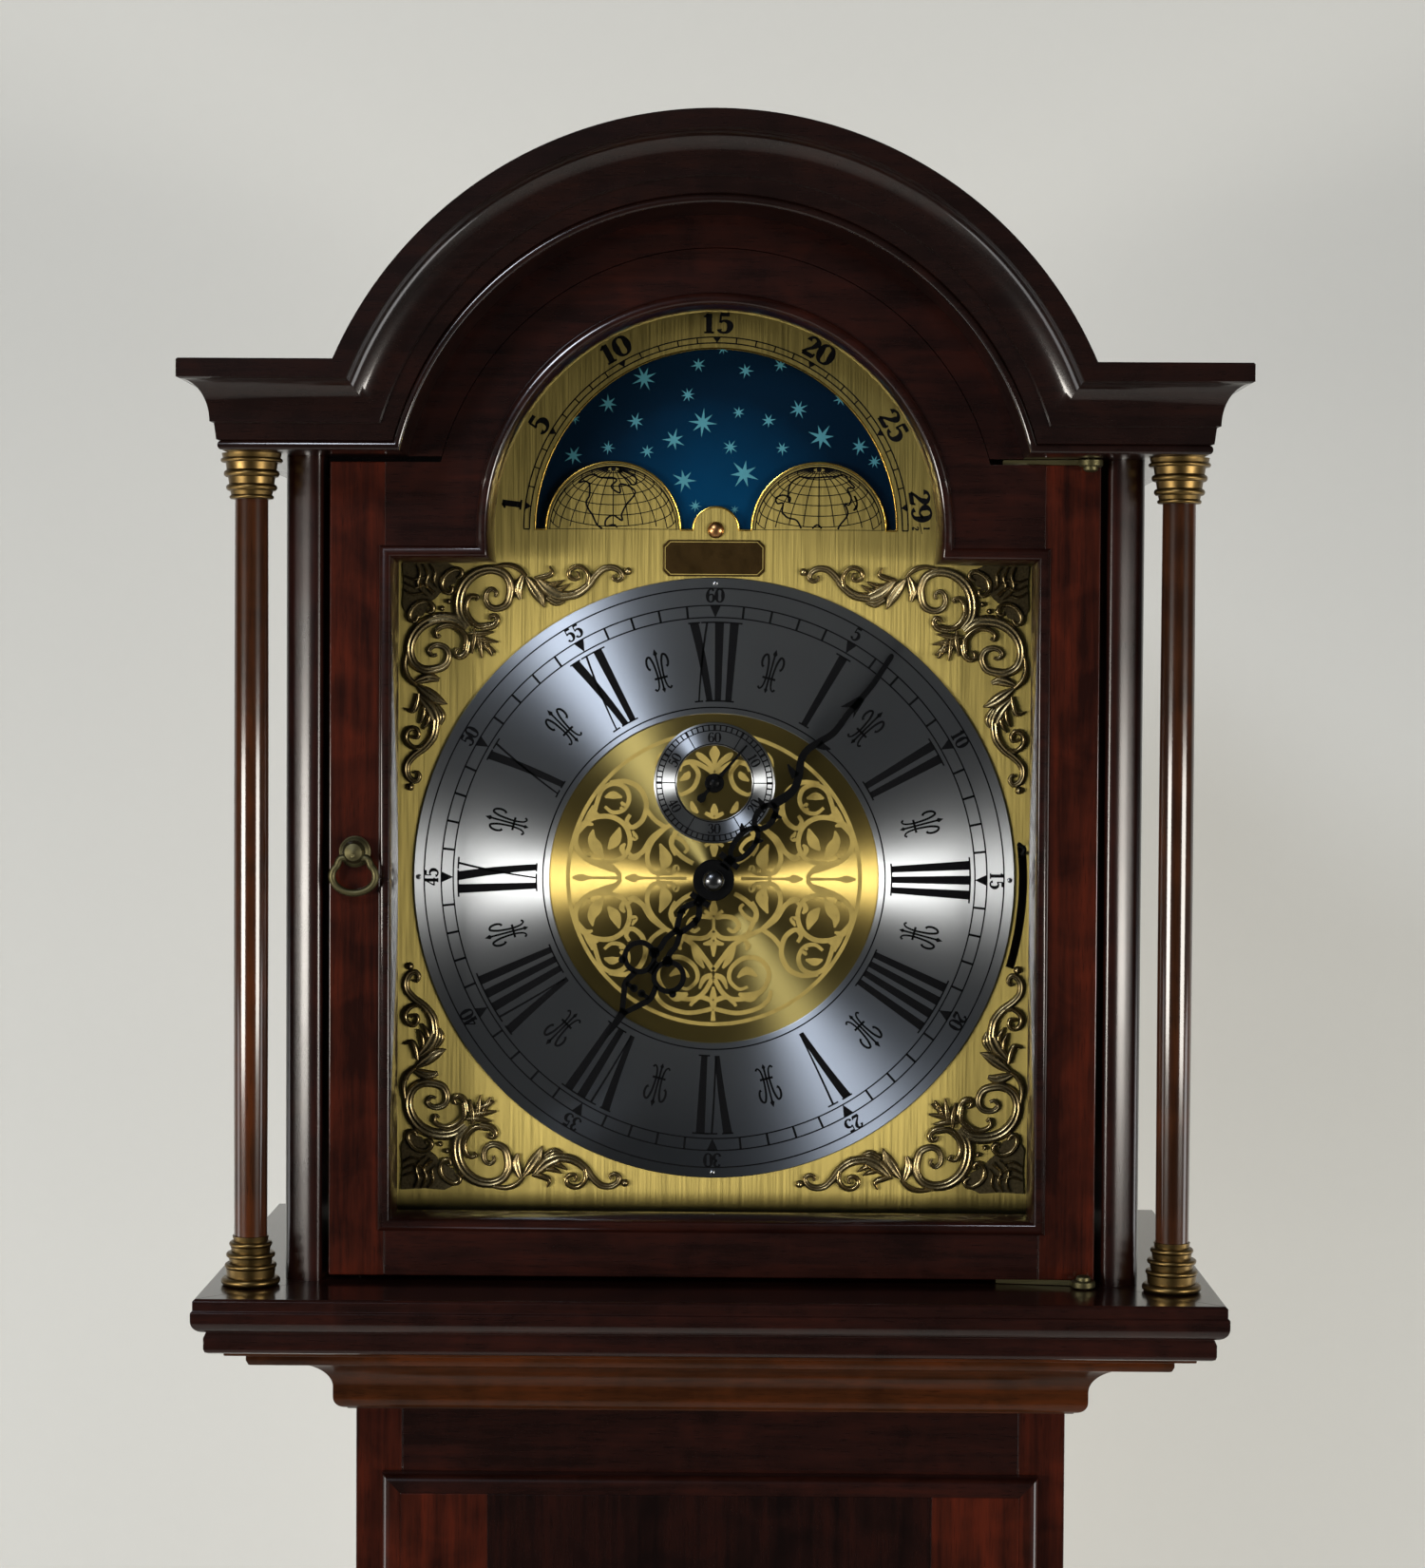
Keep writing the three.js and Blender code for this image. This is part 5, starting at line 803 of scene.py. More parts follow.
class CLOCK_OT_hood_door(bpy.types.Operator):
    """Builds the glazed hood door with its bead, hinges and ring pull."""

    bl_idname = "clock.hood_door"
    bl_label = "Hood door"

    def execute(self, context):
        half, joint = 162, OPENING_HALF
        low, high = BOARD_TOP + 2.4, CORNICE_Z - 2.4
        back = DOOR_Y + 16
        stands = ("hood_door_frame",)
        for side, name in SIDES:
            x0, x1 = sorted((side * half, side * joint))
            board(f"hood_stile_{name}", x0, x1, low, high, DOOR_Y, back, "stile", "hood_door", stands)
            stands = ()
        board("hood_foot_rail", -joint, joint, low, OPENING_FOOT, DOOR_Y, back, "rail", "hood_door")
        radius = 119
        foot = foot_angle(radius, high - ARCH_Z)
        sight = opening(0)[1:-1]
        loop = [
            (joint, high), *arc(0, ARCH_Z, radius, foot, 180 - foot, 72), (-joint, high), *reversed(sight)
        ]
        shape = Shape().slab([loop], DOOR_Y, back)
        finish_piece("hood_head_rail", shape, "rail", "hood_door", bevel=case_values().edge)
        self.bead()
        glass = Shape().slab([opening(-4.7)], DOOR_Y + 11.5, DOOR_Y + 14.5)
        finish_piece("hood_glass", glass, "glass", "hood_door", ("hood_door_glass",))
        for name, face, way in (("bottom", BOARD_TOP, 1), ("top", CORNICE_Z, -1)):
            self.hinge(name, face, way)
        self.pull()
        return {"FINISHED"}

    def bead(self):
        """Ovolo round the glass: a quick round outside and a long fall to the glass inside."""
        out, crest, lip, proud, sink = 2.6, 0.8, 4.4, 2.4, 10.5
        steps = [
            (-out, 0.5), *quarter(crest, 0, -crest - out, -proud, 0, 90, 8),
            *quarter(crest, sink, lip - crest, -sink - proud, 85, 0, 12), (lip, sink + 0.6), (0, sink + 0.6),
        ]
        rows = []
        for inset, depth in steps:
            loop = opening(inset)
            rows.append([(x, DOOR_Y + depth, z) for x, z in [*loop, loop[0]]])
        shape = Shape().grid(rows)
        finish_piece("hood_bead", shape, "rail", "hood_door", crease=40)

    def hinge(self, name, face, way):
        """Strap hinge: a leaf along the door's edge, a knuckle washer in front of it and a domed pin head."""
        leaf = [
            (PIVOT_X - 36, DOOR_Y + 4), (PIVOT_X - 5, DOOR_Y - 0.4), (PIVOT_X - 4, PIVOT_Y),
            (PIVOT_X + 4, PIVOT_Y), (PIVOT_X + 4, DOOR_Y + 12), (PIVOT_X - 36, DOOR_Y + 12),
        ]
        shape = Shape().upright(leaf, [face + way * rise for rise in (0.3, 2.38)])
        knuckle = [
            (AXIS, -7), (2, -7), (2, 0.3), (4.4, 0.3), (5.1, 0.8), (5.1, 2.9), (4.6, 3.4), (3.1, 3.4),
            (3.1, 4.6), *quarter(AXIS, 4.6, 3.09, 1.1, 0, 90, 8),
        ]
        shape.lathe([(r, face + way * rise) for r, rise in knuckle], PIVOT_X, PIVOT_Y, 40)
        finish_piece(
            f"hood_hinge_{name}", shape, "bronze", "hood_door", (f"hood_door_hinge_{name}",)
        )

    def pull(self):
        """Shell boss with a drop ring in oxidised bronze."""
        x, z, face = -151, BOARD_TOP + 182, DOOR_Y - CLEAR
        profile = [
            (AXIS, face), (6.6, face), (6.6, face - 1.6), *quarter(5.6, face - 2.6, 0.5, 0.6, 60, -60, 4),
            (4.5, face - 4), (4.9, face - 5), (4.6, face - 6.4), (3.6, face - 8), (1.6, face - 8.8),
            (AXIS, face - 9),
        ]
        shape = Shape().turned(profile, x, z, 48)
        # Ribs of the shell fan out from the foot of the boss.
        for turn in range(-60, 61, 20):
            across, up = clock_point(4.5, turn)
            rib = [
                (x, face - 8.4, z - 2), (x + across * 0.6, face - 7.4, z + up * 0.6),
                (x + across, face - 5, z + up),
            ]
            shape.tube(eased(rib, 5), 0.7, 8)
        finish_piece("ring_pull_boss", shape, "bronze", "hood_door", ("hood_door_pull_boss",))
        top, drop = z - 2.6, 7.6
        ring = [(px, face - 5.2, pz) for px, pz in quarter(x, top - drop, 9.2, 7, 140, 400, 26)]
        ends = [(x + way * across, face - 5.2, top) for way in (-1, 1) for across in (1.6, 5.6)]
        path = [ends[0], ends[1], *ring, ends[3], ends[2]]
        shape = Shape().tube(eased(path, 3), 1.55, 12)
        finish_piece(
            "ring_pull_drop", shape, "bronze", "hood_door_pull", ("hood_door_pull_bail",)
        )


class CLOCK_OT_trunk(bpy.types.Operator):
    """Builds the trunk: throat moulding, front frame and the long lipped door."""

    bl_idname = "clock.trunk"
    bl_label = "Trunk"

    def execute(self, context):
        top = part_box("throat_moulding")[1].z * 1000
        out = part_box("throat_moulding")[1].x * 1000 - TRUNK_HALF
        throat = [
            (0.02, 0), (out, 0), (out, -1.5), (out - 8, -2.5), (out - 8, -5), (out - 9, -7), (out - 10, -7.3)
        ]
        throat += quarter(out - 10, -22.8, out - 19, 15.5, 90, 180, 20)[1:]
        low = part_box("throat_moulding")[0].z * 1000 - top
        throat += [(9, -24), *quarter(3.5, -27, 5.5, -low - 27.6, 0, -90, 10), (3.5, low), (0.02, low)]
        wrap("throat", throat, TRUNK_HALF, TRUNK_Y, top, "cove", "case", "throat_moulding")
        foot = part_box("trunk_front_frame")[0].z * 1000
        joint, back = 132, TRUNK_Y + 18
        stands = ("trunk_front_frame",)
        for side, name in SIDES:
            x0, x1 = sorted((side * TRUNK_HALF, side * joint))
            board(f"trunk_stile_{name}", x0, x1, foot, top, TRUNK_Y, back, "stile", "case", stands)
            stands = ()
        board("trunk_top_rail", -joint, joint, 1198, top, TRUNK_Y, back, "rail", "case")
        board("trunk_foot_rail", -joint, joint, foot, 508, TRUNK_Y, back, "rail", "case")
        self.door()
        return {"FINISHED"}

    def door(self):
        """Long door: two stiles and a dark panel between them inside a rounded lip, and a rebated back."""
        half, low, high, back, rim = 140, 500, 1206, 59.7, 8
        lip = [(-rim, rim), (-rim, 0), (-4, 0), *quarter(-4, 4, 4, 4, -90, 0, 8), (0, rim)]
        corners = [(-half, low), (half, low), (half, high), (-half, high)]
        outs = [(-1, 0, -1), (1, 0, -1), (1, 0, 1), (-1, 0, 1)]
        names = ("foot", "right", "head", "left")
        face = back - rim
        stands = ("trunk_door",)
        for i, name in enumerate(names):
            j = (i + 1) % 4
            ends = [((corners[k][0], face, corners[k][1]), outs[k], (0, 1, 0)) for k in (i, j)]
            shape = Shape().carried(lip, ends)
            finish = "rail" if name in ("foot", "head") else "stile"
            finish_piece(f"trunk_door_lip_{name}", shape, finish, "trunk_door", stands)
            stands = ()
        inner, joint = half - rim, 94.5
        levels = (low + rim, high - rim, face, back + 9)
        board("trunk_door_stile_left", -inner, -joint, *levels, "stile", "trunk_door")
        board("trunk_door_stile_right", joint, inner, *levels, "stile", "trunk_door")
        board("trunk_door_panel", -joint, joint, *levels, "panel", "trunk_door")
        z = (low + high) / 2 + 60
        knob = [
            (AXIS, 0), (7.6, 0), (7.6, -1), (7, -2), (3.8, -4), (3.6, -8),
            *quarter(3.6, -15, 5.4, 7, 90, -60, 14), (AXIS, -22),
        ]
        shape = Shape().turned([(r, face - CLEAR + h) for r, h in knob], 24 - half, z)
        finish_piece("trunk_knob", shape, "aged", "trunk_door", ("trunk_door_knob",))
        for hinge_z in (low + 90, (low + high) / 2, high - 90):
            shape = Shape()
            for k in range(3):
                foot = hinge_z - 18 + 12.2 * k
                barrel = [(AXIS, 0), (1.5, 0), (1.8, 0.4), (1.8, 11.4), (1.5, 11.8), (AXIS, 11.8)]
                shape.lathe([(r, foot + h) for r, h in barrel], *TRUNK_PIVOT, 24)
            finish_piece(f"trunk_hinge_{round(hinge_z)}", shape, "aged", "trunk_door")


class CLOCK_OT_base(bpy.types.Operator):
    """Builds the waist moulding and polishes the base and the carcass."""

    bl_idname = "clock.base"
    bl_label = "Base"

    def execute(self, context):
        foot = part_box("waist_moulding")[0].z * 1000
        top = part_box("waist_moulding")[1].z * 1000 - foot
        out = 48.3
        waist = [(0.02, 0), (out, 0), (out, 6), *quarter(out - 4, 6, 4, 7, 0, 90, 8)]
        waist += quarter(out - 8, top - 6, out - 16, 23, 270, 180, 20)
        waist += [(8, top - 2), (5, top), (0.02, top)]
        wrap("waist", waist, TRUNK_HALF, TRUNK_Y, foot, "cove", "case", "waist_moulding")
        dress("stile", "base_front")
        dress("rail", "plinth_moulding")
        dress("upright", "base_side_left", "base_side_right", "trunk_side_left", "trunk_side_right")
        dress("carcass", "backboard", "seat_board")
        return {"FINISHED"}


# Dial


# Figures drawn with a broad nib in a box 0.62 wide and 1 high: strokes of x, y and width.
OVAL = [
    (0.31, 0.98), (0.12, 0.86), (0.07, 0.5), (0.12, 0.14), (0.31, 0.02), (0.5, 0.14), (0.55, 0.5), (0.5, 0.86)
]
NIB = (0.06, 0.1, 0.16, 0.1, 0.06, 0.1, 0.16, 0.1)
SIX = [
    (0.5, 0.82, 0.12), (0.44, 0.94, 0.08), (0.31, 0.97, 0.06), (0.15, 0.83, 0.1), (0.08, 0.5, 0.15),
    (0.12, 0.15, 0.11), (0.31, 0.02, 0.06), (0.5, 0.14, 0.11), (0.54, 0.32, 0.14), (0.46, 0.53, 0.08),
    (0.31, 0.58, 0.06), (0.13, 0.44, 0.07),
]
LOOP = [(0, 1), (-0.8, 0.6), (-1, 0), (-0.7, -0.7), (0, -1), (0.7, -0.7), (1, 0), (0.8, 0.6), (0, 1)]
UPPER_NIB = (0.06, 0.1, 0.13, 0.1, 0.08, 0.1, 0.13, 0.1, 0.06)
LOWER_NIB = (0.06, 0.1, 0.14, 0.1, 0.06, 0.1, 0.14, 0.1, 0.06)
FIGURES = {
    "0": [[(x, y, w) for (x, y), w in zip(OVAL + OVAL[:1], NIB + NIB[:1])]],
    "1": [
        [(0.34, 0.03, 0.14), (0.34, 0.97, 0.14)],
        [(0.14, 0.03, 0.06), (0.54, 0.03, 0.06)],
        [(0.14, 0.8, 0.05), (0.34, 0.95, 0.09)],
    ],
    "2": [
        [
            (0.12, 0.72, 0.13), (0.15, 0.88, 0.08), (0.31, 0.97, 0.07), (0.48, 0.88, 0.11),
            (0.5, 0.72, 0.15), (0.4, 0.5, 0.1), (0.2, 0.26, 0.07), (0.08, 0.06, 0.07),
        ],
        [(0.08, 0.07, 0.13), (0.54, 0.07, 0.13)],
        [(0.54, 0.03, 0.05), (0.56, 0.24, 0.05)],
    ],
    "3": [
        [
            (0.12, 0.8, 0.12), (0.18, 0.93, 0.07), (0.33, 0.97, 0.07), (0.48, 0.85, 0.12),
            (0.46, 0.65, 0.12), (0.3, 0.53, 0.06),
        ],
        [
            (0.3, 0.53, 0.06), (0.48, 0.44, 0.12), (0.53, 0.25, 0.15), (0.42, 0.07, 0.09),
            (0.27, 0.02, 0.07), (0.12, 0.09, 0.08), (0.1, 0.22, 0.13),
        ],
    ],
    "4": [
        [(0.42, 0.98, 0.05), (0.05, 0.3, 0.06)],
        [(0.03, 0.3, 0.07), (0.6, 0.3, 0.07)],
        [(0.43, 0.98, 0.14), (0.43, 0.03, 0.14)],
        [(0.27, 0.03, 0.06), (0.58, 0.03, 0.06)],
    ],
    "5": [
        [(0.14, 0.93, 0.11), (0.5, 0.93, 0.11)],
        [(0.15, 0.95, 0.05), (0.13, 0.52, 0.05)],
        [
            (0.13, 0.53, 0.06), (0.28, 0.62, 0.07), (0.47, 0.53, 0.13), (0.53, 0.32, 0.15),
            (0.44, 0.09, 0.1), (0.27, 0.02, 0.07), (0.12, 0.08, 0.08), (0.09, 0.2, 0.13),
        ],
    ],
    "6": [SIX],
    "8": [
        [(0.31 + 0.18 * x, 0.75 + 0.22 * y, w) for (x, y), w in zip(LOOP, UPPER_NIB)],
        [(0.31 + 0.23 * x, 0.27 + 0.25 * y, w) for (x, y), w in zip(LOOP, LOWER_NIB)],
    ],
    "9": [[(0.62 - x, 1 - y, w) for x, y, w in SIX]],
}


def write_figures(shape, text, size, depth, place, bold=1.0):
    """Writes figures centred on a place function that maps across and up to the dial."""
    advance = size * 0.66
    start = -advance * len(text) / 2
    for i, letter in enumerate(text):
        for stroke in FIGURES[letter]:
            points = [
                (start + advance * i + x * size, (y - 0.5) * size, w * size * bold) for x, y, w in stroke
            ]
            shape.stroke(eased(points, 5) if len(points) > 2 else points, depth, place)


def on_circle(radius, degrees, cz, inward=False):
    """A place function for figures on a circle, their tops outward or inward."""
    turn = math.radians(degrees)
    way = -1 if inward else 1

    def place(x, y):
        r = radius + way * y
        across = way * x
        px, pz = r * math.sin(turn), r * math.cos(turn)
        return px + across * math.cos(turn), cz + pz - across * math.sin(turn)

    return place


def draw_ring(shape, radius, width, depth, cz, cx=0.0, end=360, steps=180):
    """A flat ring or part of one, in degrees from three o'clock up."""
    edges = [arc(cx, cz, radius + offset, 0, end, steps) for offset in (-width / 2, width / 2)]
    shape.grid([[(x, depth, z) for x, z in edge] for edge in edges])


def draw_tick(shape, start, end, degrees, width, depth, cz, tip=None):
    """A line along a radius at an angle clockwise from twelve, tapered to a tip if asked."""
    (x0, z0), (x1, z1) = clock_point(start, degrees, cz), clock_point(end, degrees, cz)
    shape.stroke([(x0, z0, width), (x1, z1, tip or width)], depth)


class CLOCK_OT_dial_plate(bpy.types.Operator):
    """Builds the arched brass dial plate with its moon opening, chime slot, bare nameplate and feet."""

    bl_idname = "clock.dial_plate"
    bl_label = "Dial plate"

    def execute(self, context):
        values = dial_values()
        low, shoulder = BOARD_TOP + 20, BOARD_TOP + 312
        foot = foot_angle(102, shoulder - MOON_Z)
        plate = [
            (140, low), (140, shoulder), *arc(0, MOON_Z, 102, foot, 180 - foot, 96), (-140, shoulder),
            (-140, low),
        ]
        hump, hump_x = mm(values.hump), mm(values.hump_x)
        gap = [
            *arc(0, MOON_Z, mm(values.aperture), 0, 180, 96), *arc(-hump_x, MOON_Z, hump, 180, 0, 48),
            *arc(0, MOON_Z, 10, 180, 0, 24), *arc(hump_x, MOON_Z, hump, 180, 0, 48),
        ]
        slot = [clock_point(132.3, 83.5 + 23 * i / 24, DIAL_Z) for i in range(25)]
        slot += [clock_point(136.1, 106.5 - 23 * i / 24, DIAL_Z) for i in range(25)]
        bores = [circle(0, z, r, 36) for z, r in ((DIAL_Z, 6), (SECONDS_Z, 1.5), (MOON_Z, 2.5))]
        shape = Shape().slab([plate, gap, slot, *bores], DIAL_Y, DIAL_Y + 2)
        for x in (-78, 78):
            for z in (BOARD_TOP + 81, DIAL_Z + 52):
                shape.turned([(AXIS, DIAL_Y + 1.9), (3, DIAL_Y + 1.9), (3, 111.9), (AXIS, 111.9)], x, z, 24)
        finish_piece("dial_sheet", shape, "dial", "case", ("dial_plate",))
        self.rim(gap)
        self.nameplate()
        return {"FINISHED"}

    def rim(self, gap):
        """Bright chamfer round the moon opening."""
        loop = [*gap, gap[0]]
        points = [(x, z, 0.9) for x, z in loop]
        shape = Shape().dome(points, DIAL_Y, 0.35, 5)
        finish_piece("moon_opening_rim", shape, "brass", "case")

    def nameplate(self):
        """Bronzed plate with cut corners, left bare, held by two pins."""
        x0, x1, z0, z1, cut = -22.8, 21.3, BOARD_TOP + 299.9, BOARD_TOP + 315.7, 2.4
        loop = [
            (x0 + cut, z0), (x1 - cut, z0), (x1, z0 + cut), (x1, z1 - cut), (x1 - cut, z1), (x0 + cut, z1),
            (x0, z1 - cut), (x0, z0 + cut),
        ]
        shape = Shape().slab([loop], DIAL_Y - 0.7, DIAL_Y - CLEAR)
        finish_piece("nameplate", shape, "plate", "case", bevel=0.00025)
        inner = [
            (x + (0.9 if x < 0 else -0.9), z + (0.9 if z < (z0 + z1) / 2 else -0.9), 0.3) for x, z in loop
        ]
        shape = Shape().stroke([*inner, inner[0]], DIAL_Y - 0.74)
        finish_piece("nameplate_line", shape, "matte gold", "case")


def roman(text):
    """Strokes of a Roman numeral: millimetres across, 0 at the foot to 1 at the head, and width."""
    halves = {"I": 2.75, "V": 4.5, "X": 4.3}
    thick, thin, serif = 3.3, 0.85, 0.7
    strokes = []
    x = -sum(halves[letter] for letter in text)
    for letter in text:
        x += halves[letter]
        if letter == "I":
            strokes.append([(x, 0, thick), (x, 1, thick)])
            strokes += [[(x - 3, y, serif), (x + 3, y, serif)] for y in (0, 1)]
        elif letter == "V":
            strokes.append([(x - 2.9, 1, thick), (x + 0.5, 0, thick * 0.8)])
            strokes.append([(x + 3, 1, thin), (x + 1.2, 0.02, thin)])
            strokes += [[(x + s - 2.1, 1, serif), (x + s + 2.1, 1, serif)] for s in (-2.9, 3)]
        else:
            strokes.append([(x - 2.3, 1, thick), (x + 2.7, 0, thick)])
            strokes.append([(x + 2.5, 1, thin), (x - 2.9, 0, thin)])
            strokes += [[(x + s - 2.2, 1, serif), (x + s + 2.2, 1, serif)] for s in (-2.3, 2.5)]
            strokes += [[(x + s - 2.2, 0, serif), (x + s + 2.2, 0, serif)] for s in (2.7, -2.9)]
        x += halves[letter]
    return strokes


class CLOCK_OT_chapter_ring(bpy.types.Operator):
    """Builds the silvered chapter ring with its Roman hours, minute track and half-hour marks."""

    bl_idname = "clock.chapter_ring"
    bl_label = "Chapter ring"

    def execute(self, context):
        values = dial_values()
        outer, inner = mm(values.ring_outer), mm(values.ring_inner)
        front, back = DIAL_Y - 1.22, DIAL_Y - CLEAR
        profile = [
            (inner, back), (inner, front + 0.3), (inner + 0.3, front), (outer - 0.3, front),
            (outer, front + 0.3), (outer, back), (inner, back),
        ]
        shape = Shape().hoop(profile, DIAL_Z, 144)
        finish_piece("hour_ring", shape, "ring", "case", ("chapter_ring",))
        self.marks(values, front - ENGRAVED)
        pins = Shape()
        for degrees, radius in ((0, 128), (180, 128), (90, 128.2), (270, 128.2)):
            x, z = clock_point(radius, degrees, DIAL_Z)
            dome = quarter(AXIS, front, 1.1, -0.6, 0, 90, 6)
            pins.turned(dome, x, z, 20)
        finish_piece("ring_pins", pins, "steel", "case")
        return {"FINISHED"}

    def marks(self, values, depth):
        """Engraving filled with black wax."""
        shape = Shape()
        track_out, track_in = mm(values.track_outer), mm(values.track_inner)
        for radius in (125.8, track_out, track_in, 74.3):
            draw_ring(shape, radius, 0.6, depth, DIAL_Z, steps=240)
        for minute in range(60):
            if minute % 5:
                draw_tick(shape, track_in, track_out, minute * 6, 1, depth, DIAL_Z)
            else:
                draw_tick(shape, track_out, track_in, minute * 6, 4.8, depth, DIAL_Z, 0.05)
                text = str(minute or 60)
                write_figures(
                    shape, text, mm(values.figure_height), depth, on_circle(122.7, minute * 6, DIAL_Z), 1.7
                )
        foot, head = mm(values.numeral_inner), mm(values.numeral_outer)
        middle = (foot + head) / 2
        hours = ("XII", "I", "II", "III", "IIII", "V", "VI", "VII", "VIII", "IX", "X", "XI")
        for hour, text in enumerate(hours):

            def place(x, y, turn=hour * 30):
                return clock_point(foot + (head - foot) * y, turn + math.degrees(x / middle), DIAL_Z)

            for stroke in roman(text):
                self.bar(shape, stroke, depth, place)
            self.lyre(shape, hour * 30 + 15, depth)
        finish_piece("ring_engraving", shape, "wax", "case")

    def bar(self, shape, stroke, depth, place):
        """A straight stroke of a numeral, cut square at head and foot and fanned with the ring."""
        (x0, y0, w0), (x1, y1, w1) = stroke
        steps = 6
        rows = [[], []]
        for i in range(steps + 1):
            t = i / steps
            x, y, w = x0 + (x1 - x0) * t, y0 + (y1 - y0) * t, w0 + (w1 - w0) * t
            level = y0 == y1
            for row, side in zip(rows, (-0.5, 0.5)):
                px, pz = place(x, y + side * w / 34) if level else place(x + side * w, y)
                row.append((px, depth, pz))
        shape.grid(rows)

    def lyre(self, shape, degrees, depth):
        """Half-hour mark: an arrow between two stems that fall outward at the head and curl at the foot."""
        place = on_circle(84.6, degrees, DIAL_Z)
        side = [
            (3.7, 1.2, 0.9), (3, 0.3, 0.8), (2, 1.2, 0.75), (1.5, 3.2, 0.8), (1.3, 6, 0.85), (1.5, 9.5, 0.9),
            (1.9, 12.5, 0.95), (2.9, 15.2, 1), (4.2, 14.6, 1), (4.7, 12.4, 1), (4.3, 10.4, 0.95),
            (3.5, 9.8, 1.2),
        ]
        for way in (-1, 1):
            shape.stroke(eased([(way * x, y, w) for x, y, w in side], 4), depth, place)
        shape.stroke([(0, 0.4, 0.85), (0, 16, 0.85)], depth, place)
        for tip in (
            [(0, 14.8, 0.1), (0, 16, 2), (0, 18.2, 0.1)], [(0, 1.4, 0.1), (0, 0.4, 1.7), (0, -1.2, 0.1)]
        ):
            shape.stroke(tip, depth, place)
        shape.stroke([(-2.9, 5.4, 1), (2.9, 5.4, 1)], depth, place)


# Arabesque of the dial centre: strokes of x and y in tenths of a millimetre from the centre, and a weight.
# A weight of 8 adds 1 mm to the thinnest line. Quarter and foot are mirrored both ways.
QUARTER = [
    [
        (-420, 30, 14), (-485, 50, 14), (-560, 85, 13), (-600, 145, 14), (-585, 215, 14), (-525, 260, 14),
        (-445, 265, 14), (-385, 225, 14), (-365, 155, 13), (-390, 95, 12), (-445, 70, 12), (-490, 75, 9),
    ],
    [(-525, 210, 2), (-530, 170, 26), (-510, 130, 38), (-480, 85, 4)],
    [(-410, 220, 2), (-420, 185, 28), (-435, 155, 34), (-460, 125, 4)],
    [
        (-525, 260, 12), (-510, 325, 12), (-485, 385, 12), (-435, 410, 13), (-385, 390, 13), (-370, 340, 12),
        (-395, 295, 11), (-440, 285, 10), (-475, 310, 7),
    ],
    [(-475, 350, 3), (-440, 360, 24), (-400, 350, 3)],
    [(-405, 330, 6), (-390, 310, 14), (-410, 300, 5)],
    [(-570, 230, 3), (-540, 275, 17), (-525, 315, 3)],
    [
        (-455, 415, 9), (-385, 420, 13), (-325, 390, 14), (-295, 325, 14), (-310, 255, 14), (-355, 220, 13),
        (-380, 245, 12), (-365, 275, 9),
    ],
    [(-295, 300, 12), (-260, 255, 12), (-210, 220, 13)],
    [(-210, 220, 14), (-270, 175, 14), (-310, 115, 14), (-350, 95, 11), (-370, 110, 8)],
    [(-365, 170, 4), (-340, 175, 14), (-355, 205, 3)],
    [(-210, 220, 12), (-270, 155, 12), (-290, 85, 13), (-260, 25, 12), (-180, 20, 8)],
    [(-235, 150, 3), (-215, 105, 32), (-210, 75, 40), (-225, 35, 4)],
    [(-180, 185, 12), (-185, 145, 13), (-140, 95, 13), (-90, 65, 12)],
    [(-180, 185, 12), (-140, 165, 11), (-115, 130, 9), (-130, 110, 7)],
    [(-530, 75, 6), (-460, 60, 11), (-415, 20, 12), (-410, 0, 10)],
    [(-615, 0, 4), (-575, 0, 22), (-530, 0, 6), (-420, 0, 8)],
    [(-385, 0, 4), (-345, 0, 26), (-305, 0, 6), (-120, 0, 8)],
    [(-245, 0, 4), (-235, 25, 14), (-205, 35, 4)],
    [(-500, 270, 10), (-520, 280, 16), (-530, 305, 4)],
    [(-320, 105, 12), (-345, 90, 18), (-375, 90, 4)],
    [(-530, 70, 12), (-550, 90, 16), (-535, 110, 4)],
    [(-180, 20, 8), (-165, 50, 14), (-150, 35, 4)],
    [(-590, 190, 4), (-560, 235, 18), (-525, 230, 4)],
    [(-390, 100, 8), (-400, 130, 16), (-385, 150, 4)],
]
FOOT = [
    [(0, -95, 8), (0, -135, 26), (0, -165, 8), (0, -235, 9)],
    [(-40, -140, 8), (-20, -155, 11), (0, -170, 10)],
    [(-10, -170, 12), (-50, -165, 13), (-90, -175, 14), (-110, -205, 13), (-85, -230, 11), (-60, -215, 7)],
    [
        (0, -225, 12), (-30, -255, 13), (-80, -260, 13), (-140, -245, 12), (-170, -195, 14),
        (-185, -145, 13), (-165, -100, 10),
    ],
    [(0, -235, 10), (0, -285, 20), (0, -340, 4)],
    [(-45, -285, 4), (-20, -280, 14), (0, -265, 8)],
    [(0, -400, 14), (-40, -345, 14), (-80, -295, 14), (-130, -260, 13), (-210, -220, 12)],
    [(-40, -390, 4), (-70, -345, 22), (-95, -285, 4)],
    [
        (-5, -435, 13), (-40, -495, 13), (-90, -525, 13), (-180, -510, 13), (-230, -460, 13),
        (-240, -400, 13), (-200, -350, 13), (-135, -345, 13), (-80, -385, 12), (-70, -440, 11),
        (-110, -480, 9), (-150, -470, 6),
    ],
    [(-190, -425, 4), (-145, -400, 26), (-105, -430, 4)],
    [(0, -470, 4), (0, -525, 24), (0, -575, 9), (0, -620, 14)],
    [(0, -535, 12), (-55, -515, 14), (-85, -535, 12), (-100, -555, 6)],
    [(0, -565, 12), (-100, -585, 12), (-190, -565, 12), (-240, -525, 12), (-250, -485, 9)],
    [(-210, -485, 4), (-160, -515, 32), (-110, -500, 6)],
    [(-5, -420, 13), (-40, -435, 16), (-60, -480, 4)],
    [(-130, -260, 8), (-150, -290, 16), (-140, -310, 4)],
]
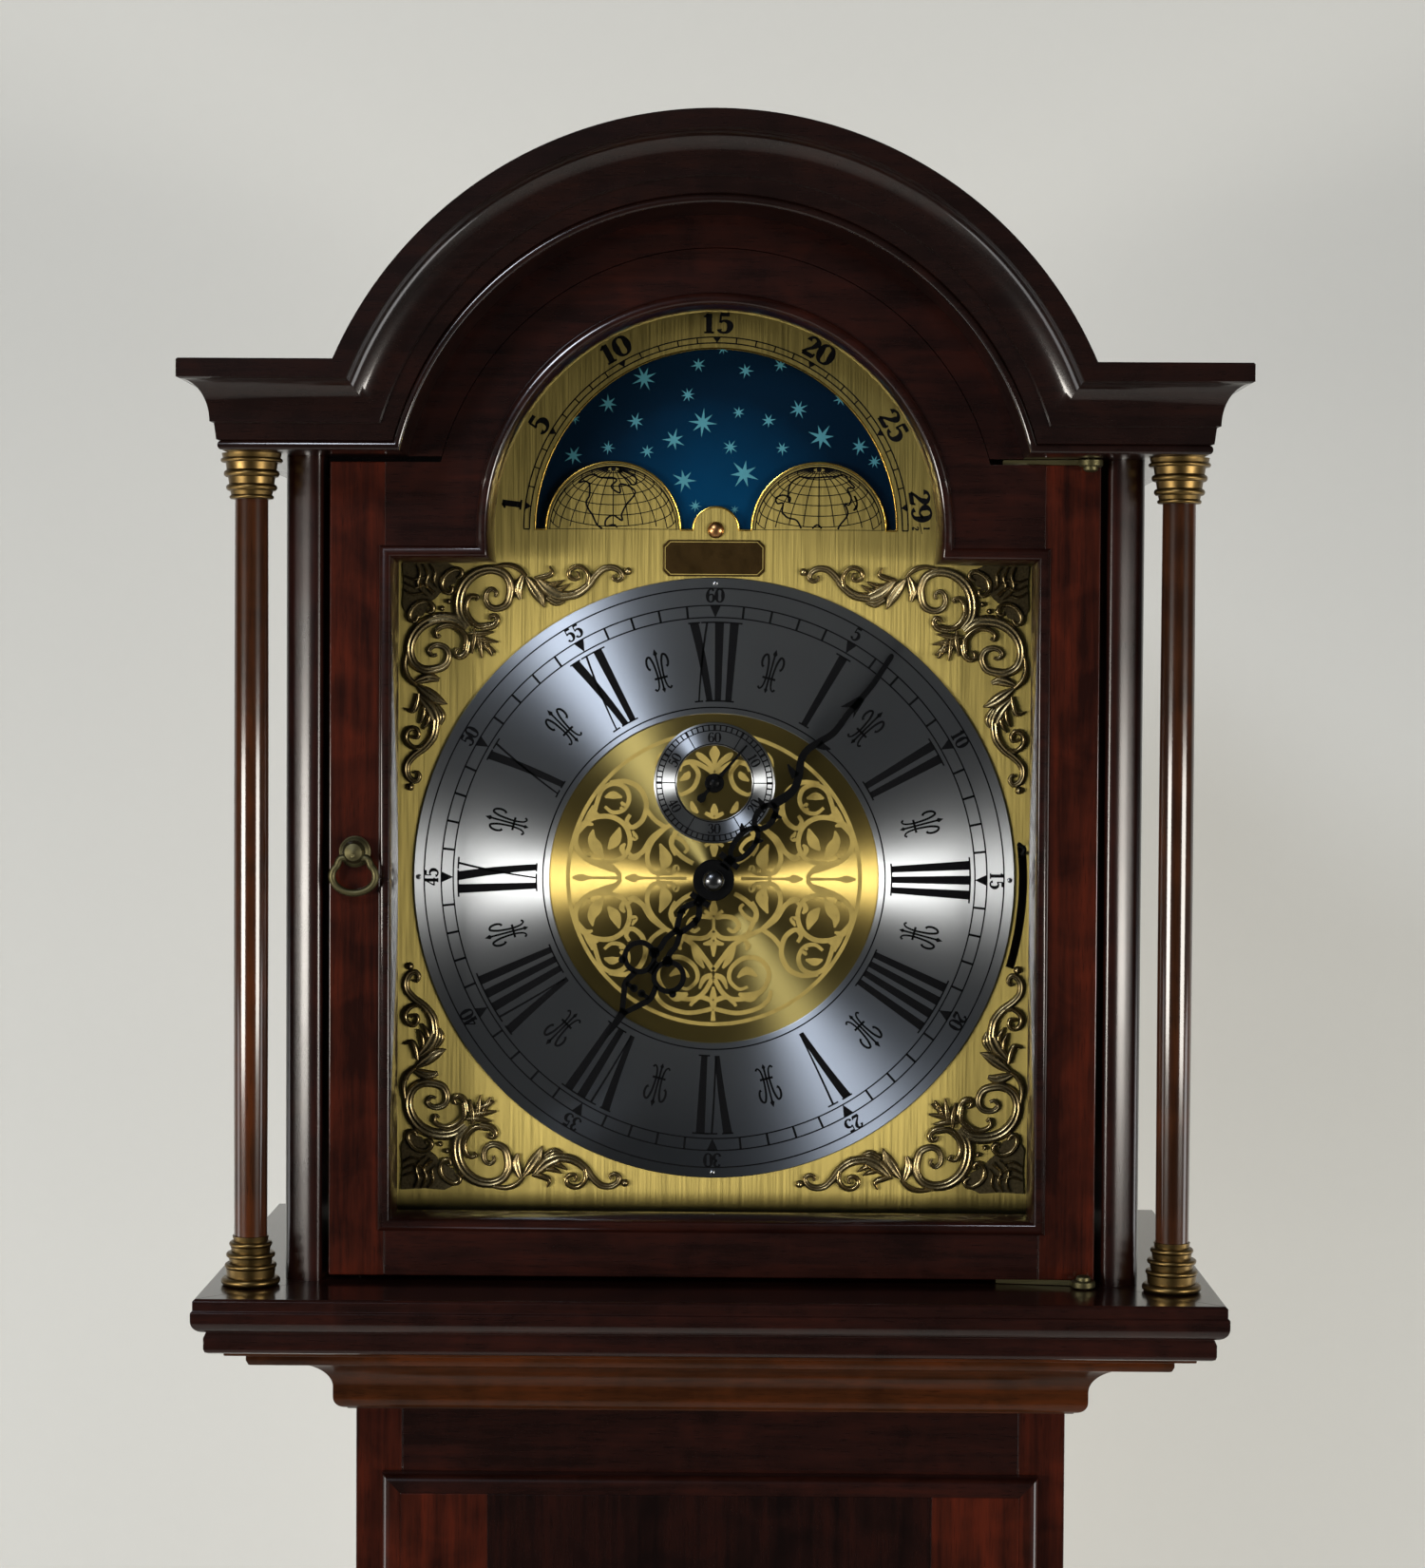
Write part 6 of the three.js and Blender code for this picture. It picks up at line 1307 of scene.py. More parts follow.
PALMETTE = [
    [(0, 160, 6), (0, 130, 34), (0, 90, 13), (0, 30, 8)],
    [(0, 30, 8), (-20, 80, 14), (-60, 115, 19), (-80, 130, 4)],
    [(0, 30, 8), (-30, 60, 12), (-90, 90, 14), (-140, 80, 12), (-150, 50, 5)],
    [(-100, 85, 12), (-70, 40, 13), (-90, -20, 13), (-140, -50, 10), (-160, -40, 4)],
    [(-150, 10, 4), (-120, 30, 22), (-110, 50, 3)],
    [(0, -90, 4), (0, -120, 24), (0, -155, 8)],
    [(-40, -130, 8), (-20, -140, 12), (0, -150, 10)],
    [(-100, -80, 4), (-90, -110, 18), (-70, -130, 4)],
]


class CLOCK_OT_dial_centre(bpy.types.Operator):
    """Builds the spun gilt centre with its arabesque, and the seconds ring."""

    bl_idname = "clock.dial_centre"
    bl_label = "Dial centre"

    def execute(self, context):
        front = DIAL_Y - 0.3
        bores = [circle(0, DIAL_Z, 6, 36), circle(0, SECONDS_Z, 1.5, 18)]
        shape = Shape().slab([circle(0, DIAL_Z, 71.5, 144), *bores], front, DIAL_Y - CLEAR)
        finish_piece("gilt_centre", shape, "gold", "case")
        self.arabesque(front - ENGRAVED)
        self.seconds()
        return {"FINISHED"}

    def arabesque(self, depth):
        """Scrolls and leaves punched matt on the bright ground."""
        shape = Shape()
        draw_ring(shape, 63.4, 1.7, depth, DIAL_Z)
        for flip_x in (1, -1):
            for flip_z in (1, -1):
                for layer, stroke in enumerate([*QUARTER, *FOOT]):
                    self.scroll(shape, stroke, flip_x, flip_z, depth - LAYER * (layer + 1))
        finish_piece("arabesque", shape, "matte gold", "case")

    def scroll(self, shape, stroke, flip_x, flip_z, depth, cz=DIAL_Z):
        """One stroke, left out under the seconds ring, and drawn once where it lies on a mirror line."""
        if (flip_x < 0 and not any(p[0] for p in stroke)) or (flip_z < 0 and not any(p[1] for p in stroke)):
            return
        points = [(flip_x * x / 10, cz + flip_z * z / 10, w / 8 + 0.45) for x, z, w in eased(stroke, 5)]
        if cz == DIAL_Z:
            points = [p for p in points if math.hypot(p[0], p[1] - SECONDS_Z) > 25.6]
        if len(points) > 1:
            shape.stroke(points, depth)

    def seconds(self):
        """Silvered seconds ring: a raised flat ring with its own track and figures."""
        inner, outer, front = 16.4, 26.3, DIAL_Y - 0.95
        profile = [
            (inner, DIAL_Y - 0.3), (inner, front + 0.35), (inner + 0.35, front), (outer - 0.5, front),
            (outer, front + 0.5), (outer, DIAL_Y - 0.3),
        ]
        shape = Shape().hoop(profile, SECONDS_Z, 96)
        finish_piece("seconds_ring", shape, "seconds", "case")
        shape = Shape()
        depth = front - ENGRAVED
        for radius in (25.2, 22.8, 16.95):
            draw_ring(shape, radius, 0.45, depth, SECONDS_Z, steps=120)
        for second in range(60):
            draw_tick(shape, 22.8, 25.2, second * 6, 1.1 if second % 5 == 0 else 0.65, depth, SECONDS_Z)
        for second in range(5, 60, 10):
            draw_tick(shape, 16.6, 22.8, second * 6, 0.45, depth, SECONDS_Z)
        for second in range(0, 60, 10):
            inward = second in (20, 30, 40)
            write_figures(
                shape, str(second or 60), 4.3, depth, on_circle(19.8, second * 6, SECONDS_Z, inward), 1.4
            )
        finish_piece("seconds_engraving", shape, "wax", "case")
        shape = Shape()
        for flip_x in (1, -1):
            for layer, stroke in enumerate(PALMETTE):
                self.scroll(shape, stroke, flip_x, 1, DIAL_Y - 0.34 - LAYER * layer, SECONDS_Z)
        finish_piece("seconds_palmette", shape, "matte gold", "case")


# Stars on the moon disc: across, up and radius in tenths of a millimetre from the disc's centre.
STARS = [
    (-80, 715, 30), (-315, 655, 50), (125, 690, 31), (275, 715, 28), (-125, 585, 30), (-470, 545, 38),
    (-350, 470, 35), (-60, 465, 55), (95, 510, 26), (225, 475, 30), (355, 525, 38), (-185, 390, 45),
    (455, 405, 54), (60, 360, 31), (285, 355, 28), (620, 365, 36), (-470, 355, 28), (-620, 320, 39),
    (-300, 340, 29), (685, 300, 28), (-140, 215, 48), (120, 245, 59), (25, 785, 25), (535, 570, 28),
    (-615, 480, 23), (-90, 105, 25), (80, 90, 18),
]
# Rough coasts for the two globes, as longitude and latitude.
COASTS = {
    -1: [
        [
            (-168, 66), (-156, 71), (-128, 70), (-95, 72), (-82, 68), (-94, 60), (-80, 52), (-78, 62),
            (-64, 60), (-56, 52), (-66, 45), (-74, 40), (-81, 31), (-81, 25), (-90, 30), (-97, 26),
            (-97, 20), (-88, 21), (-83, 10), (-95, 16), (-105, 20), (-112, 29), (-117, 33), (-124, 40),
            (-124, 48), (-135, 58), (-152, 60), (-165, 55), (-168, 66),
        ],
        [(-55, 60), (-45, 60), (-22, 70), (-20, 80), (-45, 83), (-60, 76), (-55, 68), (-55, 60)],
        [(-80, 8), (-70, 12), (-60, 9), (-50, 0), (-35, -6)],
    ],
    1: [
        [
            (30, 70), (60, 72), (80, 73), (110, 74), (140, 72), (170, 69), (178, 66), (160, 60), (156, 52),
            (140, 54), (135, 44), (127, 38), (122, 40), (122, 30), (110, 20), (106, 10), (100, 13), (98, 8),
            (94, 17), (88, 22), (80, 14), (77, 8), (73, 18), (67, 25), (57, 26), (52, 28), (48, 30),
            (44, 38), (36, 36), (28, 40), (36, 45), (50, 45), (52, 40), (47, 45), (30, 60), (30, 70),
        ],
        [(130, 32), (136, 34), (141, 40), (142, 45), (139, 37), (130, 32)],
    ],
}


class CLOCK_OT_moon(bpy.types.Operator):
    """Builds the moon disc with its stars, the day track and the two globes."""

    bl_idname = "clock.moon"
    bl_label = "Moon"

    def execute(self, context):
        values = dial_values()
        front = DIAL_Y + 3
        disc = [(AXIS, front), (80.6, front), (81, front + 0.4), (81, front + 1.2), (AXIS, front + 1.2)]
        shape = Shape().turned(disc, 0, MOON_Z, 128)
        finish_piece("night_sky", shape, "night", "moon", ("moon_disc",))
        rivet = [
            (AXIS, front + 0.3), (2.2, front + 0.3), (2.2, DIAL_Y - 0.4), (3.6, DIAL_Y - 0.4),
            *quarter(AXIS, DIAL_Y - 0.4, 3.5, -2.2, 0, 90, 10),
        ]
        shape = Shape().turned(rivet, 0, MOON_Z, 48)
        finish_piece("moon_rivet", shape, "copper", "moon")
        shape = Shape()
        for i, (x, z, r) in enumerate(STARS):
            for way in (1, -1):
                self.star(shape, way * x / 10, way * z / 10, r / 8.6, 7 + (i % 3 == 1), 20 * i, front - 0.05)
        finish_piece("stars", shape, "star", "moon")
        shape = Shape()
        for x in (-45, 45):
            shape.flat([circle(x, MOON_Z, 24, 72)], front - 0.06)
        finish_piece("moons", shape, "moon", "moon")
        self.track(DIAL_Y - 0.05)
        self.globes(values, DIAL_Y - 0.05)
        return {"FINISHED"}

    def star(self, shape, x, z, radius, points, turn, depth):
        """A pointed star with uneven rays."""
        loop = []
        for i in range(points * 2):
            reach = radius * ((1.0 if i % 4 else 0.86) if i % 2 == 0 else 0.29)
            px, pz = clock_point(reach, turn + 180 * i / points, z)
            loop.append((x + px, MOON_Z + pz))
        shape.flat([loop], depth)

    def track(self, depth):
        """Day track of the moon's month with bold figures."""
        shape = Shape()
        inner, outer = 80.7, 83.2
        for radius in (outer, inner):
            draw_ring(shape, radius, 0.58, depth, MOON_Z, end=180, steps=120)
        for day in range(1, 30):
            degrees = (day - 15) * 5.93
            if day in (1, 5, 10, 15, 20, 25, 29):
                draw_tick(shape, outer, inner, degrees, 3.6, depth, MOON_Z, 0.05)
                place = on_circle(89.2, degrees, MOON_Z)
                write_figures(shape, str(day), 8.6, depth, lambda x, y, place=place: place(x * 1.25, y), 1.75)
            else:
                draw_tick(shape, inner, outer, degrees, 0.58, depth, MOON_Z)
        for degrees in (-90, 90):
            draw_tick(shape, inner, outer, degrees, 0.58, depth, MOON_Z)
        # The half after the last figure is a small fraction.
        write_figures(shape, "1", 2.8, depth, on_circle(91.2, 89.3, MOON_Z), 2)
        write_figures(shape, "2", 2.8, depth, on_circle(86.4, 89.3, MOON_Z), 2)
        (x0, z0), (x1, z1) = clock_point(88.2, 87.8, MOON_Z), clock_point(89.2, 90.8, MOON_Z)
        shape.stroke([(x0, z0, 0.3), (x1, z1, 0.3)], depth)
        finish_piece("moon_track", shape, "wax", "case")

    def globes(self, values, depth):
        """Each hump carries a globe: net of meridians and parallels, and rough coasts."""
        shape = Shape()
        for side, middle in ((-1, -90), (1, 90)):
            cx = side * mm(values.hump_x)
            for radius in (28.3, 27.4):
                draw_ring(shape, radius, 0.4, depth, MOON_Z, cx, 180, 72)
            shape.stroke([(cx - 28.3, MOON_Z + 0.2, 0.28), (cx + 28.3, MOON_Z + 0.2, 0.28)], depth)
            lines = [[(lon, lat) for lat in range(-30, 86, 5)] for lon in range(-180, 180, 15)]
            lines += [[(lon, lat) for lon in range(-180, 181, 6)] for lat in range(-10, 90, 10)]
            for line in lines:
                self.map_line(shape, line, 0, cx, 0.42, depth)
            for coast in COASTS[side]:
                self.map_line(shape, eased(coast, 4), middle, cx, 0.8, depth)
            pole = circle(cx, MOON_Z + 26.3, 1.1, 18)
            shape.flat([pole], depth)
        finish_piece("globe_engraving", shape, "wax", "case")

    def map_line(self, shape, line, middle, cx, width, depth):
        """A line of longitudes and latitudes on the half globe that shows."""
        tilt, radius = math.radians(17), 27.4
        run = []
        for lon, lat in line:
            l, p = math.radians(lon - middle), math.radians(lat)
            facing = math.sin(tilt) * math.sin(p) + math.cos(tilt) * math.cos(p) * math.cos(l)
            x = radius * math.cos(p) * math.sin(l)
            z = radius * (math.cos(tilt) * math.sin(p) - math.sin(tilt) * math.cos(p) * math.cos(l))
            if facing > 0 and z > 0.3:
                run.append((cx + x, MOON_Z + z, width))
            else:
                if len(run) > 1:
                    shape.stroke(run, depth)
                run = []
        if len(run) > 1:
            shape.stroke(run, depth)


# Corner piece: strokes of x, y and width in tenths of a millimetre from the corner, one arm along +x.
# Each is cast twice, the second mirrored about the diagonal.
ARM = {
    "C-scroll": [
        (285, -280, 34), (250, -235, 45), (240, -185, 50), (250, -125, 50), (280, -75, 49),
        (330, -40, 45), (390, -30, 42), (440, -50, 39), (465, -90, 39), (465, -135, 37),
        (450, -180, 34), (410, -200, 30), (375, -190, 28), (360, -160, 27), (365, -130, 23),
        (385, -115, 20), (405, -130, 17), (400, -150, 12),
    ],
    "inner scroll": [
        (380, -270, 28), (330, -275, 28), (295, -250, 28), (275, -210, 27), (280, -170, 23),
        (300, -145, 20), (325, -150, 17), (315, -165, 10),
    ],
    "end curl": [
        (345, -285, 28), (390, -275, 30), (410, -250, 27), (400, -230, 22), (380, -235, 17),
        (375, -250, 10),
    ],
    "stem": [(380, -20, 12), (450, -10, 22), (500, -25, 25), (535, -60, 17)],
    "first leaf": [(510, -160, 17), (500, -120, 44), (510, -80, 37), (530, -40, 3)],
    "drooping leaf": [(535, -65, 17), (565, -105, 50), (595, -150, 47), (615, -195, 3)],
    "long leaf": [(580, -70, 20), (630, -115, 60), (680, -140, 55), (725, -150, 13)],
    "under leaf": [(625, -150, 25), (665, -170, 37), (705, -165, 10)],
    "rising leaf": [(570, -70, 18), (615, -60, 27), (645, -45, 23), (635, -15, 8)],
    "upper finger": [(620, -95, 15), (665, -90, 23), (700, -75, 5)],
    "lower finger": [(650, -120, 15), (690, -110, 23), (725, -90, 5)],
    "tail": [
        (685, -145, 42), (750, -135, 40), (800, -100, 35), (835, -55, 32), (870, -25, 30),
        (910, -20, 28), (940, -35, 27), (950, -60, 23), (930, -75, 20), (910, -65, 15), (915, -50, 8),
    ],
    "spiral": [
        (800, -95, 22), (805, -55, 23), (785, -25, 23), (755, -15, 23), (725, -30, 23), (720, -55, 22),
        (740, -70, 20), (760, -65, 17), (760, -45, 12), (750, -40, 7),
    ],
    "small scroll": [
        (235, -70, 12), (255, -55, 20), (250, -35, 23), (225, -30, 25), (195, -45, 27), (175, -70, 27),
        (170, -105, 25), (190, -130, 23), (210, -130, 20), (215, -110, 15), (200, -110, 8),
    ],
    "upper palm": [(285, -310, 13), (335, -310, 28), (395, -300, 7)],
    "middle palm": [(300, -330, 13), (355, -335, 28), (415, -345, 7)],
    "lower palm": [(320, -350, 13), (370, -370, 28), (405, -390, 8)],
    "near rib": [(60, -10, 10), (75, -50, 15), (65, -95, 15), (85, -130, 8)],
    "middle rib": [(90, -10, 10), (110, -55, 15), (100, -95, 15), (130, -140, 8)],
    "far rib": [(120, -10, 10), (140, -45, 15), (135, -85, 12), (150, -110, 7)],
}
KNOBS = [(975, -35, 17), (200, -170, 12)]


class CLOCK_OT_spandrels(bpy.types.Operator):
    """Casts the four corner pieces of scrolls and leaves."""

    bl_idname = "clock.spandrels"
    bl_label = "Corner pieces"

    def execute(self, context):
        top, half = BOARD_TOP + 305.5, 135.5
        low = 2 * DIAL_Z - top
        corners = {"top_left": (1, 1), "top_right": (-1, 1), "bottom_left": (1, -1), "bottom_right": (-1, -1)}
        for name, (sx, sz) in corners.items():
            cx, cz = -sx * half, top if sz > 0 else low

            def place(x, z, sx=sx, sz=sz, cx=cx, cz=cz):
                return cx + sx * x / 10, cz + sz * z / 10

            shape = Shape()
            self.cast(shape, place)
            finish_piece(
                f"corner_{name}", shape, "cast", "case", (f"spandrel_{name}",), crease=60
            )
        return {"FINISHED"}

    def cast(self, shape, place):
        """Channelled scrolls and leaves with upright edges, over a ribbed block in the corner."""
        back = DIAL_Y - CLEAR
        block = [
            (0, 0), (100, -6), (190, 0), (250, -30), (230, -90), (175, -118), (150, -150), (118, -175),
            (90, -230), (30, -250), (0, -190), (6, -100),
        ]
        shape.slab([[place(*p) for p in block]], back - 1, back)
        for stroke in ARM.values():
            for line in (stroke, [(-z, -x, w) for x, z, w in stroke]):
                points = [(*place(x, z), w / 10) for x, z, w in eased(line, 5)]
                shape.dome(points, back, 1.9, 13, wall=0.8, channel=0.45)
        for x, z, r in KNOBS:
            for px, pz in (place(x, z), place(-z, -x)):
                shape.turned(quarter(AXIS, back, r / 10, -2.4, 0, 90, 8), px, pz, 20)


def hand_slab(shape, points, front, back, turn, cz):
    """A bar of a hand, drawn pointing to twelve and then turned clockwise."""
    left, right = sides_of(points)
    loop = [turned_point(x, z, turn, cz) for x, z in [*left, *reversed(right)]]
    shape.slab([loop], front, back)


def turned_point(x, z, degrees, cz):
    """A point turned clockwise about a centre on the middle line."""
    t = math.radians(degrees)
    return x * math.cos(t) + z * math.sin(t), cz - x * math.sin(t) + z * math.cos(t)


def hand_loop(shape, x, z, rx, rz, width, front, back, turn, cz):
    """A pierced hoop of a hand."""
    rounds = circle(0, 0, 1, 36)
    loops = [
        [turned_point(x + u * (rx - w), z + v * (rz - w), turn, cz) for u, v in rounds] for w in (0, width)
    ]
    shape.slab(loops, front, back)


class CLOCK_OT_hands(bpy.types.Operator):
    """Builds the pierced hands, the hub with its nut and the chime lever's hook."""

    bl_idname = "clock.hands"
    bl_label = "Hands"

    def execute(self, context):
        self.minute()
        self.hour()
        self.seconds()
        x, z = clock_point(134.2, 85, DIAL_Z)
        front = DIAL_Y - 6
        hook = [
            (x, DIAL_Y + 6.8, z), (x, DIAL_Y - 2, z), (x, front + 1.2, z), (x + 0.5, front + 0.9, z + 2.4)
        ]
        shape = Shape().tube(eased([*hook, (x - 2.4, front + 0.9, z + 4.6)], 6), 0.9, 12)
        left, right = sides_of([(*clock_point(9, 85, DIAL_Z), 7), (x, z, 4.4)])
        shape.slab([[*left, *reversed(right)]], DIAL_Y + 6, DIAL_Y + 7.6)
        ring = [
            (5.3, DIAL_Y + 6), (11, DIAL_Y + 6), (11, DIAL_Y + 7.6), (5.3, DIAL_Y + 7.6), (5.3, DIAL_Y + 6)
        ]
        shape.hoop(ring, DIAL_Z, 45)
        finish_piece("chime_hook", shape, "hands", "chime_lever", ("chime_lever",))
        return {"FINISHED"}

    def minute(self):
        """Serpentine minute hand with thorns, two pierced loops and an arrow."""
        front, back, turn = 74, 75.2, MINUTE_ANGLE
        where = (front, back, turn, DIAL_Z)
        wave = [
            (-0.4, 41, 4.2), (2, 47.5, 3.8), (2.7, 52.8, 3.5), (0.6, 58.4, 3.4), (-2.6, 64, 3.2),
            (-3.2, 69, 3.1), (-1.4, 74.5, 3), (0.9, 80.7, 2.9), (1.2, 86, 2.8), (0.9, 92, 2.7),
            (1.2, 97, 2.6),
        ]
        bars = [
            [(0, 7, 4.6), (0, 13, 4)],
            [(-5, 10.8, 2.6), (5, 10.8, 2.6)],
            [(-3, 24.6, 3.4), (-4.4, 25.4, 2.2), (-5.8, 26.8, 0.6)],
            [(3, 24.4, 3.4), (4.6, 25.2, 2.2), (6.2, 26.8, 0.6)],
            [(-2, 38.2, 3.6), (-4.4, 38.8, 2.4), (-7, 39.8, 0.6)],
            [(2, 38, 3.6), (4.2, 38.4, 2.4), (6.3, 39.4, 0.6)],
            [(0, 57, 4), (-3.2, 57.8, 2.4), (-6, 59, 0.6)],
            [(-1, 74, 4), (2, 74.4, 2.4), (4.4, 75.4, 0.6)],
            [(1.2, 96, 2.7), (1.4, 109, 2.5), (0.2, 122.6, 2.3), (0, 123.6, 1.6), (0, 124, 0.5)],
            eased(wave, 6),
        ]
        shape = Shape()
        for bar in bars:
            hand_slab(shape, bar, *where)
        hand_loop(shape, 0.6, 20.5, 5, 9.4, 2.4, *where)
        hand_loop(shape, 0.4, 35.2, 4.8, 7.2, 2.5, *where)
        arrow = [(-3.6, 92.2), (0.2, 95), (1.8, 95), (3.8, 91.6), (2.7, 101), (0, 101)]
        shape.slab([[turned_point(x, z, turn, DIAL_Z) for x, z in arrow]], front, back)
        self.hub(shape, 8.9, front, back, DIAL_Z)
        shape.turned([(AXIS, 75), (5, 75), (5, 77.7), (AXIS, 77.7)], 0, DIAL_Z, 40)
        finish_piece(
            "long_hand", shape, "hands", "minute_hand", ("minute_hand",), bevel=0.0002
        )
        cap = [
            (4.7, 73.75), (4.7, 72.9), (4.35, 72.6), (4.3, 71.1), (3.9, 70.5), (2.7, 69.6), (1.2, 69.25),
            (AXIS, 69.2),
        ]
        nut = Shape().turned(cap, 0, DIAL_Z, 48)
        finish_piece("hand_nut", nut, "nut", "centre")

    def hub(self, shape, radius, front, back, cz):
        """Round boss of a hand with a turned edge."""
        edge = [(AXIS, front), (radius - 0.4, front), (radius, front + 0.4), (radius, back), (AXIS, back)]
        shape.turned(edge, 0, cz, 64)

    def hour(self):
        """Hour hand: pierced heart, crossing stems, two rings and a spear."""
        bars = [
            [(0, 10.4, 2.6), (4.8, 10.4, 2.6)],
            eased([(0.6, 12, 2.3), (3.6, 17, 2.8), (3, 22, 2.6), (0.5, 28, 2.6)], 6),
            [(2.6, 18, 2.8), (4, 19.2, 1.6), (5.2, 20.8, 0.4)],
            eased([(0.3, 26, 2.8), (2.6, 32, 2.4), (2.4, 37, 2.4), (3.4, 41, 2.8)], 6),
            eased([(5.4, 52, 2.4), (6.4, 58, 2.5), (4, 63, 2.5), (0.2, 70, 2.2)], 6),
            [(6, 58.2, 1.8), (1.4, 58.2, 1.8)],
        ]
        front, back, turn = 78, 79.2, HOUR_ANGLE
        where = (front, back, turn, DIAL_Z)
        shape = Shape()
        for way in (1, -1):
            for bar in bars:
                hand_slab(shape, [(way * x, z, w) for x, z, w in bar], *where)
            hand_loop(shape, way * 7.6, 45.6, 7.5, 7.5, 2.3, *where)
            for x, z, r in ((3.4, 40.4, 2.4), (13.2, 50.8, 1.6), (2, 58.2, 1.7)):
                loop = [turned_point(way * x + u, z + v, turn, DIAL_Z) for u, v in circle(0, 0, r, 18)]
                shape.slab([loop], front, back)
        for bar in (
            [(0, 7, 4.4), (0, 13.5, 3.2)],
            [(0, 43, 2.6), (0, 49, 2.6)],
            [(0, 68, 3.8), (0, 76, 2.8), (0, 84, 0.8)],
        ):
            hand_slab(shape, bar, *where)
        self.hub(shape, 8.9, front, back, DIAL_Z)
        shape.turned([(AXIS, 79), (5, 79), (5, 111.7), (AXIS, 111.7)], 0, DIAL_Z, 40)
        finish_piece("short_hand", shape, "hands", "hour_hand", ("hour_hand",), bevel=0.0002)

    def seconds(self):
        """Small seconds hand with a counterpoise."""
        front, back, turn = 84, 84.8, SECONDS_ANGLE
        shape = Shape()
        tail = eased([(0, -3, 1.8), (0, -6, 1.8), (0, -8.6, 3.8), (0, -10.4, 2)], 4)
        for bar in ([(0, 3, 1.7), (0, 21.6, 0.8)], tail):
            hand_slab(shape, bar, front, back, turn, SECONDS_Z)
        self.hub(shape, 4.2, front, back, SECONDS_Z)
        cap = [(2, front + 0.1), (2, front - 1.1), (1.4, front - 1.5), (AXIS, front - 1.6)]
        shape.turned(cap, 0, SECONDS_Z, 32)
        finish_piece("small_hand", shape, "hands", "escape", ("seconds_hand",), bevel=0.00012)


# Movement


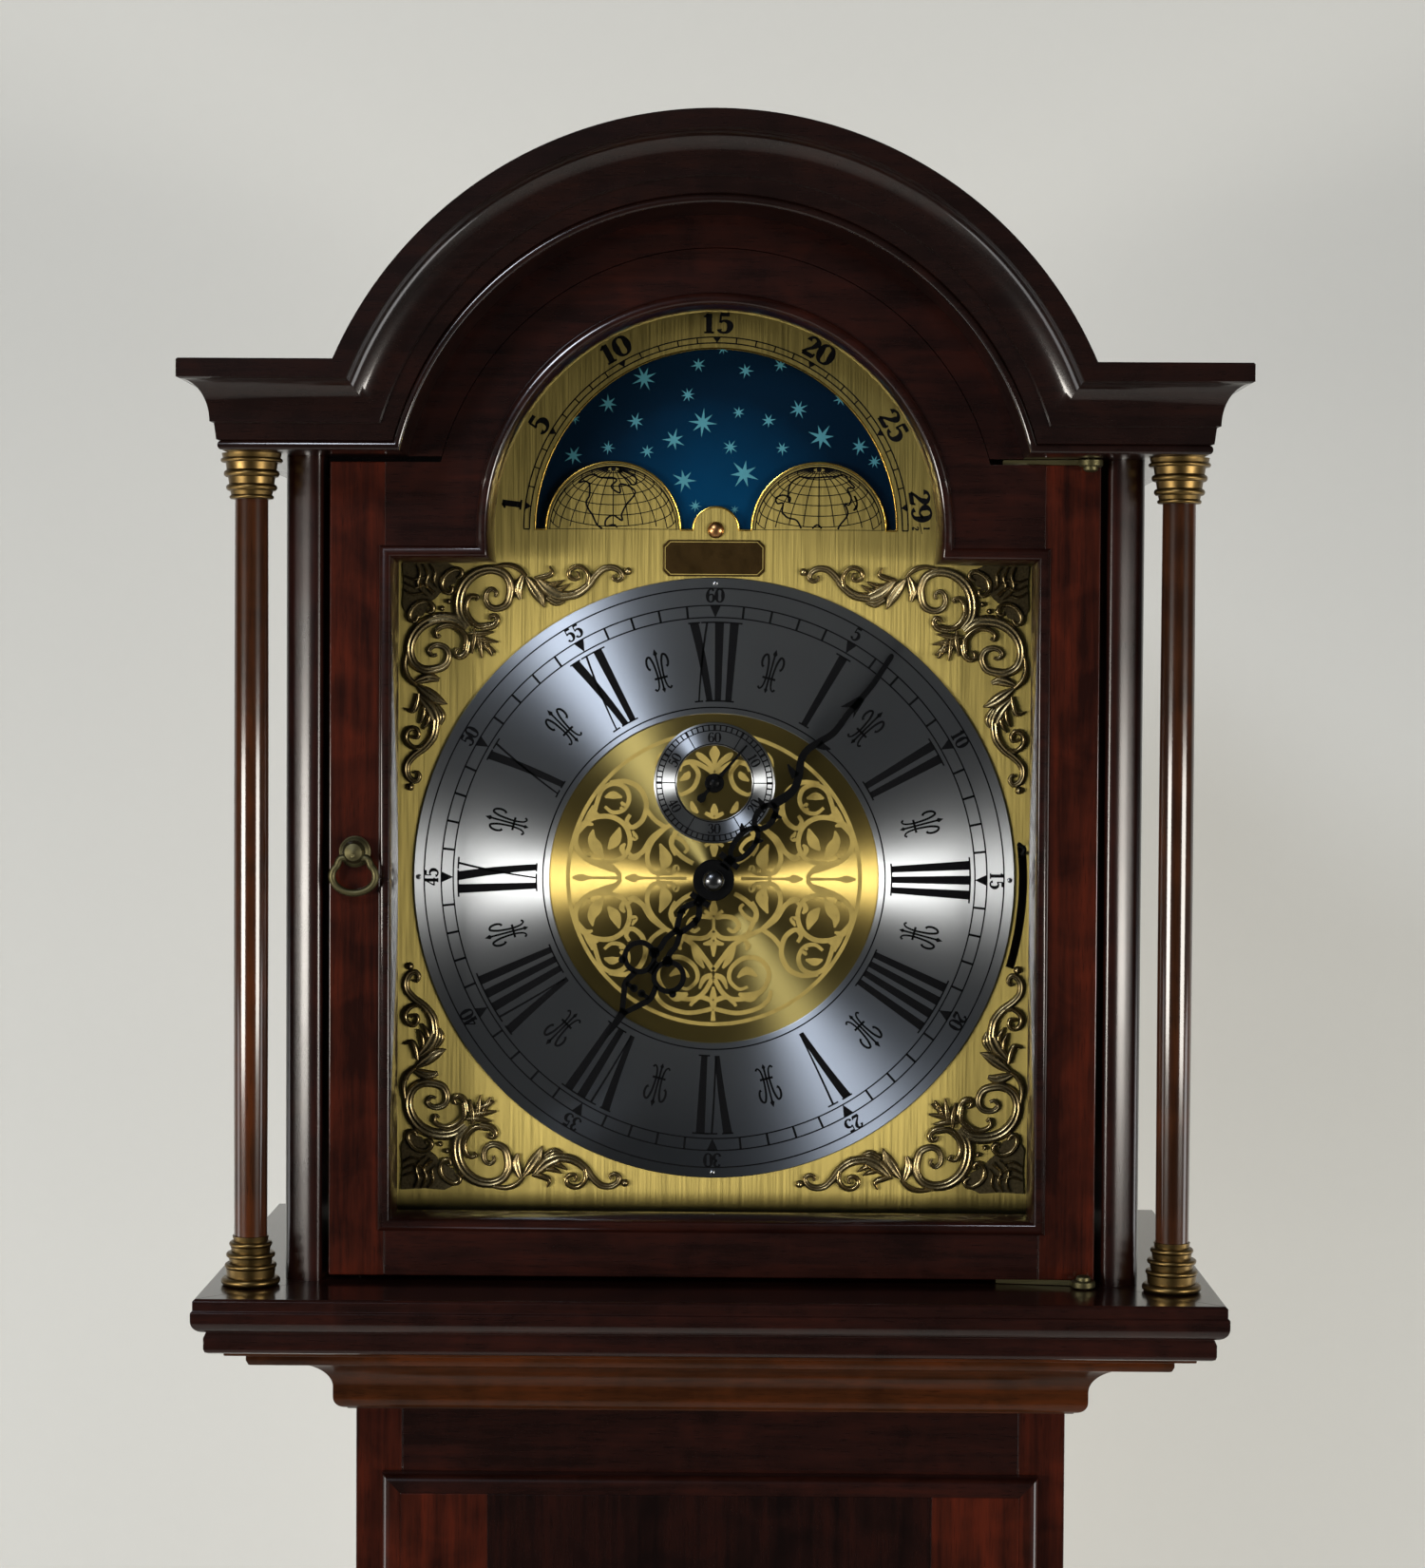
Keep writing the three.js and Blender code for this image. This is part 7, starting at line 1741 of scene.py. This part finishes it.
class CLOCK_OT_movement(bpy.types.Operator):
    """Finishes the movement and hangs the pendulum, the weights on their chains and the chime rods."""

    bl_idname = "clock.movement"
    bl_label = "Movement"

    def execute(self, context):
        dress(
            "brass",
            "movement_front_plate",
            "movement_back_plate",
            "centre_wheel",
            "third_wheel",
            "escape_wheel",
        )
        dress("steel", "anchor_and_crutch")
        self.pendulum()
        self.chime_rods()
        for name, x in (("left", -62), ("middle", 0), ("right", 62)):
            self.chain_wheel(name, x)
            self.weight(name, x - CHAIN_WHEEL)
            self.chain(name, x)
        return {"FINISHED"}

    def pendulum(self):
        """Wooden lath on a flat spring, with a lens-shaped brass bob above its rating nut."""
        low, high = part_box("pendulum_rod")
        bob_low, bob_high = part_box("pendulum_bob")
        depth, middle = (low.y + high.y) * 500 - FRONT, (bob_low.z + bob_high.z) * 500
        nut = bob_low.z * 1000 - 0.4
        top = high.z * 1000
        spring = Shape().slab(
            [[(-4, top - 34), (4, top - 34), (4, top), (-4, top)]], depth - 0.3, depth + 0.3
        )
        finish_piece("suspension_spring", spring, "steel", "pendulum", ("pendulum_rod",))
        lath = Shape().slab(
            [[(-5, nut - 3), (5, nut - 3), (5, top - 30), (-5, top - 30)]], depth - 2.5, depth + 2.5
        )
        finish_piece("pendulum_lath", lath, "upright", "pendulum", bevel=0.0006)
        screwed = [
            (AXIS, -26), (1.6, -26), (2, -25.4), (2, -8), (8.4, -7.6), (9, -7), (9, -0.6), (8.4, 0), (AXIS, 0)
        ]
        screw = Shape().lathe([(r, nut + z) for r, z in screwed], 0, depth, 48)
        finish_piece("rating_nut", screw, "brass", "pendulum")
        side = [
            (AXIS, 11), (20, 10.4), (33, 8.7), (43, 6.4), (49, 4.4), (51.5, 3), (52.6, 3.1), (54, 2.6),
            (55, 1.3),
        ]
        profile = [(r, depth - t) for r, t in side] + [(r, depth + t) for r, t in reversed(side)]
        lens = Shape().turned(profile, 0, middle, 128)
        finish_piece("bob_lens", lens, "brass", "pendulum", ("pendulum_bob",))

    def chime_rods(self):
        """Eight rods of falling length screwed into an iron block."""
        low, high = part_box("chime_rods")
        top, front, back = high.z * 1000, low.y * 1000 - FRONT, high.y * 1000 - FRONT
        iron = Shape().slab([[(-55, top - 26), (55, top - 26), (55, top), (-55, top)]], front, back)
        finish_piece("chime_block", iron, "hands", "case", ("chime_rods",), bevel=0.001)
        rods = Shape()
        for i in range(8):
            foot = top - 26 - 230 - 22 * i
            profile = [
                (AXIS, foot), (1.7, foot), (2, foot + 0.4), (2, top - 36), (1.2, top - 28), (1.2, top - 25)
            ]
            rods.lathe(profile, 13.75 * i - 48.125, (front + back) / 2 - 3, 16)
        finish_piece("chime_rod_set", rods, "steel", "case", ("chime_rods",))

    def chain_wheel(self, name, x):
        """Grooved wheel with its ratchet on one arbor."""
        low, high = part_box(f"chain_wheel_{name}")
        front, back = low.y * 1000 - FRONT, high.y * 1000 - FRONT
        rim = [(11.7, 2.3), (17.6, 2.3), (18, 2.7), (18, 4.4), (17.6, 4.8), (2.5, 4.8)]
        profile = [(AXIS, front), (2.5, front), *((r, CHAIN_Y - d) for r, d in reversed(rim))]
        profile += [*((r, CHAIN_Y + d) for r, d in rim), (2.5, back), (AXIS, back)]
        shape = Shape().turned(profile, x, WHEEL_Z, 64)
        tooth = ((13, 0), (17, 2))
        saw = [arc(x, WHEEL_Z, r, 36 * k + lead, 36 * k + lead, 1)[0] for k in range(10) for r, lead in tooth]
        shape.slab([saw], CHAIN_Y + 6.3, CHAIN_Y + 8.3)
        node = f"chain_wheel_{name}"
        finish_piece(f"spool_{name}", shape, "brass", node, (node,))

    def weight(self, name, x):
        """Brass-cased weight with turned caps and a hook."""
        low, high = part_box(f"weight_{name}")
        foot, top = low.z * 1000, high.z * 1000
        cap = [
            (AXIS, 0), (15, 0), (18, 0.8), (21, 3), (22.2, 6), (25.2, 6.6), (26, 7.6), (26, 11), (25.4, 12)
        ]
        profile = [(r, foot + z) for r, z in cap] + [(r, foot + 180 - z) for r, z in reversed(cap[1:])]
        profile += [
            (5, foot + 180.5), (3.4, foot + 184), (3.4, top - 8), (4.4, top - 6), (4.4, top - 3), (3, top - 1)
        ]
        shape = Shape().lathe([*profile, (AXIS, top)], x, CHAIN_Y, 80)
        node = f"weight_{name}"
        finish_piece(f"weight_shell_{name}", shape, "brass", node, (node,))

    def chain(self, name, x):
        """Oval links: a run hanging down to its weight, and a fixed length over the wheel."""
        pitch = mm(metal_values().chain_link)
        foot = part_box(f"weight_{name}")[1].z * 1000
        count = int((WHEEL_Z - foot) / pitch)
        step = (WHEEL_Z - foot) / count
        run = Shape()
        for i in range(count):
            self.link(run, (x - CHAIN_WHEEL, WHEEL_Z - step * (i + 0.5)), (0, 1), step, i % 2)
        hanging = finish_piece(f"chain_run_{name}", run, "steel", "case", (f"chain_{name}",))
        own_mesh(hanging)
        over = Shape()
        bends = 6
        for i in range(bends):
            turn = math.pi * (1 - (i + 0.5) / bends)
            place = (x + CHAIN_WHEEL * math.cos(turn), WHEEL_Z + CHAIN_WHEEL * math.sin(turn))
            self.link(
                over, place, (math.sin(turn), -math.cos(turn)), math.pi * CHAIN_WHEEL / bends, (i + 1) % 2
            )
        for i in range(int(CHAIN_TAIL / pitch)):
            self.link(over, (x + CHAIN_WHEEL, WHEEL_Z - pitch * (i + 0.5)), (0, -1), pitch, (i + 1) % 2)
        finish_piece(f"chain_tail_{name}", over, "steel", "case", (f"chain_{name}",))

    def link(self, shape, place, along, pitch, turned):
        """One oval link of round wire, every other one turned a quarter."""
        wire, half = 0.5, 1.45
        reach = pitch / 2 + wire - half
        path = []
        for sign in (1, -1):
            for k in range(5):
                turn = math.pi * k / 4
                u, v = sign * (reach + half * math.sin(turn)), sign * half * math.cos(turn)
                side = (0, v) if turned else (v, 0)
                x = place[0] + along[0] * u + along[1] * side[0]
                z = place[1] + along[1] * u - along[0] * side[0]
                path.append((x, CHAIN_Y + side[1], z))
        shape.tube(path, wire, 6, closed=True)


# Stage


class CLOCK_OT_stage(bpy.types.Operator):
    """Sets the pale wall and floor, the soft lights and the camera."""

    bl_idname = "clock.stage"
    bl_label = "Stage"
    # Depths of the floor's front edge and of the wall, and the reach to either side and upwards, in metres.
    FLOOR_EDGE = -2.2
    WALL = 0.62
    REACH = 5.0

    def execute(self, context):
        self.backdrop()
        dial = (0, -0.03, 1.46)
        self.lamp("key", (-0.8, -1.75, 2.6), dial, 0.4, 0.4, 22, "#eaf1ff")
        self.lamp("side_left", (-1.65, -1.5, 1.3), dial, 1.0, 0.35, 40, "#fff9f0")
        self.lamp("side_right", (1.65, -1.5, 1.3), dial, 1.0, 0.35, 34, "#fff9f0")
        self.lamp("wall_left", (-1.3, -0.1, 0.8), (-0.5, self.WALL, 1.0), 0.6, 1.0, 7)
        self.lamp("wall_right", (1.3, -0.1, 0.8), (0.5, self.WALL, 1.0), 0.6, 1.0, 10)
        world = bpy.data.worlds.new("studio")
        world.use_nodes = True
        tree = world.node_tree
        # Past the wall and the drape, the camera, metal and glass see the wall's own pale tone.
        rays = add(tree, "ShaderNodeLightPath").outputs
        seen = rays["Is Camera Ray"]
        for kind in ("Is Glossy Ray", "Is Transmission Ray"):
            seen = add(tree, "ShaderNodeMath", {0: seen, 1: rays[kind]}, operation="MAXIMUM")
        room, pale = shade(linear("#c9ccd0"), 0.06), linear("#c8c7c3")
        self.drape(room)
        tone = add(tree, "ShaderNodeMix", {"Factor": seen, "A": room, "B": pale}, data_type="RGBA")
        feed(tree.nodes["Background"], {"Color": tone})
        context.scene.world = world
        context.scene.view_settings.view_transform = "Standard"
        self.camera(context)
        return {"FINISHED"}

    def backdrop(self):
        """Wall and floor in one sweep with a rounded foot, in two matt paints."""
        radius = 0.12
        bend = arc(self.WALL - radius, radius, radius, -90, 0, 10)
        curve = [(self.FLOOR_EDGE, 0.0), *bend, (self.WALL, self.REACH)]
        mesh = bpy.data.meshes.new("backdrop")
        points = [(x, y, z) for x in (self.REACH, -self.REACH) for y, z in curve]
        count = len(curve)
        faces = [(i, i + 1, count + i + 1, count + i) for i in range(count - 1)]
        mesh.from_pydata(points, [], faces)
        for face in mesh.polygons:
            face.use_smooth = True
        values = metal_values()
        for name, colour in (
            ("matt wall paint", values.stage_wall), ("pale floor paint", values.stage_floor)
        ):
            paint = enamel(name, colour, 0.9, uneven=0.01)
            self.open_behind(paint)
            mesh.materials.append(paint)
        mesh.polygons[0].material_index = 1
        piece = bpy.data.objects.new("backdrop", mesh)
        bpy.context.scene.collection.objects.link(piece)

    def drape(self, tone):
        """Charcoal cloth round the front and overhead, hidden from the camera, that glows with a dim room's
        light.
        The photograph's metal and polish mirror a dim room, and the cloth's glow stands for it."""
        side, back, front = self.REACH, self.WALL, self.FLOOR_EDGE
        plan = [(side, back), (side, front), (-side, front), (-side, back)]
        mesh = bpy.data.meshes.new("drape")
        points = [(x, y, z) for z in (0.0, self.REACH) for x, y in plan]
        mesh.from_pydata(points, [], [(0, 1, 5, 4), (1, 2, 6, 5), (2, 3, 7, 6), (4, 5, 6, 7)])
        cloth = bpy.data.materials.new("charcoal cotton drape, glowing with dim room light")
        cloth.use_nodes = True
        # The cloth glows with the dim room's tone: it lights the clock faintly and shows as the dark room in
        # metal and polish.
        painted(
            cloth, Base_Color=linear("#161617"), Roughness=1.0, Emission_Color=tone, Emission_Strength=1.0
        )
        mesh.materials.append(cloth)
        piece = bpy.data.objects.new("drape", mesh)
        piece.visible_camera = False
        bpy.context.scene.collection.objects.link(piece)

    def open_behind(self, paint):
        """Lets the camera look through the paint's back, so that the clock's back can be seen."""
        tree = paint.node_tree
        output = tree.nodes["Material Output"]
        front = output.inputs["Surface"].links[0].from_socket
        seen = add(tree, "ShaderNodeLightPath").outputs["Is Camera Ray"]
        behind = add(tree, "ShaderNodeNewGeometry").outputs["Backfacing"]
        share = add(tree, "ShaderNodeMath", {0: seen, 1: behind}, operation="MULTIPLY")
        clear = add(tree, "ShaderNodeBsdfTransparent")
        feed(output, {"Surface": add(tree, "ShaderNodeMixShader", {0: share, 1: front, 2: clear})})

    def lamp(self, name, place, target, width, height, power, tint="#ffffff"):
        """A soft box turned to a point."""
        light = bpy.data.lights.new(name, "AREA")
        light.shape = "RECTANGLE"
        light.size, light.size_y = width, height
        light.energy = power
        light.color = linear(tint)[:3]
        lamp = bpy.data.objects.new(name, light)
        lamp.location = place
        lamp.rotation_euler = (Vector(target) - Vector(place)).to_track_quat("-Z", "Y").to_euler()
        bpy.context.scene.collection.objects.link(lamp)

    def camera(self, context):
        """A long lens at dial height, as the clock was photographed."""
        yaw, pitch, roll = math.radians(-0.57), math.radians(1.83), math.radians(0.33)
        level = Vector((math.sin(yaw), math.cos(yaw), 0))
        right = Vector((math.cos(yaw), -math.sin(yaw), 0))
        forward = level * math.cos(pitch) - Vector((0, 0, 1)) * math.sin(pitch)
        up = right.cross(forward)
        tilted = right * math.cos(roll) + up * math.sin(roll)
        upright = up * math.cos(roll) - right * math.sin(roll)
        lens = bpy.data.cameras.new("camera")
        lens.lens = 76.34
        lens.sensor_width = 36
        camera = bpy.data.objects.new("camera", lens)
        axes = Matrix((tilted, upright, -forward)).transposed().to_4x4()
        camera.matrix_world = Matrix.Translation((0.0135, -1.47615, 1.5461)) @ axes
        context.scene.collection.objects.link(camera)
        context.scene.camera = camera


class CLOCK_PT_panel(bpy.types.Panel):
    """Lists the clock's sizes, colours and building steps."""

    bl_idname = "CLOCK_PT_panel"
    bl_label = "Grandmother clock"
    bl_space_type = "VIEW_3D"
    bl_region_type = "UI"
    bl_category = "Clock"

    def draw(self, context):
        for values in (context.scene.clock_case, context.scene.clock_dial, context.scene.clock_metal):
            box = self.layout.box()
            for name in values.__annotations__:
                box.prop(values, name)
        for operator in OPERATORS:
            self.layout.operator(operator.bl_idname)


GROUPS = {"clock_case": ClockCase, "clock_dial": ClockDial, "clock_metal": ClockMetal}
OPERATORS = (
    CLOCK_OT_hood,
    CLOCK_OT_columns,
    CLOCK_OT_hood_door,
    CLOCK_OT_trunk,
    CLOCK_OT_base,
    CLOCK_OT_dial_plate,
    CLOCK_OT_chapter_ring,
    CLOCK_OT_dial_centre,
    CLOCK_OT_moon,
    CLOCK_OT_spandrels,
    CLOCK_OT_hands,
    CLOCK_OT_movement,
    CLOCK_OT_stage,
)


def register():
    for kind in (*GROUPS.values(), *OPERATORS, CLOCK_PT_panel):
        bpy.utils.register_class(kind)
    for name, group in GROUPS.items():
        setattr(bpy.types.Scene, name, PointerProperty(type=group))


def unregister():
    for name in GROUPS:
        delattr(bpy.types.Scene, name)
    for kind in (CLOCK_PT_panel, *reversed(OPERATORS), *GROUPS.values()):
        bpy.utils.unregister_class(kind)


def main():
    register()
    for operator in OPERATORS:
        group, name = operator.bl_idname.split(".")
        getattr(getattr(bpy.ops, group), name)()


if __name__ == "__main__":
    main()
